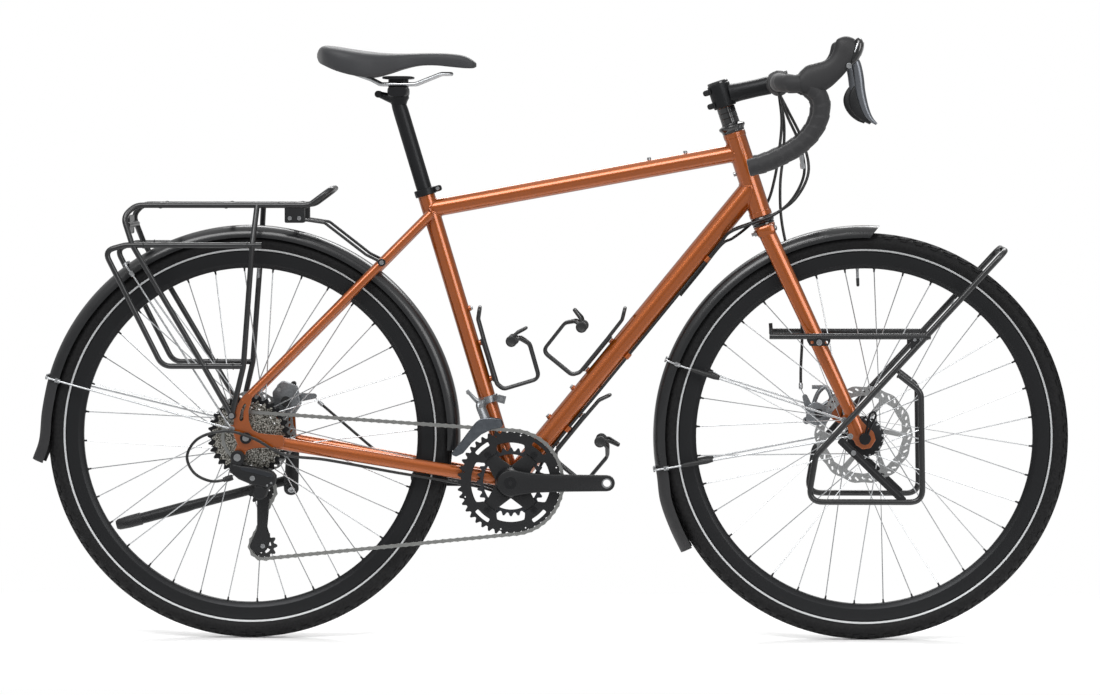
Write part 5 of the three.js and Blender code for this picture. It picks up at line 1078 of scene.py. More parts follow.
postHead = bracket + seatUp * 676
saddleTop = postHead.z + 84.51
cradleTop, clampTop = saddleTop - 56, saddleTop - 38
cradleBottom, clampBottom = cradleTop - 18, clampTop - 6


def makeSeatPost():
    size = {"insert": 150, "half": 31, "length": 26, "web": 17}
    shape = newShape()
    foot = seatTop - seatUp * (size["insert"] - 3)
    neck = postHead - seatUp * 16
    path = [foot, neck, neck + seatUp * 14, at(postHead.x, 0, cradleBottom + 2)]
    addTaperedStay(shape, path, [13.3, 13.3, 12.6, 12.2], 40)
    for low, high, half, across in (
        (cradleBottom, cradleTop, 17.3, size["half"]), (clampBottom, clampTop, size["length"], size["half"]),
    ):
        rings = []
        for y, share in ((-across, 0.86), (-across * 0.8, 1), (across * 0.8, 1), (across, 0.86)):
            centre = at(postHead.x, y, (low + high) / 2)
            rings.append(softRing(centre, at(1, 0, 0), upward, half * share, (high - low) / 2 * share, 24, 4))
        addRings(shape, rings)
    web = [softRing(at(postHead.x, 0, z), at(1, 0, 0), leftward, 17, size["web"], 24, 4)
           for z in (cradleBottom + 1, clampTop - 1)]
    addRings(shape, web)
    addHeadTail(shape)
    makePiece("seat_post_column", shape, anodised, "seat", "black_alloy", ("seat_post",), 30)
    bolts = newShape()
    for ahead in (-19, 19):
        place = at(postHead.x + ahead * 0.62, 0, cradleBottom)
        addBolt(bolts, place, -upward, 3.4, 3.0)
    makePiece("seat_post_bolts", bolts, boltSteel, "seat", "steel")


# The forged head runs down to the column, with a lug behind for the clamp's rear bolt.
def addHeadTail(shape):
    low, high = postHead - seatUp * 2, at(postHead.x, 0, cradleBottom + 3)
    rings = []
    for share, along, across in ((0, 13.2, 13.2), (0.35, 15, 14.5), (0.7, 18, 17), (1, 17.4, 19)):
        rings.append(softRing(low.lerp(high, share), at(1, 0, 0), leftward, along, across, 28, 3))
    addRings(shape, rings)
    tail = [at(postHead.x - 8, 0, cradleBottom - 3), at(postHead.x - 22, 0, cradleBottom + 1),
            at(postHead.x - 34, 0, cradleBottom + 5)]
    addSweep(shape, tail, [9, 7, 5.5], 20, flat=1.5, roundEnds=2)
    addTurned(shape, [(0, -16), (5, -16), (6, -15), (6, 15), (5, 16), (0, 16)], tail[-1], leftward, 24)


def makeRails():
    railRadius, spread, length = 3.5, 22, 272
    underside = saddleTop - 31
    flatZ = cradleTop + 0.35 + railRadius
    shares = [(-0.265, 1, 1), (-0.169, 1, 3.6), (-0.11, 1, 0), (0.11, 1, 0), (0.272, 0.5, 1), (0.353, 0, 1)]
    half = []
    for ahead, across, down in shares:
        z = underside - railRadius * down if down else flatZ
        half.append(at(postHead.x + length * ahead, spread * across, z))
    whole = [mirrored(p) for p in half] + half[:-1][::-1]
    shape = newShape()
    addSweep(shape, roundedPath(whole, 4 * railRadius, 8), railRadius, 18, roundEnds=0.6)
    makePiece("saddle_rail_wire", shape, stainless, "seat", "steel", ("saddle_rails",))


makeSeatClamp()
makeSeatPost()
makeRails()


# The cushion: rings across the saddle from tail to nose, as shares of its length, width and crown
def makeSaddle():
    size = {"length": 272, "half": 74, "crown": 32, "nose": postHead.x + 133.6, "under": 31}
    stations = [
        (0, 0.2, 0.03, 0.2), (0.02, 0.5, 0.3, 0.45), (0.06, 0.82, 0.42, 0.62), (0.14, 0.98, 0.36, 0.9),
        (0.24, 1, 0.22, 1.12), (0.34, 0.88, 0.1, 1.22), (0.44, 0.66, 0.02, 1.05), (0.54, 0.44, 0, 0.8),
        (0.64, 0.33, 0.02, 0.62), (0.74, 0.29, 0.03, 0.6), (0.84, 0.27, 0, 0.68),
        (0.93, 0.25, -0.12, 0.75), (0.98, 0.2, -0.35, 0.75), (1, 0.1, -0.5, 0.68),
    ]
    across = [(0.97, 1), (1, 0.62), (0.985, 0.3), (0.9, 0.12), (0.72, 0.03), (0.4, -0.01), (0, 0)]
    crown = size["crown"]
    rings = []
    for place, width, top, skirt in stations:
        x = size["nose"] - size["length"] * (1 - place)
        half = size["half"] * width
        high, low = saddleTop + crown * top, saddleTop - crown * skirt
        inner = max(low + 0.35, min(saddleTop - size["under"], high - crown * 0.19))
        side = [(half * a, high - (high - low) * b) for a, b in across]
        outline = [(half * 0.4, inner), (half * 0.78, inner), (half * 0.88, low)] + side
        left = [at(x, y, z) for y, z in outline]
        rings.append([mirrored(p) for p in left] + left[:-1][::-1])
    shape = newShape()
    addSmoothSkin(shape, [smoothClosed(ring, 3) for ring in rings], 4)
    cover = makePiece("saddle_cushion", shape, saddleCover, "seat", "saddle_cover", ("saddle",), 50)


def smoothClosed(ring, steps):
    count = len(ring)
    whole = []
    for i in range(count):
        p = [ring[(i + k - 1) % count] for k in range(4)]
        for k in range(steps):
            t = k / steps
            whole.append((p[1] * 2 + (p[2] - p[0]) * t + (p[0] * 2 - p[1] * 5 + p[2] * 4 - p[3]) * t**2
                          + (p[1] * 3 - p[0] - p[2] * 3 + p[3]) * t**3) * 0.5)
    return whole


makeSaddle()
print("saddle made")


# Headset, fork and stem

upperCup, spacers, stemHeight, lowerCup = 17, 28, 41, 15
steererRadius = 14.3


def smoothProfile(points):
    path = smoothPath([at(radius, 0, place) for radius, place in points], 4)
    return [(spot.x, spot.z) for spot in path]


def makeHeadset():
    cup = headTubeRadius + 0.46
    flare = [(cup - 0.4, 0.1), (cup + 0.2, 1.2), (cup + 0.4, 4), (cup + 1.6, 6), (cup + 3.4, 8.4),
             (cup + 3.8, 10.2), (cup + 3.2, 12), (cup + 0.4, 13.6), (cup - 2.6, 14.8), (cup - 3.4, 16)]
    shape = newShape()
    addTurned(shape, [(14.65, 0.1)] + smoothProfile(flare) + [(cup - 3.4, 17.1), (14.65, 17.1)], headTop, steerUp, 72)
    for i in range(3):
        low = upperCup + i * spacers / 3
        high = low + spacers / 3 + (0.3 if i == 2 else -0.1)
        ring = [(14.65, low + 0.2), (15.1, low), (cup - 4.1, low), (cup - 3.6, low + 0.5),
                (cup - 3.6, high - 0.5), (cup - 4.1, high), (15.1, high), (14.65, high - 0.2)]
        addTurned(shape, ring, headTop, steerUp, 56)
    makePiece("headset_top_race", shape, glossBlack, "steering", "black_alloy", ("headset_upper",), 30)
    cup = headTubeRadius
    profile = [(15.2, -0.4), (cup - 0.4, -0.4), (cup + 0.2, -1.2), (cup + 1.3, -4), (cup + 1.3, -9),
               (cup + 0.3, -11), (cup - 0.6, -11.8), (cup + 0.3, -12.4), (cup + 0.3, -14.4),
               (cup - 0.4, -15), (15.2, -15)]
    lower = newShape()
    addTurned(lower, profile[::-1], headBottom, steerUp, 64)
    makePiece("headset_bottom_race", lower, glossBlack, "frame", "black_alloy", ("headset_lower",), 30)


forkEndInner, forkEndThickness, forkEndRadius = 50.35, 7, 27
crownPlace = steerAt(-lowerCup - 0.35 - 10)
bladeFoot = placed(frontAxle, -0.28 * forkEndRadius, 0.3 * forkEndRadius)
crownLift = lowerCup + 12


def bladeAt(hand, share):
    return beside(crownPlace, hand * 37).lerp(beside(bladeFoot, hand * 53.85), share)


# The fork end's face in mm round the axle: a small disc, and a neck up to the blade with two eyelets.
forkEndFace = [
    (18.5, -2), (15, 11), (4, 20), (-6, 31), (-13, 43), (-24, 44), (-38, 40), (-40, 30), (-31, 25), (-28, 13),
    (-27, 2), (-19, -3), (-15, -11), (-4, -18.5), (10, -16),
]


def makeFork():
    size = {"crownDepth": 16, "crownHeight": 10, "flat": 0.62}
    mountFace = [(-66, 40), (-63, 58), (-48, 72), (-36, 68), (-14, 44), (-40, 18), (-54, 26)]
    shape = newShape()
    length = headTubeLength + 0.7 + upperCup + spacers + stemHeight - 0.35
    profile = [(0, -crownLift), (steererRadius, -crownLift), (steererRadius, length - 1),
               (steererRadius - 1, length), (0, length)]
    addTurned(shape, profile, headBottom, steerUp, 48)
    rings = []
    for y, share in ((-47, 0.6), (-45.6, 0.86), (-42, 1), (-30, 1), (30, 1), (42, 1), (45.6, 0.86), (47, 0.6)):
        centre = beside(crownPlace, y)
        rings.append(softRing(centre, steerFront, steerUp, size["crownDepth"] * share,
                              size["crownHeight"] * share, 32, 3.4))
    addRings(shape, rings)
    collar = [(steererRadius, -15.4), (18.4, -15.4), (19, -17), (18, -21), (steererRadius, -21)]
    addTurned(shape, collar[::-1], headBottom, steerUp, 56)
    for hand in (-1, 1):
        path = [bladeAt(hand, share) for share in (0.01, 0.3, 0.6, 0.85, 1)]
        addTaperedStay(shape, path, [14.5, 14.2, 12.8, 10.8, 9.5], 36, size["flat"])
        low, high = sorted((hand * forkEndInner, hand * (forkEndInner + forkEndThickness)))
        addPlate(shape, [softOutline(forkEndFace, 5, 4), ringOutline(6.5, 32)], low, high, frontAxle, 0.8)
        boss = bladeAt(hand, 0.56) + at(0, 0, 6)
        addTurned(shape, [(0, 0), (5.4, 0), (5.4, 9.6), (4.8, 10.2), (0, 10.2)], boss, leftward * hand, 28)
    mount = softOutline(mountFace, 6)
    addPlate(shape, [mount], forkEndInner, forkEndInner + forkEndThickness, frontAxle, 0.8)
    makePiece("fork_blades_and_steerer", shape, copper, "steering", "copper_paint", ("fork",), 30)
    makeCrownFittings()


# The mudguard's bolt through the crown, with a nut behind and a domed cap in front.
def makeCrownFittings():
    shape = newShape()
    front = crownPlace + steerFront * 15.5
    addTurned(shape, [(0, 0), (5.6, 0), (5.6, 1.6), (4.4, 3.4), (2.2, 4.4), (0, 4.6)], front, steerFront, 28)
    back = crownPlace - steerFront * 15.5
    addTurned(shape, [(0, 0), (5, 0), (5, 5), (3, 5.5), (3, 10), (0, 10)], back, -steerFront, 6)
    makePiece("fork_crown_bolt", shape, boltSteel, "steering", "steel")


stemTop = headTubeLength + 0.7 + upperCup + spacers
barCentre = at(394.4006, 0, 953.8271)


def makeStem():
    size = {"clampRadius": 19.5, "barClamp": 20.5, "half": 23}
    low, high = stemTop, stemTop + stemHeight
    middle = steerAt((low + high) / 2)
    shape = newShape()
    addHollowTube(shape, steerAt(low), steerUp, stemHeight, size["clampRadius"], 14.8, 56, 1.2)
    run = barCentre - middle
    up = leftward.cross(run.normalized()) * -1
    rings = [softRing(middle.lerp(barCentre, share), up, leftward, tall, wide, 40, 2.3)
             for share, tall, wide in ((0.14, 17, 17), (0.3, 15.6, 15), (0.6, 15, 14.6), (0.84, 15.6, 15))]
    addRings(shape, rings)
    addHollowTube(shape, beside(barCentre, -size["half"]), leftward, 2 * size["half"], size["barClamp"],
                  16.2, 56, 1.4)
    makePiece("stem_body", shape, anodised, "steering", "black_alloy", ("stem",), 32)
    bolts = newShape()
    cap = [(0, -0.5), (17.6, -0.5), (18, 0), (18, 3.2), (17, 4.4), (6, 5), (5, 3.6), (0, 3.4)]
    addTurned(bolts, cap, steerAt(high + 0.6), steerUp, 48)
    for height in (-12, 12):
        lug = middle + steerUp * height - steerFront * (size["clampRadius"] + 3)
        addRings(bolts, [softRing(lug + leftward * y, steerFront, steerUp, 7, 5, 20, 3) for y in (-11, 11)])
        addTurned(bolts, [(0, 0), (4, 0), (4, 3.4), (3.4, 4), (0, 4)], beside(lug, -11), -leftward, 20)
    front = run.normalized()
    up = Vector((-front.z, 0, front.x))
    for y in (-15, 15):
        for rise in (-15, 15):
            place = beside(barCentre, y) + up * rise + front * 12
            addTurned(bolts, [(0, -10), (3.4, -10), (3.4, 6), (2.8, 6.6), (0, 6.6)], place, front, 20)
    makePiece("stem_cap_and_bolts", bolts, glossBlack, "steering", "black_alloy")


makeHeadset()
makeFork()
makeStem()
print("fork and stem made")


# Handlebar: tape wound round and round, with the ridge that each turn leaves

barRadius, barHalf, barReach, barDrop = 15.5, 220, 71.3, 142.4
barShares = [
    (0.3, 0.002), (0.55, 0.02), (0.8, 0.085), (0.97, 0.2), (0.985, 0.34), (0.9, 0.49), (0.7, 0.64),
    (0.4, 0.77), (0, 0.88), (-0.36, 0.955), (-0.714, 1),
]


def barPath(hand):
    drop = [at(barCentre.x + barReach * a, barHalf, barCentre.z - barDrop * b) for a, b in barShares]
    corner = at(barCentre.x, barHalf, barCentre.z)
    start = at(barCentre.x, barHalf * 0.79, barCentre.z)
    bend = []
    for i in range(6):
        t = i / 5
        bend.append(start * (1 - t) ** 2 + corner * 2 * t * (1 - t) + drop[1] * t**2)
    knots = [at(barCentre.x, 23.5, barCentre.z), at(barCentre.x, 90, barCentre.z)] + bend + drop[2:]
    path = smoothPath(knots, 10)
    return [Vector((p.x, p.y * hand, p.z)) for p in path]


def makeTape(hand, name):
    size = {"turn": 19, "ridge": 1.5, "lump": 5.4, "start": 40, "sides": 36}
    path = evenPath(barPath(hand), 2.2)
    frames = framesOf(path, start=upward)
    rings = []
    travelled = 0
    for i, (place, (tangent, side, other)) in enumerate(zip(path, frames)):
        if i:
            travelled += (place - path[i - 1]).length
        ring = []
        for angle in roundAngles(size["sides"]):
            turn = (travelled / size["turn"] + hand * angle / (2 * math.pi)) % 1
            radius = barRadius - size["ridge"] * (0.2 + 0.8 * turn)
            if travelled < size["start"]:
                fade = math.sin(math.pi * min(1, (travelled + 6) / (size["start"] + 6))) ** 0.6
                wave = math.sin(travelled * 0.7 + angle) + 0.5 * math.sin(5 * angle + travelled * 0.25)
                radius += fade * (size["lump"] + 1.3 * wave)
            ring.append(place + side * radius * math.cos(angle) + other * radius * math.sin(angle))
        rings.append(ring)
    tip, (tangent, side, other) = path[-1], frames[-1]
    for share, out in ((0.9, 0.3), (0.6, 0.9)):
        rings.append([tip + tangent * out + (p - tip) * share for p in rings[-1 if share == 0.9 else -2]])
    shape = newShape()
    addRings(shape, rings)
    makePiece(name, shape, barTape, "steering", "bar_tape", ("handlebar",), 50)


# The same path with its points a set distance apart.
def evenPath(path, step):
    whole = [path[0].copy()]
    left = step
    for a, b in zip(path, path[1:]):
        length = (b - a).length
        spot = left
        while spot <= length:
            whole.append(a.lerp(b, spot / length))
            spot += step
        left = spot - length
    if (whole[-1] - path[-1]).length > step / 3:
        whole.append(path[-1].copy())
    return whole


def makeBarCentre():
    profile = rectangle(0, 15.4, -24, 24)
    makeTurned("handlebar_centre", profile, barCentre, leftward, 48, anodised, "steering", "bar_tape")
    ends = newShape()
    for hand in (-1, 1):
        path = barPath(hand)
        heading = (path[-1] - path[-2]).normalized()
        plug = [(0, 0.2), (12.5, 0.2), (12.5, 0.8), (10.5, 1.7), (0, 1.9)]
        addTurned(ends, plug, path[-1] - heading * 0.9, heading, 36)
    makePiece("bar_end_plugs", ends, nylon, "steering", "black_rubber")


makeTape(1, "bar_tape_left")
makeTape(-1, "bar_tape_right")
makeBarCentre()


# Hoods: rings from the bar out to the raised horn, as place, half height and half width

leverPivot = at(509.7386, 0, 981.1811)


def makeHood(hand, name):
    stations = [
        (36, -2, 17.5, 15.8, 82), (52, 3, 25, 15.8, 72), (70, 10, 24, 15.7, 62), (88, 21, 19.8, 15.4, 50),
        (99, 32, 18.6, 14.8, 38), (106.5, 43, 19.2, 14.4, 28), (111, 53, 20.4, 14.2, 20),
        (112.5, 61, 20, 13.4, 14), (112.5, 68, 17.4, 11.6, 8), (112, 73.2, 11.6, 8, 4), (111.5, 76, 4, 3, 2),
    ]
    rings = []
    middle = hand * barHalf
    for ahead, up, tall, wide, degrees in stations:
        angle = math.radians(degrees)
        cross = at(-math.cos(angle), 0, math.sin(angle))
        centre = at(barCentre.x + ahead, middle, barCentre.z + up)
        rings.append(softRing(centre, cross, leftward, tall, wide, 36, 2.5))
    shape = newShape()
    addSmoothSkin(shape, rings)
    makePiece(name, shape, mouldedRubber, "steering", "black_rubber", (name.replace("_rubber", ""),), 50)


def makeLever(hand, name):
    middle = hand * barHalf
    side = "right" if hand < 0 else "left"
    blade = [(7, 12, 7, 8), (11, 5, 8, 8.5), (14.5, -8, 8.4, 8.5), (17, -24, 8.6, 8.5), (19, -41, 8.4, 8.5),
             (23, -59, 7.8, 8), (28.5, -75, 6.6, 7.4), (36.5, -88.5, 4.6, 6.4), (46.5, -97, 2, 4.6)]
    shape = newShape()
    addBlade(shape, leverPivot, blade, middle, 0, 28, 2.3)
    paddle = [(13, -34, 4.4, 3), (11, -43, 8, 4), (10, -54, 10.6, 4.6), (12.5, -65, 11, 4.8),
              (19, -77, 9.4, 4.6), (28, -87, 6.6, 4), (37.5, -94.5, 3, 2.6)]
    makePiece(name, shape, leverAlloy, "lever_" + side, "black_alloy", ("lever_" + side,), 45)
    behind = newShape()
    addBlade(behind, leverPivot, paddle, middle, -hand * 2.4, 28, 2.3)
    makePiece("shift_paddle_" + side, behind, satinBlack, "lever_" + side, "black_alloy", (), 45)
    cap = newShape()
    pivot = beside(leverPivot, middle)
    for way in (-1, 1):
        addTurned(cap, [(0, 0), (4.6, 0), (4.6, 1.2), (3.8, 1.8), (1.6, 1.8), (1.4, 0.8), (0, 0.8)],
                  pivot + leftward * way * 14.1, leftward * way, 24)
    makePiece("lever_pivot_" + side, cap, boltSteel, "steering", "steel")
    makeHoodCap(middle, side)


# The gloss cap on the front of the hood, with a bright bar let into each side of it.
def makeHoodCap(middle, side):
    stations = [(129, 73, 3, 6), (131.5, 69, 6, 9.5), (132.2, 62, 7.6, 11.6), (130, 52, 8, 12.8),
                (126, 42, 7.4, 13), (122.5, 34, 5.6, 12), (120.5, 29, 2.6, 8)]
    shape, trim = newShape(), newShape()
    addBlade(shape, barCentre, stations, middle, 0, 32, 2.6)
    makePiece("hood_cap_" + side, shape, glossBlack, "steering", "black_alloy", (), 50)
    for way in (-1, 1):
        path = [at(barCentre.x + x, middle + way * y, barCentre.z + z)
                for x, z, y in ((129.5, 64, 11.2), (127.5, 57, 12.3), (124.5, 49, 13))]
        addSweep(trim, smoothPath(path, 5), 1.5, 10, flat=1.4, roundEnds=0.8)
    edge = [at(barCentre.x + x, middle, barCentre.z + z) for x, z in ((139.2, 66), (138.6, 56), (134.4, 44))]
    addSweep(trim, smoothPath(edge, 5), 1.5, 12, flat=3, roundEnds=0.8)
    makePiece("hood_trim_" + side, trim, polished, "steering", "polished_alloy")


# A skin along stations of place, half thickness and half width, each ring square to the line through them.
def addBlade(shape, origin, stations, middle, lean, count, power):
    spots = [at(origin.x + x, middle + lean * i / len(stations), origin.z + z)
             for i, (x, z, half, wide) in enumerate(stations)]
    rings = []
    for spot, tangent, (x, z, half, wide) in zip(spots, tangentsOf(spots), stations):
        cross = Vector((-tangent.z, 0, tangent.x)).normalized()
        rings.append(softRing(spot, cross, leftward, half, wide, count, power))
    addSmoothSkin(shape, rings)


for hand, side in ((-1, "right"), (1, "left")):
    makeHood(hand, "hood_" + side + "_rubber")
    makeLever(hand, "lever_blade_" + side)
print("bar, hoods and levers made")


# Mudguards: one section drawn along an arc by Geometry Nodes, ending in a moulded flap

guardRadius, guardHalfWidth, guardDepth = 362, 26, 21
forkEndOuter = forkEndInner + forkEndThickness


def makeGuardTree():
    tree = newTree("guard_along_an_arc", [
        ("Radius", "NodeSocketFloat"), ("Start Angle", "NodeSocketFloat"), ("Sweep Angle", "NodeSocketFloat"),
        ("Axle", "NodeSocketVector"), ("Material", "NodeSocketMaterial"),
    ])
    given = addNode(tree, "NodeGroupInput").outputs
    arc = addNode(tree, "GeometryNodeCurveArc", {
        "Resolution": 140, "Radius": given["Radius"], "Start Angle": given["Start Angle"],
        "Sweep Angle": given["Sweep Angle"],
    }, mode="RADIUS")
    section = addNode(tree, "GeometryNodeMeshToCurve", {"Mesh": given["Geometry"]})
    skin = addNode(tree, "GeometryNodeCurveToMesh", {
        "Curve": arc.outputs["Curve"], "Profile Curve": section.outputs["Curve"], "Fill Caps": True,
    })
    stood = addNode(tree, "GeometryNodeTransform", {
        "Geometry": skin.outputs["Mesh"], "Translation": given["Axle"], "Rotation": (math.pi / 2, 0, 0),
    })
    return finishTree(tree, stood.outputs["Geometry"], given["Material"])


guardTree = makeGuardTree()


# The guard's section, as pairs of distance out from the arc and distance across.
def guardSection(wall, power=2.4, steps=12):
    def side(half, depth, start):
        ring = []
        for i in range(-steps, steps + 1):
            angle = math.pi / 2 * i / steps
            across = math.copysign(abs(math.sin(angle)) ** (2 / power), angle) * half
            down = start + (depth - start) * (1 - abs(math.cos(angle)) ** (2 / power))
            ring.append((-down, across))
        return ring

    return side(guardHalfWidth, guardDepth, 0) + side(guardHalfWidth - wall, guardDepth, wall)[::-1]


def makeGuard(name, node, body, axle, start, end):
    size = {"wall": 1.8}
    section = [Vector((out, across, 0)) * mm for out, across in guardSection(size["wall"])]
    mesh = bpy.data.meshes.new(name)
    mesh.from_pydata([tuple(p) for p in section], [(i, (i + 1) % len(section)) for i in range(len(section))], [])
    piece = bpy.data.objects.new(name, mesh)
    bpy.context.scene.collection.objects.link(piece)
    applyTree(piece, guardTree, {
        "Radius": guardRadius * mm, "Start Angle": math.radians(start), "Sweep Angle": math.radians(end - start),
        "Axle": tuple(axle * mm), "Material": guardPlastic,
    })
    faceOutwards(piece.data)
    smoothMesh(piece.data, 35)
    settle(piece, body, (node,))


# The flap carries the section on, flaring a little, in soft moulded rubber.
def makeFlap(name, body, axle, lastDegrees, shares):
    size = {"reach": 378.2, "wall": 2.6, "overlap": 3}
    start = [polar(axle, guardRadius, lastDegrees - size["overlap"]), polar(axle, guardRadius, lastDegrees)]
    path = smoothPath(start + [placed(axle, size["reach"] * x, size["reach"] * z) for x, z in shares], 6)
    shape = newShape()
    rings = []
    for i, (place, tangent) in enumerate(zip(path, tangentsOf(path))):
        out = Vector((tangent.z, 0, -tangent.x))
        if out.dot(place - axle) < 0:
            out = -out
        tip = max(0, (i / (len(path) - 1) - 0.8) / 0.2)
        narrow = 1 - 0.16 * tip**2
        rings.append([place + out * (down + 0.2) + leftward * across * narrow
                      for down, across in guardSection(size["wall"])])
    addRings(shape, rings)
    makePiece(name, shape, mouldedRubber, body, "black_plastic")


# The front guard ends in a slanting cut: its crown runs further forward than its edges.
def makeGuardTip(name, body, axle, start, slant):
    section = guardSection(1.8)
    depth = min(down for down, across in section)
    shape = newShape()
    rings = []
    for share in (0, 0.25, 0.5, 0.75, 1):
        rings.append([polar(axle, guardRadius + down, start - slant * share * (1.08 - down / depth), across)
                      for down, across in section])
    addRings(shape, rings)
    makePiece(name, shape, guardPlastic, body, "black_plastic")


makeGuardTip("front_guard_tip", "steering", frontAxle, 88.75, 2.6)
makeGuard("front_guard_blade", "front_mudguard", "steering", frontAxle, 88.75, 191)
makeFlap("front_guard_flap", "steering", frontAxle, 191, [(-0.925, -0.296), (-0.88, -0.423), (-0.829, -0.529)])
makeGuard("rear_guard_blade", "rear_mudguard", "frame", rearAxle, -4, 166)
makeFlap("rear_guard_flap", "frame", rearAxle, 166, [(-0.953, 0.106), (-0.967, -0.026), (-0.996, -0.107)])


# Mudguard stays: bright wire, bent over the guard and held there by clips

stayWireRadius, stayClipY, stayOver = 1.7, 28.4, 364.4


def stayPath(axle, eyelet, footY, degrees, flatRun):
    clip = polar(axle, guardRadius - guardDepth * 1.2, degrees, stayClipY)
    heading = Vector((clip.x - eyelet.x, 0, clip.z - eyelet.z)).normalized()
    half = [
        beside(eyelet, footY), beside(eyelet + heading * flatRun, footY), clip,
        polar(axle, stayOver, degrees, stayClipY), polar(axle, stayOver, degrees, 0),
    ]
    return roundedPath(half + [mirrored(place) for place in half[-2::-1]], 8, 5)


def addStayWire(shape, axle, eyelet, footY, degrees, flatRun):
    addSweep(shape, stayPath(axle, eyelet, footY, degrees, flatRun), stayWireRadius, 12, start=upward)


# Clips that hold a stay to its guard, with a small screw on each side.
def addStayClips(shape, axle, degrees):
    for hand in (-1, 1):
        addPlateBox(shape, polar(axle, 343, degrees, hand * 28), (7, 3.2, 9), degrees)
        addTurned(shape, [(0, 0), (2.6, 0), (2.6, 1.6), (1.9, 2.2), (0, 2.2)],
                  polar(axle, 345, degrees, hand * 28.6), leftward * hand, 16)
    addPlateBox(shape, polar(axle, 364.6, degrees, 0), (9, 30, 3), degrees)


# A softened box whose second axis lies across the bicycle, turned about it by degrees.
def addPlateBox(shape, centre, sides, degrees, bevel=0.6):
    turn = Matrix.Rotation(-math.radians(degrees - 90), 3, "Y")
    x, y, z = (side / 2 for side in sides)
    soft = min(bevel, x / 2, z / 2)
    outline = softOutline(rectangle(-x, x, -z, z), soft, 3)
    addPlate(shape, [outline], -y, y, centre, min(0.4, y / 3), turn)


# The eye at the foot of a stay, which a bolt goes through.
def addStayEye(shape, place, inner, outer, hand):
    profile = rectangle(2.3, 5, inner, outer)
    addTurned(shape, profile, beside(place, 0), leftward * hand, 24)


def makeStays():
    size = {"rearFoot": 76.2, "frontFoot": 61.7, "rearFlat": 30, "frontFlat": 62}
    rearEyelet = placed(rearAxle, -24.1, 15.5)
    uppers, lowers = (placed(frontAxle, forkEndRadius * ahead, forkEndRadius * up)
                      for ahead, up in ((-1.311, 1.185), (-0.926, 0.148)))
    wires, clips, bolts = newShape(), newShape(), newShape()
    for degrees in (125.75, 164):
        addStayWire(wires, rearAxle, rearEyelet, size["rearFoot"], degrees, size["rearFlat"])
        addStayClips(clips, rearAxle, degrees)
    for hand in (-1, 1):
        addStayEye(wires, rearEyelet, dropoutOuter + 0.35, dropoutOuter + 4.35, hand)
        addBolt(bolts, beside(rearEyelet, hand * (dropoutOuter + 4.4)), leftward * hand, 4, 2.6)
    makePiece("rear_stay_wires", wires, stainless, "frame", "steel", ("rear_stays",))
    makePiece("rear_stay_clips", clips, boltSteel, "frame", "steel")
    makePiece("rear_stay_bolts", bolts, boltSteel, "frame", "steel")
    frontClips, frontBolts, sleeves = newShape(), newShape(), newShape()
    for node, eyelet, degrees in (("front_stay_upper", uppers, 158.8), ("front_stay_lower", lowers, 189)):
        wire = newShape()
        addStayWire(wire, frontAxle, eyelet, size["frontFoot"], degrees, size["frontFlat"])
        for hand in (-1, 1):
            addStayEye(wire, eyelet, forkEndOuter + 0.35, forkEndOuter + 4.9, hand)
            addBolt(frontBolts, beside(eyelet, hand * (forkEndOuter + 4.95)), leftward * hand, 4, 1.9)
            addStaySleeve(sleeves, eyelet, degrees, size, hand)
        addStayClips(frontClips, frontAxle, degrees)
        makePiece(node + "_wire", wire, stainless, "steering", "steel", (node,))
    makePiece("front_stay_clips", frontClips, boltSteel, "steering", "steel")
    makePiece("front_stay_bolts", frontBolts, boltSteel, "steering", "steel")
    makePiece("front_stay_releases", sleeves, nylon, "steering", "black_plastic")


# The release catch on a front stay: a short black sleeve around the wire.
def addStaySleeve(shape, eyelet, degrees, size, hand):
    clip = polar(frontAxle, guardRadius - guardDepth * 1.2, degrees, stayClipY)
    heading = Vector((clip.x - eyelet.x, 0, clip.z - eyelet.z)).normalized()
    start = beside(eyelet + heading * size["frontFlat"], size["frontFoot"])
    places = [start.lerp(clip, share) for share in (0.7, 0.74, 0.88, 0.92)]
    if hand < 0:
        places = [mirrored(place) for place in places]
    addSweep(shape, places, [2.6, 4.2, 4.2, 2.9], 16, flat=0.8)


makeStays()
print("mudguards and stays made")


# Wheels

rimRadius, rimInner = 317, 288
tyreHalf, casingCentre, casingRise = 19, 331.5, 16.1


def casingPoint(theta, rise=0.0):
    return (casingCentre + (casingRise + rise) * math.cos(theta), (tyreHalf - 0.3 + rise) * math.sin(theta))


def makeTyre(end, body, axle):
    size = {"turn": 118, "beads": 10.1, "bandLow": 0.18, "bandHigh": 0.62}
    count = 34
    span = math.radians(size["turn"])
    arc = [casingPoint(-span + 2 * span * i / count) for i in range(count + 1)]
    profile = [(312, -size["beads"]), (317.6, -11.4), *arc, (317.6, 11.4), (312, size["beads"])]
    makeTurned(end + "_tyre_casing", profile, axle, leftward, 180, tyreRubber, body, "tyre_rubber",
               (end + "_tyre",), 50)
    bands = newShape()
    for hand in (-1, 1):
        foot, top = Vector((317.6, 11.4)), Vector(casingPoint(span))
        low, high = foot.lerp(top, size["bandLow"]), foot.lerp(top, size["bandHigh"])
        out = Vector((top.y - foot.y, foot.x - top.x)).normalized() * -1
        ring = [low + out * -0.4, high + out * -0.4, high + out * 0.3, low + out * 0.3]
        addTurned(bands, [(p.x, hand * p.y) for p in ring], axle, leftward, 180)
    makePiece(end + "_reflective_bands", bands, reflective, body, "tyre_rubber")
    makeTread(end, body, axle)


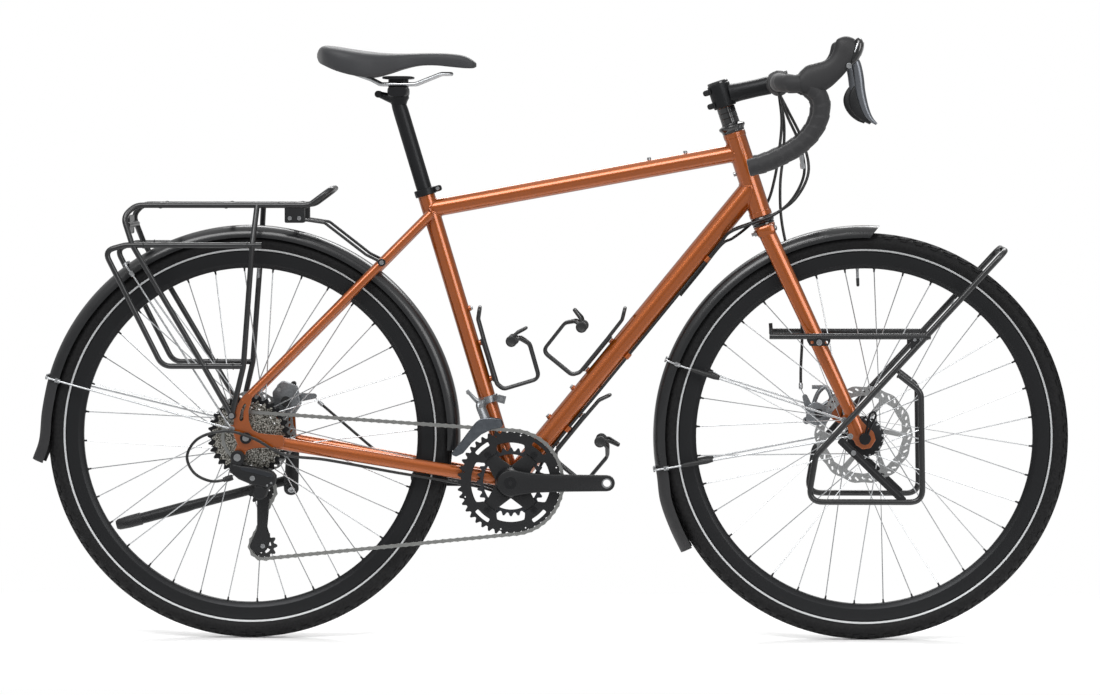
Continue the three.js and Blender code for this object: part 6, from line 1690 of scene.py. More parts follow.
# A block of tread that follows the casing between two turns round the wheel and two across it.
def addTreadBlock(shape, axle, around, across, skew):
    spread, steps = 3, 4
    rings = []
    for k in range(steps + 1):
        theta = math.radians(across[0] + (across[1] - across[0]) * k / steps)
        lean = skew * k / steps
        low = [(around[0] + (around[1] - around[0]) * i / spread + lean, -0.5) for i in range(spread + 1)]
        high = [(turn, 1.25) for turn, rise in reversed(low)]
        ring = []
        for turn, rise in low + high:
            radius, y = casingPoint(theta, rise)
            ring.append(polar(axle, radius, turn, y))
        rings.append(ring)
    addRings(shape, rings)


def makeTread(end, body, axle):
    size = {"count": 80}
    shape = newShape()
    step = 360 / size["count"]
    for hand in (-1, 1):
        shift = 0 if hand < 0 else step / 2
        addTreadBlock(shape, axle, (shift, shift + step * 0.84), (hand * 1.5, hand * 19), 1.2)
        addTreadBlock(shape, axle, (shift + 0.4, shift + step * 0.62), (hand * 23, hand * 40), 1.4)
        addTreadBlock(shape, axle, (shift + 1.2, shift + step * 0.66), (hand * 43, hand * 58), 0.4)
    makeRing(end + "_tyre_tread", shape, size["count"], axle, tyreRubber, body)


def makeRim(end, body, axle, valveDegrees):
    half = 12
    profile = [
        (rimInner, -3.4), (rimInner + 0.5, -5), (rimInner + 8.2, -half + 0.3), (rimInner + 9.4, -half),
        (rimRadius - 0.8, -half), (rimRadius, -half + 0.7), (rimRadius - 0.6, -half + 1.5),
        (rimRadius - 7.35, -half + 1.5), (rimRadius - 7.35, half - 1.5), (rimRadius - 0.6, half - 1.5),
        (rimRadius, half - 0.7), (rimRadius - 0.8, half), (rimInner + 9.4, half),
        (rimInner + 8.2, half - 0.3), (rimInner + 0.5, 5), (rimInner, 3.4),
    ]
    makeTurned(end + "_rim_hoop", profile, axle, leftward, 144, anodised, body, "black_alloy", (end + "_rim",), 30)
    makeValve(end, body, axle, valveDegrees)


# A presta valve: threaded stem with a ring nut at its foot, and a black cap.
def makeValve(end, body, axle, degrees):
    size = {"foot": 289, "tip": 257.4}
    inward = (axle - polar(axle, 100, degrees)).normalized()
    start = polar(axle, size["foot"], degrees)
    stem = [(0, 0), (2.9, 0), (2.9, 2.4), (2.3, 2.6)]
    for i in range(14):
        stem += [(2.6, 3.2 + i * 1.1), (2.2, 3.7 + i * 1.1)]
    stem += [(2.0, 20), (0, 20)]
    makeTurned(end + "_valve_stem", stem, start, inward, 20, boltSteel, body, "steel")
    length = size["foot"] - size["tip"]
    cap = [(0, 17.5), (2.8, 17.5), (2.9, 18.2), (2.7, length - 2), (1.8, length), (0, length)]
    makeTurned(end + "_valve_cap", cap, start, inward, 20, nylon, body, "black_plastic")


# Spokes cross three times: the two of each pair leave opposite faces of the flange and lean apart.
def makeSpokes(body, axle, hand, node, hubRadius, flange, firstDegrees):
    size = {"lean": 60, "radius": 1.0, "nippleFoot": 287.8, "offset": 3, "flange": 3}
    shape = newShape()
    for k, lean in enumerate((size["lean"], -size["lean"])):
        degrees = firstDegrees + 20 * k
        face = flange + 0.9 if lean > 0 else flange - size["flange"] - 0.9
        foot = polar(axle, hubRadius, degrees - lean, hand * face)
        head = polar(axle, hubRadius, degrees - lean, hand * (face + (-4.4 if lean > 0 else 4.4)))
        tip = polar(axle, size["nippleFoot"] - 3, degrees, hand * size["offset"])
        elbow = foot.lerp(tip, 0.012)
        addSweep(shape, roundedPath([head, foot, elbow, tip], 1.4, 4), size["radius"], 8)
        addTurned(shape, [(0, -0.6), (1.9, -0.6), (2.1, 0.2), (0, 1)], head,
                  leftward * hand * (-1 if lean > 0 else 1), 12)
    makeRing(node + "_wires", shape, 9, axle, stainless, body, (node,))


def makeNipples(end, body, axle, places):
    shape = newShape()
    for degrees, hand in places:
        foot = polar(axle, 289, degrees, hand * 3)
        inward = (polar(axle, 100, degrees, hand * 3) - foot).normalized()
        addTurned(shape, [(0, 0), (3.1, 0), (2.9, 1.3), (1.7, 1.9), (1.5, 6.4), (1.1, 7), (0, 7)],
                  foot, inward, 10)
    makeRing(end + "_spoke_nipples", shape, 18, axle, satinBlack, body)


frontHub = [
    (6.65, -49.9), (10.4, -49.9), (10.9, -49.4), (10.9, -38), (12.5, -36.2), (24, -35.2), (32.4, -33.4),
    (32.9, -32.8), (32.9, -30.6), (32.3, -30), (25.5, -29), (18, -22), (15.2, -12), (15.2, 12), (18, 22),
    (25.5, 29), (32.3, 30), (32.9, 30.6), (32.9, 32.8), (32.4, 33.4), (22, 34.8), (20, 36), (20, 39.3),
    (19.6, 39.6), (9, 39.6), (8.9, 49.5), (8.5, 49.9), (6.65, 49.9),
]
rearHub = [
    (5.85, -67.4), (8.5, -67.4), (8.9, -67), (8.9, -64.6), (12.9, -64.2), (12.9, -24.4), (20, -23), (29.4, -22),
    (29.9, -21.4), (29.9, -19.6), (29.3, -19), (20, -16), (15, -9), (15, 18), (19, 27), (29.3, 30), (29.9, 30.6),
    (29.9, 32.4), (29.4, 33), (21, 34.6), (20, 36), (20, 39.3), (19.6, 39.6), (8.9, 39.6), (8.9, 67), (8.5, 67.4),
    (5.85, 67.4),
]


def makeHub(end, profile, body, axle):
    makeTurned(end + "_hub_shell", profile, axle, leftward, 72, anodised, body, "black_alloy", (end + "_hub",), 30)


# The rotor: a waved band pierced with slanting slots, carried on six swept arms.
def makeRotor(end, body, axle, outer, material):
    size = {"outer": outer, "wave": 2.5, "waves": 14, "band": outer - 16.4, "hub": 23.9, "bore": 9.5,
            "low": 40.05, "high": 41.75, "swirl": 0.35, "slotHalf": 2.0}
    def wave(radius, angle, lag=0.0):
        ripple = size["wave"] * (0.5 - 0.5 * math.cos(size["waves"] * (angle + lag)))
        return circlePoint(radius - ripple, angle)

    rim = [wave(size["outer"], angle) for angle in roundAngles(size["waves"] * 8)]
    windows = []
    for i in range(6):
        start, width = i * math.pi / 3, math.pi / 3
        ends = [start + width * share for share in (0.07, 0.28, 0.5, 0.72, 0.93)]
        far = [wave(size["band"], angle, 0.12) for angle in ends]
        near = [circlePoint(size["hub"], a + size["swirl"]) for a in (ends[0] + 0.1, ends[2], ends[-1] - 0.1)]
        windows.append(softOutline(far + near[::-1], 3, 3))
    shape = newShape()
    holes = [ringOutline(size["bore"], 48), *windows, *rotorSlots(size)]
    addPlate(shape, [rim, *holes], size["low"], size["high"], axle, 0.2)
    makePiece(end + "_rotor_disc", shape, material, body, "steel", (end + "_rotor",), 30)
    makeLockring(end, body, axle)


# Three slots to each wave, slanting across the band in turn.
def rotorSlots(size):
    slots = []
    for i in range(size["waves"] * 3):
        angle = 2 * math.pi * (i + 0.5) / (size["waves"] * 3)
        inset, reach = ((7.5, 4.3), (9.5, 3.2), (6.3, 2.6))[i % 3]
        lean = angle + 0.9
        along, across = (math.cos(lean), math.sin(lean)), (-math.sin(lean), math.cos(lean))
        centre = circlePoint(size["outer"] - inset, angle)
        outline = []
        for turn in roundAngles(12):
            push = reach * (1 if math.cos(turn) > 0 else -1) * 0.55
            a = push + size["slotHalf"] * 0.9 * math.cos(turn)
            b = size["slotHalf"] * math.sin(turn) * 0.8
            outline.append((centre[0] + along[0] * a + across[0] * b, centre[1] + along[1] * a + across[1] * b))
        slots.append(outline)
    return slots


# The splined ring that locks the rotor on.
def makeLockring(end, body, axle):
    outline = [circlePoint(16.4 if i % 4 < 2 else 15.2, angle) for i, angle in enumerate(roundAngles(64))]
    shape = newShape()
    addPlate(shape, [outline, ringOutline(9.4, 40)], 41.8, 44.6, axle, 0.3)
    makePiece(end + "_rotor_lockring", shape, anodised, body, "black_alloy")


makeTyre("front", "front_wheel", frontAxle)
makeTyre("rear", "rear_wheel", rearAxle)
makeRim("front", "front_wheel", frontAxle, 92.5)
makeRim("rear", "rear_wheel", rearAxle, 87)
makeSpokes("front_wheel", frontAxle, -1, "front_spokes_right", 30, 33, 6.75)
makeSpokes("front_wheel", frontAxle, 1, "front_spokes_left", 30, 33, 16.75)
makeSpokes("rear_wheel", rearAxle, -1, "rear_spokes_right", 27, 22, 2)
makeSpokes("rear_wheel", rearAxle, 1, "rear_spokes_left", 27, 33, 12)
makeNipples("front", "front_wheel", frontAxle, [(6.75, -1), (16.75, 1)])
makeNipples("rear", "rear_wheel", rearAxle, [(2, -1), (12, 1)])
makeHub("front", frontHub, "front_wheel", frontAxle)
makeHub("rear", rearHub, "rear_wheel", rearAxle)
makeRotor("front", "front_wheel", frontAxle, 84.9, rotorFront)
makeRotor("rear", "rear_wheel", rearAxle, 74, rotorRear)
print("wheels made")


# Drivetrain

chainY, chainPitch, armLength = -45, 12.7, 165
guidePulley = placed(rearAxle, 24.1, -93.1)
tensionPulley = placed(rearAxle, 25.8, -187)


def pitchRadius(teeth):
    return chainPitch / (2 * math.sin(math.pi / teeth))


def toothedOutline(teeth, tall=2.6, start=0.0):
    pitch = pitchRadius(teeth)
    root = pitch - 3.9
    profile = [(-0.5, root), (-0.36, root + 0.7), (-0.26, pitch - 1), (-0.1, pitch + tall), (0.1, pitch + tall),
               (0.26, pitch - 1), (0.36, root + 0.7)]
    return [circlePoint(radius, start + 2 * math.pi * (i + share) / teeth)
            for i in range(teeth) for share, radius in profile]


# An opening between two radii and two angles, with soft corners.
def windowOutline(inner, outer, start, end, soft=2.5, steps=5):
    angles = [start + (end - start) * i / steps for i in range(steps + 1)]
    ring = [circlePoint(outer, a) for a in angles] + [circlePoint(inner, a) for a in reversed(angles)]
    return softOutline(ring, soft, 3)


def makeCassette():
    size = {"bore": 13.6, "thickness": 1.7}
    teeth = [34, 30, 26, 23, 21, 18, 15, 13, 11]
    places = [-27.95, -32.2, -36.5, -40.75, -45, -49.2, -53.4, -57.4, -61.1]
    large, cluster = newShape(), newShape()
    for i, (count, place) in enumerate(zip(teeth, places)):
        root = pitchRadius(count) - 3.9
        holes = [ringOutline(size["bore"], 40)]
        if root > 34:
            arms = 7 if i else 6
            inner = 22 if i else 24
            for k in range(arms):
                start = 2 * math.pi * k / arms + 0.21 * i
                holes.append(windowOutline(inner, root - 6.5, start, start + 2 * math.pi / arms - 0.3))
        target = large if i == 0 else cluster
        addPlate(target, [toothedOutline(count, 2.4, 0.05 * i), *holes],
                 place - size["thickness"] / 2, place + size["thickness"] / 2, rearAxle, 0.25)
    for before, after in zip(places, places[1:]):
        addTurned(cluster, rectangle(size["bore"], 17.5, after + 0.8, before - 0.8), rearAxle, leftward, 36)
    makePiece("cassette_large_sprocket", large, anodised, "cassette", "steel", ("cassette",), 30)
    makePiece("cassette_sprockets", cluster, sprocketSteel, "cassette", "steel", (), 30)
    ring = [(13.7, -61.9), (15.6, -61.9), (16.2, -61.4), (16.2, -60.2), (13.7, -60.2)]
    makeTurned("cassette_lockring", ring, rearAxle, leftward, 48, boltSteel, "cassette", "steel")


# The loop of the chain: over the sprocket, round both pulleys and round the chainring.
def chainLoop():
    circles = [(rearAxle, 42.6, 1), (guidePulley, 22.5, -1), (tensionPulley, 22.5, 1), (bracket, 89.1, 1)]
    joints = []
    for i, (centre, radius, turn) in enumerate(circles):
        other, otherRadius, otherTurn = circles[(i + 1) % 4]
        dx, dz = other.x - centre.x, other.z - centre.z
        travel = math.atan2(dz, dx) + math.asin((turn * radius - otherTurn * otherRadius) / math.hypot(dx, dz))
        joints.append((travel - turn * math.pi / 2, travel - otherTurn * math.pi / 2))
    path = []
    for i, (centre, radius, turn) in enumerate(circles):
        arrive, leave = joints[i - 1][1], joints[i][0]
        swept = ((leave - arrive) * turn) % (2 * math.pi)
        steps = max(3, int(swept / math.radians(4)))
        for k in range(steps + 1):
            path.append(polar(centre, radius, math.degrees(arrive + turn * swept * k / steps), chainY))
    return path


def addLinkPlate(shape, low, high, half, waist):
    reach = chainPitch / 2
    outline = arcOutline(half, -118, 118, 8, (reach, 0)) + [(0, waist)]
    outline += [(-x, -z) for x, z in outline[:9]]
    outline.append((0, -waist))
    addPlate(shape, [outline], low, high, Vector(), 0.2)


# Outer and inner links in turn along the loop, set there by Geometry Nodes.
def makeChain():
    size = {"half": 3.55, "waist": 2.5, "pin": 1.7, "roller": 3.6}
    loop = chainLoop()
    length = sum((b - a).length for a, b in zip(loop, loop[1:] + loop[:1]))
    count = 2 * round(length / chainPitch / 2)
    outer, inner = newShape(), newShape()
    for hand in (-1, 1):
        addLinkPlate(outer, *sorted((hand * 1.72, hand * 2.38)), size["half"], size["waist"])
        addLinkPlate(inner, *sorted((hand * 0.98, hand * 1.64)), size["half"], size["waist"])
    for x in (-chainPitch / 2, chainPitch / 2):
        addTurned(outer, rectangle(0, size["pin"], -2.5, 2.5), at(x, 0, 0), leftward, 10)
        addTurned(inner, rectangle(0, size["roller"], -0.96, 0.96),
                  at(x, 0, 0), leftward, 12)
    curve = bpy.data.curves.new("chain_path", "CURVE")
    curve.dimensions = "3D"
    spline = curve.splines.new("POLY")
    spline.points.add(len(loop) - 1)
    for spot, place in zip(spline.points, loop):
        spot.co = (*(place * mm), 1)
    spline.use_cyclic_u = True
    path = bpy.data.objects.new("chain_path", curve)
    bpy.context.scene.collection.objects.link(path)
    piece = looseObject("chain_links", outer, 30)
    other = looseObject("chain_inner_link", inner, 30)
    applyTree(piece, linkTree, {"Path": path, "Other Link": other, "Count": count, "Material": chainSteel}, 30)
    bpy.data.objects.remove(path)
    bpy.data.objects.remove(other)
    settle(piece, "frame", ("chain",))


def makePulley(node, centre):
    size = {"bore": 4.35, "half": 1.25, "teeth": 11}
    shape = newShape()
    holes = [ringOutline(size["bore"], 24)]
    for k in range(5):
        holes.append(windowOutline(8.5, 13.5, k * math.pi * 2 / 5, k * math.pi * 2 / 5 + 0.75, 1.2))
    addPlate(shape, [toothedOutline(size["teeth"], 1.6), *holes], chainY - size["half"], chainY + size["half"],
             centre, 0.3)
    makePiece(node + "_wheel", shape, nylon, node, "black_plastic", (node,), 30)


# The four bolts that hold the chainrings to the spider, as angles round the bracket.
ringBoltDegrees = (50, 130, 230, 310)


def nearestBolt(degrees):
    return min(abs((degrees - centre + 180) % 360 - 180) for centre in ringBoltDegrees)


# The big ring: teeth outside, four lobes for its bolts inside, a long slot above each bolt.
def makeOuterRing():
    size = {"low": -46.4, "high": -43.6, "between": 68, "lobe": 55.5, "spread": 13, "blend": 8}

    def innerEdge(degrees):
        share = min(1, max(0, (nearestBolt(degrees) - size["spread"]) / size["blend"]))
        share = share * share * (3 - 2 * share)
        return circlePoint(size["lobe"] + (size["between"] - size["lobe"]) * share, math.radians(degrees))

    holes = [[innerEdge(degrees) for degrees in range(0, 360, 2)]]
    for centre in ringBoltDegrees:
        holes.append(windowOutline(72.6, 79.4, math.radians(centre - 10.5), math.radians(centre + 10.5), 3, 6))
        holes.append(ringOutline(4.6, 20, circlePoint(61.5, math.radians(centre))))
    for degrees in range(18, 378, 30):
        if nearestBolt(degrees) > 14:
            holes.append(ringOutline(1.3, 10, circlePoint(82, math.radians(degrees))))
    shape = newShape()
    addPlate(shape, [toothedOutline(44), *holes], size["low"], size["high"], bracket, 0.5)
    makePiece("chainring_outer_plate", shape, satinBlack, "crankset", "black_alloy", ("chainring_outer",), 30)


def makeInnerRing():
    size = {"low": -38, "high": -35.4, "teeth": 28, "bore": 47.5}
    shape = newShape()
    addPlate(shape, [toothedOutline(size["teeth"], 2.3), ringOutline(size["bore"], 72)], size["low"],
             size["high"], bracket, 0.4)
    makePiece("chainring_inner_plate", shape, graphite, "crankset", "black_alloy", ("chainring_inner",), 30)


def spiderOutline():
    outline = []
    for centre in ringBoltDegrees:
        heading = math.radians(centre)
        along, across = Vector(circlePoint(1, heading)), Vector((-math.sin(heading), math.cos(heading)))
        for a, b in ((20, -18), (42, -13), (60, -9.5), (70, -7), (73, 0), (70, 7), (60, 9.5), (42, 13), (20, 18)):
            outline.append(tuple(along * a + across * b))
    return softOutline(outline, 9, 4)


# The arm from its boss to the pedal eye, seen from the side.
def armOutline(heading):
    outline = arcOutline(22.5, 70, 290, 12) + [(40, -16.6), (90, -14.6)]
    outline += arcOutline(13.7, -90, 90, 8, (armLength, 0)) + [(90, 14.6), (40, 16.6)]
    return [(heading * x, z) for x, z in outline]


def makeCranks():
    size = {"bolt": 61.5, "hole": 6.9}
    right = newShape()
    addPlate(right, [spiderOutline(), ringOutline(11.5, 40)], -43.2, -38.55, bracket, 1.3)
    hole = ringOutline(size["hole"], 32, (armLength, 0))
    addPlate(right, [armOutline(1), hole], -66, -54.2, bracket, 2.2)
    addTurned(right, [(11.5, -38.5), (23.8, -38.5), (27, -43), (24.5, -48), (22.5, -56), (21, -62), (11.5, -62)],
              bracket, leftward, 64)
    makePiece("crank_right_arm", right, satinBlack, "crankset", "black_alloy", ("crank_right",), 35)
    axle = [(8.4, -64.6), (11.9, -64.6), (11.9, 59.6), (11.5, 60), (8.4, 60)]
    makeTurned("crank_axle", axle, bracket, leftward, 48, boltSteel, "crankset", "steel")
    left = newShape()
    hole = ringOutline(size["hole"], 32, (-armLength, 0))
    addPlate(left, [armOutline(-1), ringOutline(12.3, 40), hole], 50, 66, bracket, 2.2)
    makePiece("crank_left_arm", left, satinBlack, "crankset", "black_alloy", ("crank_left",), 35)
    caps = newShape()
    addTurned(caps, [(0, -65), (3.4, -65), (3.8, -66.4), (10.8, -66.4), (11.6, -65.8), (11.6, -63), (0, -63)],
              bracket, leftward, 40)
    addTurned(caps, [(0, 60.4), (10.8, 60.4), (11.9, 61.4), (11.9, 65), (11, 65.8), (5, 65.8), (4.5, 63), (0, 63)],
              bracket, leftward, 40)
    for degrees in ringBoltDegrees:
        place = polar(bracket, size["bolt"], degrees, -46.2)
        addTurned(caps, [(0, -8), (4.4, -8), (4.4, 0), (5.6, 0.2), (5.6, 0.9), (5.1, 1.4), (2.7, 1.4), (2.4, 0.2),
                         (0, 0.2)], place, -leftward, 24)
    makePiece("crank_bolts", caps, anodised, "crankset", "black_alloy")
    inserts = newShape()
    for hand, low, high in ((1, -66, -54.2), (-1, 50, 66)):
        place = placed(bracket, hand * armLength, 0)
        addTurned(inserts, [(6.5, low + 0.2), (8.6, low + 0.1), (8.6, low + 0.9), (7, low + 0.9),
                            (7, high - 0.9), (8.6, high - 0.9), (8.6, high - 0.1), (6.5, high - 0.2)],
                  place, leftward, 32)
    makePiece("pedal_eye_threads", inserts, boltSteel, "crankset", "steel")


# Places on the photograph's front derailleur, ahead of and above the bracket's centre
changerPlate = [(-12, 95), (-17, 107), (-36, 109.5), (-54, 106), (-70, 88), (-85, 68), (-97, 54), (-101, 47),
                (-93, 44), (-81, 50), (-67, 67), (-50, 82), (-32, 91)]


def makeFrontDerailleur():
    size = {"height": 145, "band": 12, "bandRadius": 18.6}
    cage, body = newShape(), newShape()
    outline = softOutline(changerPlate, 4, 3)
    addPlate(cage, [outline], -51.3, -50.1, bracket, 0.4)
    inner = [(x * 0.98, z * 0.98 + 4) for x, z in changerPlate]
    addPlate(cage, [softOutline(inner, 4, 3)], -40.4, -39.2, bracket, 0.4)
    for x, z, across in ((-95, 49, 3.2), (-22, 106, 5), (-44, 107.5, 4)):
        addBar(cage, placed(bracket, x, z, -51.2), placed(bracket, x, z, -39.3), across, None, 12, 0.5, 0.3)
    addFold(cage)
    makePiece("front_derailleur_cage", cage, cageSteel, "frame", "polished_alloy", ("front_derailleur",), 35)
    low = bracket + seatUp * (size["height"] - size["band"] / 2)
    profile = [(seatTubeRadius + 0.35, 0), (size["bandRadius"] - 0.6, 0), (size["bandRadius"], 0.6),
               (size["bandRadius"], size["band"] - 0.6), (size["bandRadius"] - 0.6, size["band"]),
               (seatTubeRadius + 0.35, size["band"])]
    addTurned(body, profile, low, seatUp, 48)
    top, foot, horn = (placed(bracket, x, z, y) for x, z, y in ((-52, 130, -30), (-40, 97, -35), (-76, 156, -24)))
    post = bracket + seatUp * size["height"] + at(-6, -13, -1)
    addSweep(body, smoothPath([post, post.lerp(top, 0.5) + at(0, -3, 1), top, foot.lerp(top, 0.5), foot], 6),
             9, 20, flat=0.62, roundEnds=2)
    addSweep(body, smoothPath([top + at(2, 0, 2), top.lerp(horn, 0.5) + at(1, 0, -1), horn], 6),
             [6, 5.6, 5, 4.6, 4.2, 3.9, 3.6, 3.4, 3.3, 3.2, 3.1, 3, 3], 14, flat=0.5, roundEnds=1)
    addPlateBox(body, placed(bracket, -17, 141, -22), (14, 8, 13), 76)
    makePiece("front_derailleur_body", body, castAlloy, "frame", "polished_alloy")
    bolts = newShape()
    for x, z, y in ((-52, 130, -37), (-42, 99, -40.5), (-17, 141, -25.5)):
        addBolt(bolts, placed(bracket, x, z, y), -leftward, 3.4, 2.4)
    addBolt(bolts, placed(bracket, -74, 152, -27), -leftward, 3, 2)
    makePiece("front_derailleur_bolts", bolts, boltSteel, "frame", "steel")


# The rolled top edge of the outer cage plate, which catches the light.
def addFold(shape):
    ridge = [placed(bracket, x, z, -50.9) for x, z in changerPlate[1:8]]
    addSweep(shape, smoothPath(ridge, 5), 1.1, 10, roundEnds=0.8)


# Shares of the distance between the pulleys, from the guide pulley
pulleyCage = [(-0.085, 0.128), (0.106, 0.128), (0.128, -0.213), (0.085, -0.66), (0.149, -0.894),
              (0.064, -1.106), (-0.128, -1.128), (-0.234, -1.021), (-0.085, -0.681)]
# The body's outline, ahead of and above the rear axle
changerBody = [(-24, -41), (-6, -46), (18, -49), (46, -56), (53, -64), (50, -80), (36, -86), (12, -80), (-12, -70),
               (-26, -58)]


def makeRearDerailleur():
    span = (guidePulley - tensionPulley).length
    cage, body, dark = newShape(), newShape(), newShape()
    outline = softOutline([(x * span, z * span) for x, z in pulleyCage], 7, 4)
    windows = [
        softOutline([(-0.03 * span, -0.2 * span), (0.07 * span, -0.22 * span), (0.045 * span, -0.6 * span),
                     (-0.035 * span, -0.6 * span)], 4, 3),
    ]
    addPlate(cage, [outline], -54.1, -52.6, guidePulley, 0.4)
    addPlate(cage, [outline, *windows], -37.4, -35.9, guidePulley, 0.4)
    for centre in (guidePulley, tensionPulley):
        addTurned(cage, rectangle(0, 3.9, -53, -37), centre, leftward, 24)
    makePiece("rear_derailleur_cage", cage, satinBlack, "frame", "black_alloy", ("rear_derailleur",), 35)
    addTurned(body, [(0, -90), (10.6, -90), (11.8, -89), (11.8, -75), (11, -74.3), (0, -74.3)],
              hangerPlace, leftward, 40)
    addPlate(body, [softOutline(changerBody, 7, 4)], -88, -69, rearAxle, 4)
    addTurned(body, [(0, -88), (10, -88), (11.8, -86.4), (11.8, -56), (10, -54.2), (0, -54.2)],
              guidePulley, leftward, 40)
    addSweep(body, [placed(rearAxle, -14, -36, -81), placed(rearAxle, -17, -54, -79)], [10.5, 11.5], 20, flat=0.7)
    addSweep(body, [placed(rearAxle, 30, -72, -76), placed(rearAxle, 25, -92, -72)], [13, 12], 20, flat=0.9)
    makePiece("rear_derailleur_body", body, satinBlack, "frame", "black_alloy")
    stripe = newShape()
    addPlate(stripe, [softOutline([(-8, -49), (14, -51.5), (44, -59), (49, -65), (40, -66), (12, -59), (-8, -53.5)],
                                  2.4, 3)], -89, -87.6, rearAxle, 0.5)
    makePiece("rear_derailleur_face", stripe, graphite, "frame", "polished_alloy")
    for place, radius, y in ((hangerPlace, 6.2, -90), (tensionPulley, 4, -54), (placed(rearAxle, 12, -68), 4.5, -88)):
        addBolt(dark, beside(place, y), -leftward, radius, 1.8)
    for x, z in ((44, -76), (37, -80)):
        addBolt(dark, placed(rearAxle, x, z, -88), -leftward, 1.9, 1.2)
    makePiece("rear_derailleur_bolts", dark, boltSteel, "frame", "steel")
    makeAdjuster()


# The ribbed barrel that takes the gear cable into the derailleur.
def makeAdjuster():
    start, end = placed(rearAxle, -38, -71, -86), placed(rearAxle, -20, -66, -83)
    profile = [(0, 0), (4.2, 0), (4.2, 4)]
    for i in range(5):
        profile += [(5.2, 4.6 + i * 2.2), (5.2, 5.9 + i * 2.2), (4.8, 6.3 + i * 2.2)]
    profile += [(4.4, 17), (0, 17)]
    makeTurned("rear_derailleur_adjuster", profile, start, (end - start).normalized(), 24, nylon, "frame",
               "black_plastic")


makeCassette()
makeChain()
makePulley("guide_pulley", guidePulley)
makePulley("tension_pulley", tensionPulley)
makeOuterRing()
makeInnerRing()
makeCranks()
makeFrontDerailleur()
makeRearDerailleur()
print("drivetrain made")


# Rear rack: bent and welded tube

rackRadius, rackHalf, deckHalf, deckReach = 4.8, 76, 52, 178
deckZ, railZ, lowRailZ = rearAxle.z + 396.5, rearAxle.z + 328.9, rearAxle.z + 122.5
deckFrontX, deckRearX = rearAxle.x + 107, rearAxle.x - deckReach
rackEyelet, rackFootY = placed(rearAxle, -23.7, 38.5), 80.4


def rackAt(share, y, z):
    return at(rearAxle.x + deckReach * share, y, z)


def addTube(shape, points, radius, bend, sides=20, start=leftward, roundEnds=0.0):
    addSweep(shape, roundedPath(points, bend, 8), radius, sides, start=start, roundEnds=roundEnds)


def makeRearRack():
    size = {"bend": 26, "hoopX": 144.7, "hoopZ": 424.5}
    tubes, fittings, bolts = newShape(), newShape(), newShape()
    hoopX, hoopZ = rearAxle.x + size["hoopX"], rearAxle.z + size["hoopZ"]
    side = [
        beside(rackEyelet, rackFootY), rackAt(-0.404, rackHalf, lowRailZ), rackAt(-1.084, rackHalf, railZ),
        rackAt(-1.18, (rackHalf + deckHalf) / 2, deckZ - 4 * rackRadius), rackAt(-1.067, deckHalf, deckZ),
        at(deckFrontX, deckHalf, deckZ), at(hoopX, deckHalf, hoopZ), at(hoopX, 0, hoopZ),
    ]
    addTube(tubes, side + [mirrored(place) for place in side[-2::-1]], rackRadius, size["bend"], start=upward)
    for hand in (-1, 1):
        y = hand * rackHalf
        addTube(tubes, [
            beside(rackEyelet, hand * rackFootY), rackAt(-0.022, y, lowRailZ), rackAt(0.067, y, railZ),
            rackAt(0.102, hand * deckHalf, deckZ),
        ], rackRadius, size["bend"])
        addTube(tubes, [
            rackAt(-0.014, y, lowRailZ), rackAt(-0.803, y, lowRailZ), rackAt(-1.354, y, railZ - 2 * rackRadius),
            rackAt(-1.152, y, railZ), rackAt(0.157, y, railZ),
        ], rackRadius, size["bend"], roundEnds=1.2)
        addRackFoot(fittings, bolts, hand)
        addRackStay(fittings, tubes, bolts, hand)
    for share in (0.105, 0.5, 0.93):
        x = deckRearX + (deckFrontX - deckRearX) * share
        addBar(tubes, at(x, -deckHalf, deckZ), at(x, deckHalf, deckZ), rackRadius * 0.96, None, 20)
        for hand in (-1, 1):
            addCollar(tubes, at(x, hand * (deckHalf - rackRadius), deckZ), leftward, rackRadius * 0.96)
    for hand in (-1, 1):
        for share, z in ((-0.12, lowRailZ), (-0.37, lowRailZ), (0.02, railZ), (-0.98, railZ)):
            addCollar(tubes, rackAt(share, hand * rackHalf, z), at(1, 0, 0), rackRadius)
    makePiece("rear_rack_tubes", tubes, powderCoat, "frame", "black_alloy", ("rear_rack",), 40)
    makePiece("rear_rack_fittings", fittings, satinBlack, "frame", "black_alloy")
    makePiece("rear_rack_bolts", bolts, boltSteel, "frame", "steel")
    makeLightPlate()


# The bead of weld round the end of a tube.
def addCollar(shape, place, direction, radius, bead=1.1):
    side = direction.orthogonal().normalized()
    other = direction.normalized().cross(side)
    path = [place + (side * math.cos(a) + other * math.sin(a)) * (radius + 0.2) for a in roundAngles(24)]
    addSweep(shape, path, bead, 8, closed=True)


def addRackFoot(fittings, bolts, hand):
    centre = beside(rackEyelet, 0)
    inner = dropoutOuter + 0.4
    addTurned(fittings, [(2.6, inner), (6.8, inner), (6.8, 84.4), (6.2, 85), (2.6, 85)], centre, leftward * hand, 28)
    addBolt(bolts, beside(rackEyelet, hand * 85), leftward * hand, 4.6, 3)


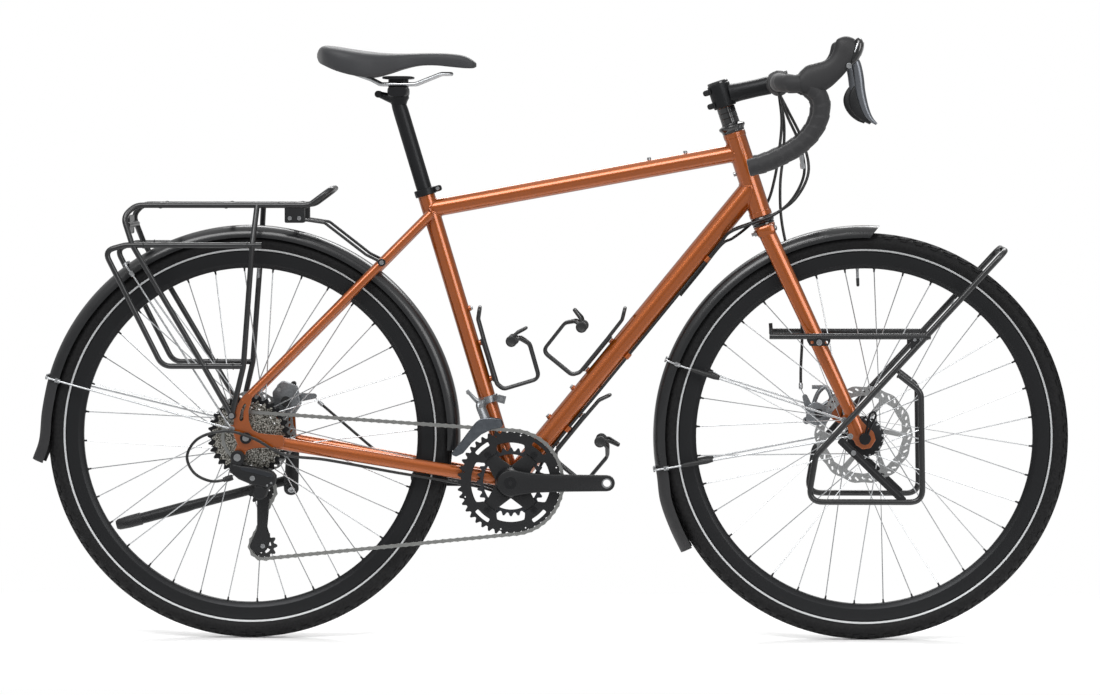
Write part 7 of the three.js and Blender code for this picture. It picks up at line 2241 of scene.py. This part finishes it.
def addRackStay(fittings, tubes, bolts, hand):
    front = deckFrontX - 8
    y = hand * 46
    top, foot = seatstayEnds(hand)
    target = top.lerp(foot, 0.26)
    outer = beside(target, target.y + hand * 11.6)
    wire = [at(front - 17, y, 723), at(front + 34, y, 715.5), at(outer.x - 27, outer.y, outer.z + 13.5), outer]
    addTube(tubes, wire, 2.6, 10, 14, roundEnds=1)
    outline = softOutline([(-17, -15), (17, -15), (17, 13), (9, 15), (-9, 15), (-17, 13)], 3, 3)
    low, high = sorted((hand * 38, hand * 54))
    addPlate(fittings, [outline], low, high, at(front - 17, 0, deckZ - 15), 1.2)
    for x in (-8, 8):
        addBolt(bolts, at(front - 17 + x, hand * 54, deckZ - 22), leftward * hand, 3.6, 2.4)
    addTurned(fittings, [(0, -4), (6, -4), (6.6, -3), (6.6, 3), (6, 4), (0, 4)], outer, leftward, 24)
    addBolt(bolts, beside(outer, outer.y + hand * 4), leftward * hand, 3.8, 2.4)


# The plate at the back of the rack that would carry a rear light.
def makeLightPlate():
    shape = newShape()
    place = rackAt(-1.14, 0, (railZ + deckZ) / 2)
    addBar(shape, beside(place, -64), beside(place, 64), rackRadius, None, 20)
    turn = Matrix.Rotation(math.pi / 2, 3, "Z")
    holes = [ringOutline(2.6, 16, (x, 0)) for x in (-25, 25)]
    outline = softOutline(rectangle(-30, 30, -16, 16), 5, 4)
    addPlate(shape, [outline, *holes], 0.2, 5.8, place, 0.8, turn)
    makePiece("rear_rack_light_plate", shape, powderCoat, "frame", "black_alloy")


# Front rack: one tube runs right round both sides and over the wheel

frontRackHalf, frontRackRadius, forkBladeHalf = 96, 5, 9


def makeFrontRack():
    size = {"drop": 105.2, "bend": 22, "barRise": 175.9, "reach": guardRadius + 35.9, "topDegrees": 53.73}
    top = polar(frontAxle, size["reach"], size["topDegrees"], frontRackHalf)
    loop = [(-0.797, -0.255), (-0.922, -1), (0.922, -1), (0.892, 0.779), (0.523, 1.065)]
    run = [beside(top, 0), top]
    run += [placed(frontAxle, size["drop"] * x, size["drop"] * z, frontRackHalf) for x, z in loop]
    tubes, plates, bolts = newShape(), newShape(), newShape()
    whole = [mirrored(place) for place in run[:0:-1]] + run
    addTube(tubes, whole, frontRackRadius, size["bend"], 24)
    for hand in (-1, 1):
        addFrontRackSide(tubes, plates, bolts, hand, size)
    makePiece("front_rack_tubes", tubes, powderCoat, "steering", "black_alloy", ("front_rack",), 40)
    makePiece("front_rack_plates", plates, satinBlack, "steering", "black_alloy")
    makePiece("front_rack_bolts", bolts, boltSteel, "steering", "steel")


def addFrontRackSide(tubes, plates, bolts, hand, size):
    y = hand * frontRackHalf
    height = frontAxle.z + size["barRise"]
    ends = [at(frontAxle.x + size["drop"] * share, y, height) for share in (-1.549, 1.046)]
    addBar(tubes, *ends, frontRackRadius, None, 24, roundEnds=1.6)
    addCollar(tubes, placed(frontAxle, 105, size["barRise"], y), at(1, 0, 0), frontRackRadius)
    addCollar(tubes, placed(frontAxle, 57, 110, y), at(0.7, 0, -0.7), frontRackRadius)
    low, high = sorted((y - hand * 2.4, y + hand * 2.4))
    mount = bladeAt(hand, 0.56)
    half = forkBladeHalf + 0.4
    lug = mount + at(0, 0, 6)
    addBar(plates, beside(lug, mount.y + hand * half), beside(lug, y - hand * 2.4), 5.9, None, 28)
    pad = softOutline([(-21, 19), (-21, 9), (-16, 0), (15, 0), (19, 8), (19, 19)], 2.5, 3)
    holes = [ringOutline(2.7, 16, (x, 6)) for x in (-12.2, 12.2)]
    addPlate(plates, [pad] + holes, low, high, beside(mount, 0), 0.6)
    addBolt(bolts, beside(lug, y + hand * 2.4), leftward * hand, 5, 2.6)
    addBar(tubes, ends[0] + at(3.6, 0, -2), ends[0] + at(2.6, 0, 14), 3.3, None, 16, 1)
    gusset = [(76, 177), (108, 177), (76, 147)]
    addPlate(plates, [softOutline(gusset, 3, 3)], low, high, frontAxle, 0.8)
    for x, z in ((83, 170.5), (94, 171.5)):
        addBolt(bolts, placed(frontAxle, x, z, y + hand * 2.4), leftward * hand, 3, 2)
    start, end = (Vector((size["drop"] * x, 0, size["drop"] * z)) for x, z in ((-0.418, 0.01), (0.627, -0.989)))
    run = (end - start).normalized()
    across = at(-run.z, 0, run.x) * 6.4
    brace = [start + across, start - across, end - across, end + across]
    addPlate(plates, [softOutline([(p.x, p.z) for p in brace], 4, 4)], low, high, frontAxle, 0.9)
    rib = [frontAxle + start.lerp(end, share) + leftward * (y + hand * 2.2) for share in (0.06, 0.94)]
    addBar(plates, rib[0], rib[1], 2.6, None, 12, 0.5)
    eyelet = placed(frontAxle, forkEndRadius * -0.748, forkEndRadius * -0.796)
    addBar(plates, beside(eyelet, hand * (forkEndOuter + 0.4)), beside(eyelet, y - hand * 2.4), 5.9, None, 28)
    addBolt(bolts, beside(eyelet, y + hand * 2.4), leftward * hand, 4.4, 3)


makeRearRack()
makeFrontRack()
print("racks made")


# Bottle cages: alloy rod bent round the bottle, welded to a strip that two bolts hold

# One bent wire: down behind the bottle, under it, up its front and round to a pad on each side.
def makeCage(node, up, out, height, tubeRadius):
    size = {"bottle": 37, "wire": 12, "rod": 3.1, "bail": 2.8, "back": 5, "front": 77.5, "floor": -24, "gap": 3.35}

    def place(rise, depth, across=0):
        return at(0, across, 0) + bracket + up * (height + rise) + out * (tubeRadius + size["gap"] + depth)

    shape, pads, bolts = newShape(), newShape(), newShape()
    wire, back, front, floor = size["wire"], size["back"], size["front"], size["floor"]
    half = [
        place(123, 15), place(121, 14, wire), place(104, back + 1, wire), place(62, back, wire),
        place(-12, back, wire), place(floor, back + 8, wire), place(floor, front, wire),
        place(38, front + 1, wire + 2), place(53, 66, wire + 20), place(52, 53, size["bottle"]),
    ]
    addTube(shape, [mirrored(spot) for spot in half[:0:-1]] + half, size["rod"], 12, 18, start=out)
    addBackPlate(shape, place)
    makePiece(node + "_wire", shape, powderCoat, "frame", "black_alloy", (node,), 40)
    bail = [place(57, 55, size["bottle"]), place(62, 62, size["bottle"] - 1), place(65.5, 80, wire + 4),
            place(65.5, 80)]
    addTube(pads, bail[:-1] + [mirrored(spot) for spot in bail[::-1]], size["bail"], 6, 14, start=out)
    padFace = [
        (0, -4.6), (7.6, -4.6), (9.4, -3.6), (9.8, -2.2), (9.8, 2.2), (9.4, 3.6), (7.6, 4.6), (6.6, 3.8), (0, 3.8),
    ]
    for side in (-1, 1):
        addTurned(pads, padFace, place(52, 52, side * size["bottle"]), at(0, side, 0), 36)
    makePiece(node + "_pads", pads, nylon, "frame", "black_plastic", (), 40)
    for step in cageSteps:
        addBolt(bolts, place(step, 2.9), out, 4.4, 2.4)
    makePiece(node + "_bolts", bolts, boltSteel, "frame", "steel")


# The plate welded across the wire, waisted between its two bolts.
def addBackPlate(shape, place):
    rings = []
    for i in range(17):
        share = i / 16
        rise = -6 + 76 * share
        half = 13 - 5.5 * math.sin(math.pi * share) ** 2
        rings.append([place(rise, 0.1, -half), place(rise, 0.1, half), place(rise, 2.3, half),
                      place(rise, 2.9, half - 0.8), place(rise, 2.9, 0.8 - half), place(rise, 2.3, -half)])
    addRings(shape, rings)


for seat in cageSeats:
    makeCage(*seat[:-1])
print("cages made")


# Stand

standPivot = placed(rearAxle, 63.2, -94.4, 64)
standAxis = Vector((0.118, -0.888, -0.444)).normalized()
standFace = standPivot - standAxis * 13
standCentre = standFace - standAxis * 13


def makeStandBracket():
    size = {"knuckle": 13, "reach": 20.8}
    shape, bolts = newShape(), newShape()
    foot, end = beside(bracket, 18), beside(rearAxle, 66)
    top = foot.lerp(end, 0.85)
    addTurned(shape, [(0, 0.4), (11.8, 0.4), (12.9, 1.4), (12.9, size["reach"] - 1), (12, size["reach"]),
                      (0, size["reach"])], standFace, standAxis, 36)
    start = standFace + standAxis * size["knuckle"]
    run = (top - start).normalized()
    stop = top - run * 9
    path = [start.lerp(stop, k / 6) for k in range(7)]
    addSweep(shape, path, [12.6, 12.4, 12.1, 11.9, 11.6, 11.4, 11], 24, flat=0.55, roundEnds=1)
    addStayClamp(shape, bolts, top, end - foot)
    makePiece("stand_bracket_body", shape, satinBlack, "frame", "black_alloy", ("stand_bracket",), 35)
    addBolt(bolts, standFace + standAxis * size["reach"], standAxis, 6, 3)
    makePiece("stand_bracket_bolts", bolts, boltSteel, "frame", "steel")


# The lower jaw that bears on the chainstay from below.
def addStayClamp(shape, bolts, top, run):
    heading = run.normalized()
    for share in (-9, 9):
        place = top + heading * share + at(0, 0, -10.5)
        addTurned(bolts, rectangle(0, 3.6, -3, 2), place, upward, 16)
    addSweep(shape, [top + heading * -17 + at(0, 0, -13), top + heading * 17 + at(0, 0, -13)], 6.2, 16, flat=1.4,
             roundEnds=2)


def makeStandLeg():
    size = {"length": 315, "foot": 0.86, "radius": 8.5, "end": 11}
    heading = Vector((-0.966, 0, -0.257))
    run = (heading - standAxis * heading.dot(standAxis)).normalized()
    knee, tip = standCentre + run * size["length"] * size["foot"], standCentre + run * size["length"]
    shape, foot = newShape(), newShape()
    addTurned(shape, [(0, -0.4), (11.8, -0.4), (12.8, -1.4), (12.8, -24.6), (11.8, -25.8), (0, -25.8)],
              standFace, standAxis, 36)
    addBar(shape, standCentre + run * 4, knee, size["radius"], None, 28)
    slide = [standCentre + run * size["length"] * share for share in (0.56, 0.6, 0.86)]
    addSweep(shape, slide, [8.6, 9.6, 9.6], 28)
    makePiece("stand_leg_tube", shape, satinBlack, "stand", "black_alloy", ("stand_leg",), 35)
    path = [knee.lerp(tip, share) for share in (-0.1, 0, 0.5, 0.9, 1)]
    addSweep(foot, path, [8.7, size["end"], 10.8, 9.6, 8], 28, roundEnds=1.5)
    makePiece("stand_foot", foot, mouldedRubber, "stand", "black_rubber")
    bolts = newShape()
    addBolt(bolts, standFace - standAxis * 25.6, -standAxis, 5, 2.6)
    makePiece("stand_leg_bolt", bolts, boltSteel, "stand", "steel")


makeStandBracket()
makeStandLeg()
print("stand made")


# Disc brakes: two halves either side of the rotor, bridged beyond it, and the arm the cable pulls

frontCalliper = [(-100, 24), (-97, 50), (-84, 58), (-58, 48), (-54, 34), (-64, 19), (-84, 16)]
frontBridge = [(-99, 26), (-96, 49), (-84, 57), (-74, 54), (-78, 48), (-88, 32), (-89, 25)]
rearCalliper = [(36, 40), (34, 72), (50, 92), (76, 84), (84, 50), (70, 30), (50, 34)]
rearBridge = [(40, 82), (50, 91), (75, 83), (82.5, 51), (78.5, 47.5), (66, 63), (52, 75)]


def makeCalliper(end, node, body, axle, outline, bridge, knob, bolts):
    shape, details, heads = newShape(), newShape(), newShape()
    addPlate(shape, [softOutline(outline, 8, 4)], 33.1, 38.8, axle, 1.4)
    addPlate(shape, [softOutline(outline, 8, 4)], 43, 49.9, axle, 2)
    addPlate(shape, [softOutline(bridge, 3, 3)], 37, 45, axle, 0.8)
    if end == "front":
        addCalliperArms(shape, axle)
    makePiece(end + "_calliper_body", shape, castAlloy, body, "black_alloy", (node,), 35)
    for x, z, radius, low, high in knob:
        profile = [(0, low), (radius - 0.8, low), (radius, low + 0.8), (radius, high - 0.8), (radius - 0.8, high),
                   (0, high)]
        addTurned(details, profile, placed(axle, x, z), leftward, 28)
    makePiece(end + "_calliper_adjusters", details, nylon, body, "black_plastic")
    for x, z in bolts:
        addBolt(heads, placed(axle, x, z, 49.9), leftward, 3.6, 2.6)
        addBolt(heads, placed(axle, x, z, 33.1), -leftward, 3.6, 2.2)
    makePiece(end + "_calliper_bolts", heads, boltSteel, body, "steel")


# Above the jaws: the bowed carrier with its outer lug, and the open hook that meets the fork's tab.
def addCalliperArms(shape, axle):
    bow = [placed(axle, x, z, 45.5) for x, z in ((-86, 52), (-82, 64), (-76, 75), (-66, 82), (-60, 76), (-56, 66))]
    addSweep(shape, smoothPath(bow, 5), 3.9, 18, flat=1.1, roundEnds=1)
    addBar(shape, placed(axle, -89, 82, 45.5), placed(axle, -69, 82, 45.5), 3.6, None, 18, 0.8)
    addHollowTube(shape, placed(axle, -51.5, 61, 41.5), leftward, 7, 8.6, 5.2, 32)
    addBar(shape, placed(axle, -60, 57, 45), placed(axle, -70, 50, 45), 3.6, None, 18, 0.8)
    addHollowTube(shape, placed(axle, -98, 24, 42.5), leftward, 8, 6.4, 3, 28)


# The arm turns with its pivot, and a bolt at its tip clamps the cable.
def makeBrakeArm(node, pivot, degrees):
    size = {"length": 30, "hub": 7.9, "low": 50.4, "high": 54.3}
    shape, bolts = newShape(), newShape()
    heading = math.radians(degrees)
    along, across = Vector((math.cos(heading), math.sin(heading))), Vector((-math.sin(heading), math.cos(heading)))
    outline = arcOutline(size["hub"], 90, 270, 8) + arcOutline(4.6, -90, 90, 6, (size["length"] - 4, 0))
    outline = [tuple(along * x + across * z) for x, z in outline]
    addPlate(shape, [outline], size["low"], size["high"], pivot, 0.8)
    makePiece(node + "_lever", shape, castAlloy, node, "black_alloy", (node,), 35)
    addBolt(bolts, beside(pivot, size["high"]), leftward, 4.4, 2.6)
    tip = pivot + at(along.x, 0, along.y) * (size["length"] - 4)
    addBolt(bolts, beside(tip, size["high"]), leftward, 3.2, 2.6)
    makePiece(node + "_bolts", bolts, boltSteel, node, "steel")


makeCalliper("front", "front_calliper", "steering", frontAxle, frontCalliper, frontBridge,
             [(-77, 37, 8, 30.6, 33.6), (-98, 24, 4.6, 42, 53)], [(-90, 48), (-62, 42)])
makeCalliper("rear", "rear_calliper", "frame", rearAxle, rearCalliper, rearBridge,
             [(58, 56, 9, 30.6, 33.6), (70, 86, 4.6, 40, 50)], [(46, 76), (74, 44)])
# The arms' pivots, as shares of the rotor's reach from each axle.
brakeReach = 85
makeBrakeArm("front_brake_arm", placed(frontAxle, brakeReach * -1.082, brakeReach * 0.471), 110)
makeBrakeArm("rear_brake_arm", placed(rearAxle, brakeReach * 0.929, brakeReach * 0.729), 5)


# Through-axles


def makeRearAxle():
    inner = dropoutOuter + 0.35
    profile = [(0, -inner - 7.9), (3.4, -inner - 7.9), (4.2, -inner - 7.9), (9, -inner - 7.9), (9.9, -inner - 7),
               (9.9, -inner), (5.9, -inner), (5.9, inner), (9.9, inner), (9.9, inner + 7), (9, inner + 7.9),
               (0, inner + 7.9)]
    makeTurned("rear_axle_bar", profile, rearAxle, leftward, 40, anodised, "frame", "black_alloy",
               ("rear_axle",), 30)
    heads = newShape()
    for hand in (-1, 1):
        addBolt(heads, beside(rearAxle, hand * (inner + 7.6)), leftward * hand, 5.6, 1)
    makePiece("rear_axle_sockets", heads, boltSteel, "frame", "steel")


# The front axle has a folding D-shaped handle.
def makeFrontAxle():
    size = {"degrees": 72, "y": -67.7}
    handle = newShape()
    inner = forkEndOuter + 0.35
    profile = [(0, -69.6), (8.8, -69.6), (9.9, -68.6), (9.9, -inner), (5.9, -inner), (5.9, inner), (9.9, inner),
               (9.9, inner + 3.2), (9.2, inner + 3.9), (0, inner + 3.9)]
    makeTurned("front_axle_bar", profile, frontAxle, leftward, 40, anodised, "front_axle", "black_alloy",
               ("front_axle",), 30)
    heading = math.radians(size["degrees"])
    along, across = at(math.cos(heading), 0, math.sin(heading)), at(-math.sin(heading), 0, math.cos(heading))
    loop = [(6, -1.6), (20, -2.6), (34, -4.6), (44, -5), (48.6, 0), (44, 5), (34, 4.6), (20, 2.6), (6, 1.6)]
    places = [beside(frontAxle, size["y"]) + along * a + across * b for a, b in loop]
    addSweep(handle, smoothPath(places, 5), 1.9, 14)
    makePiece("front_axle_handle", handle, anodised, "front_axle", "black_alloy")


makeRearAxle()
makeFrontAxle()
print("brakes and axles made")
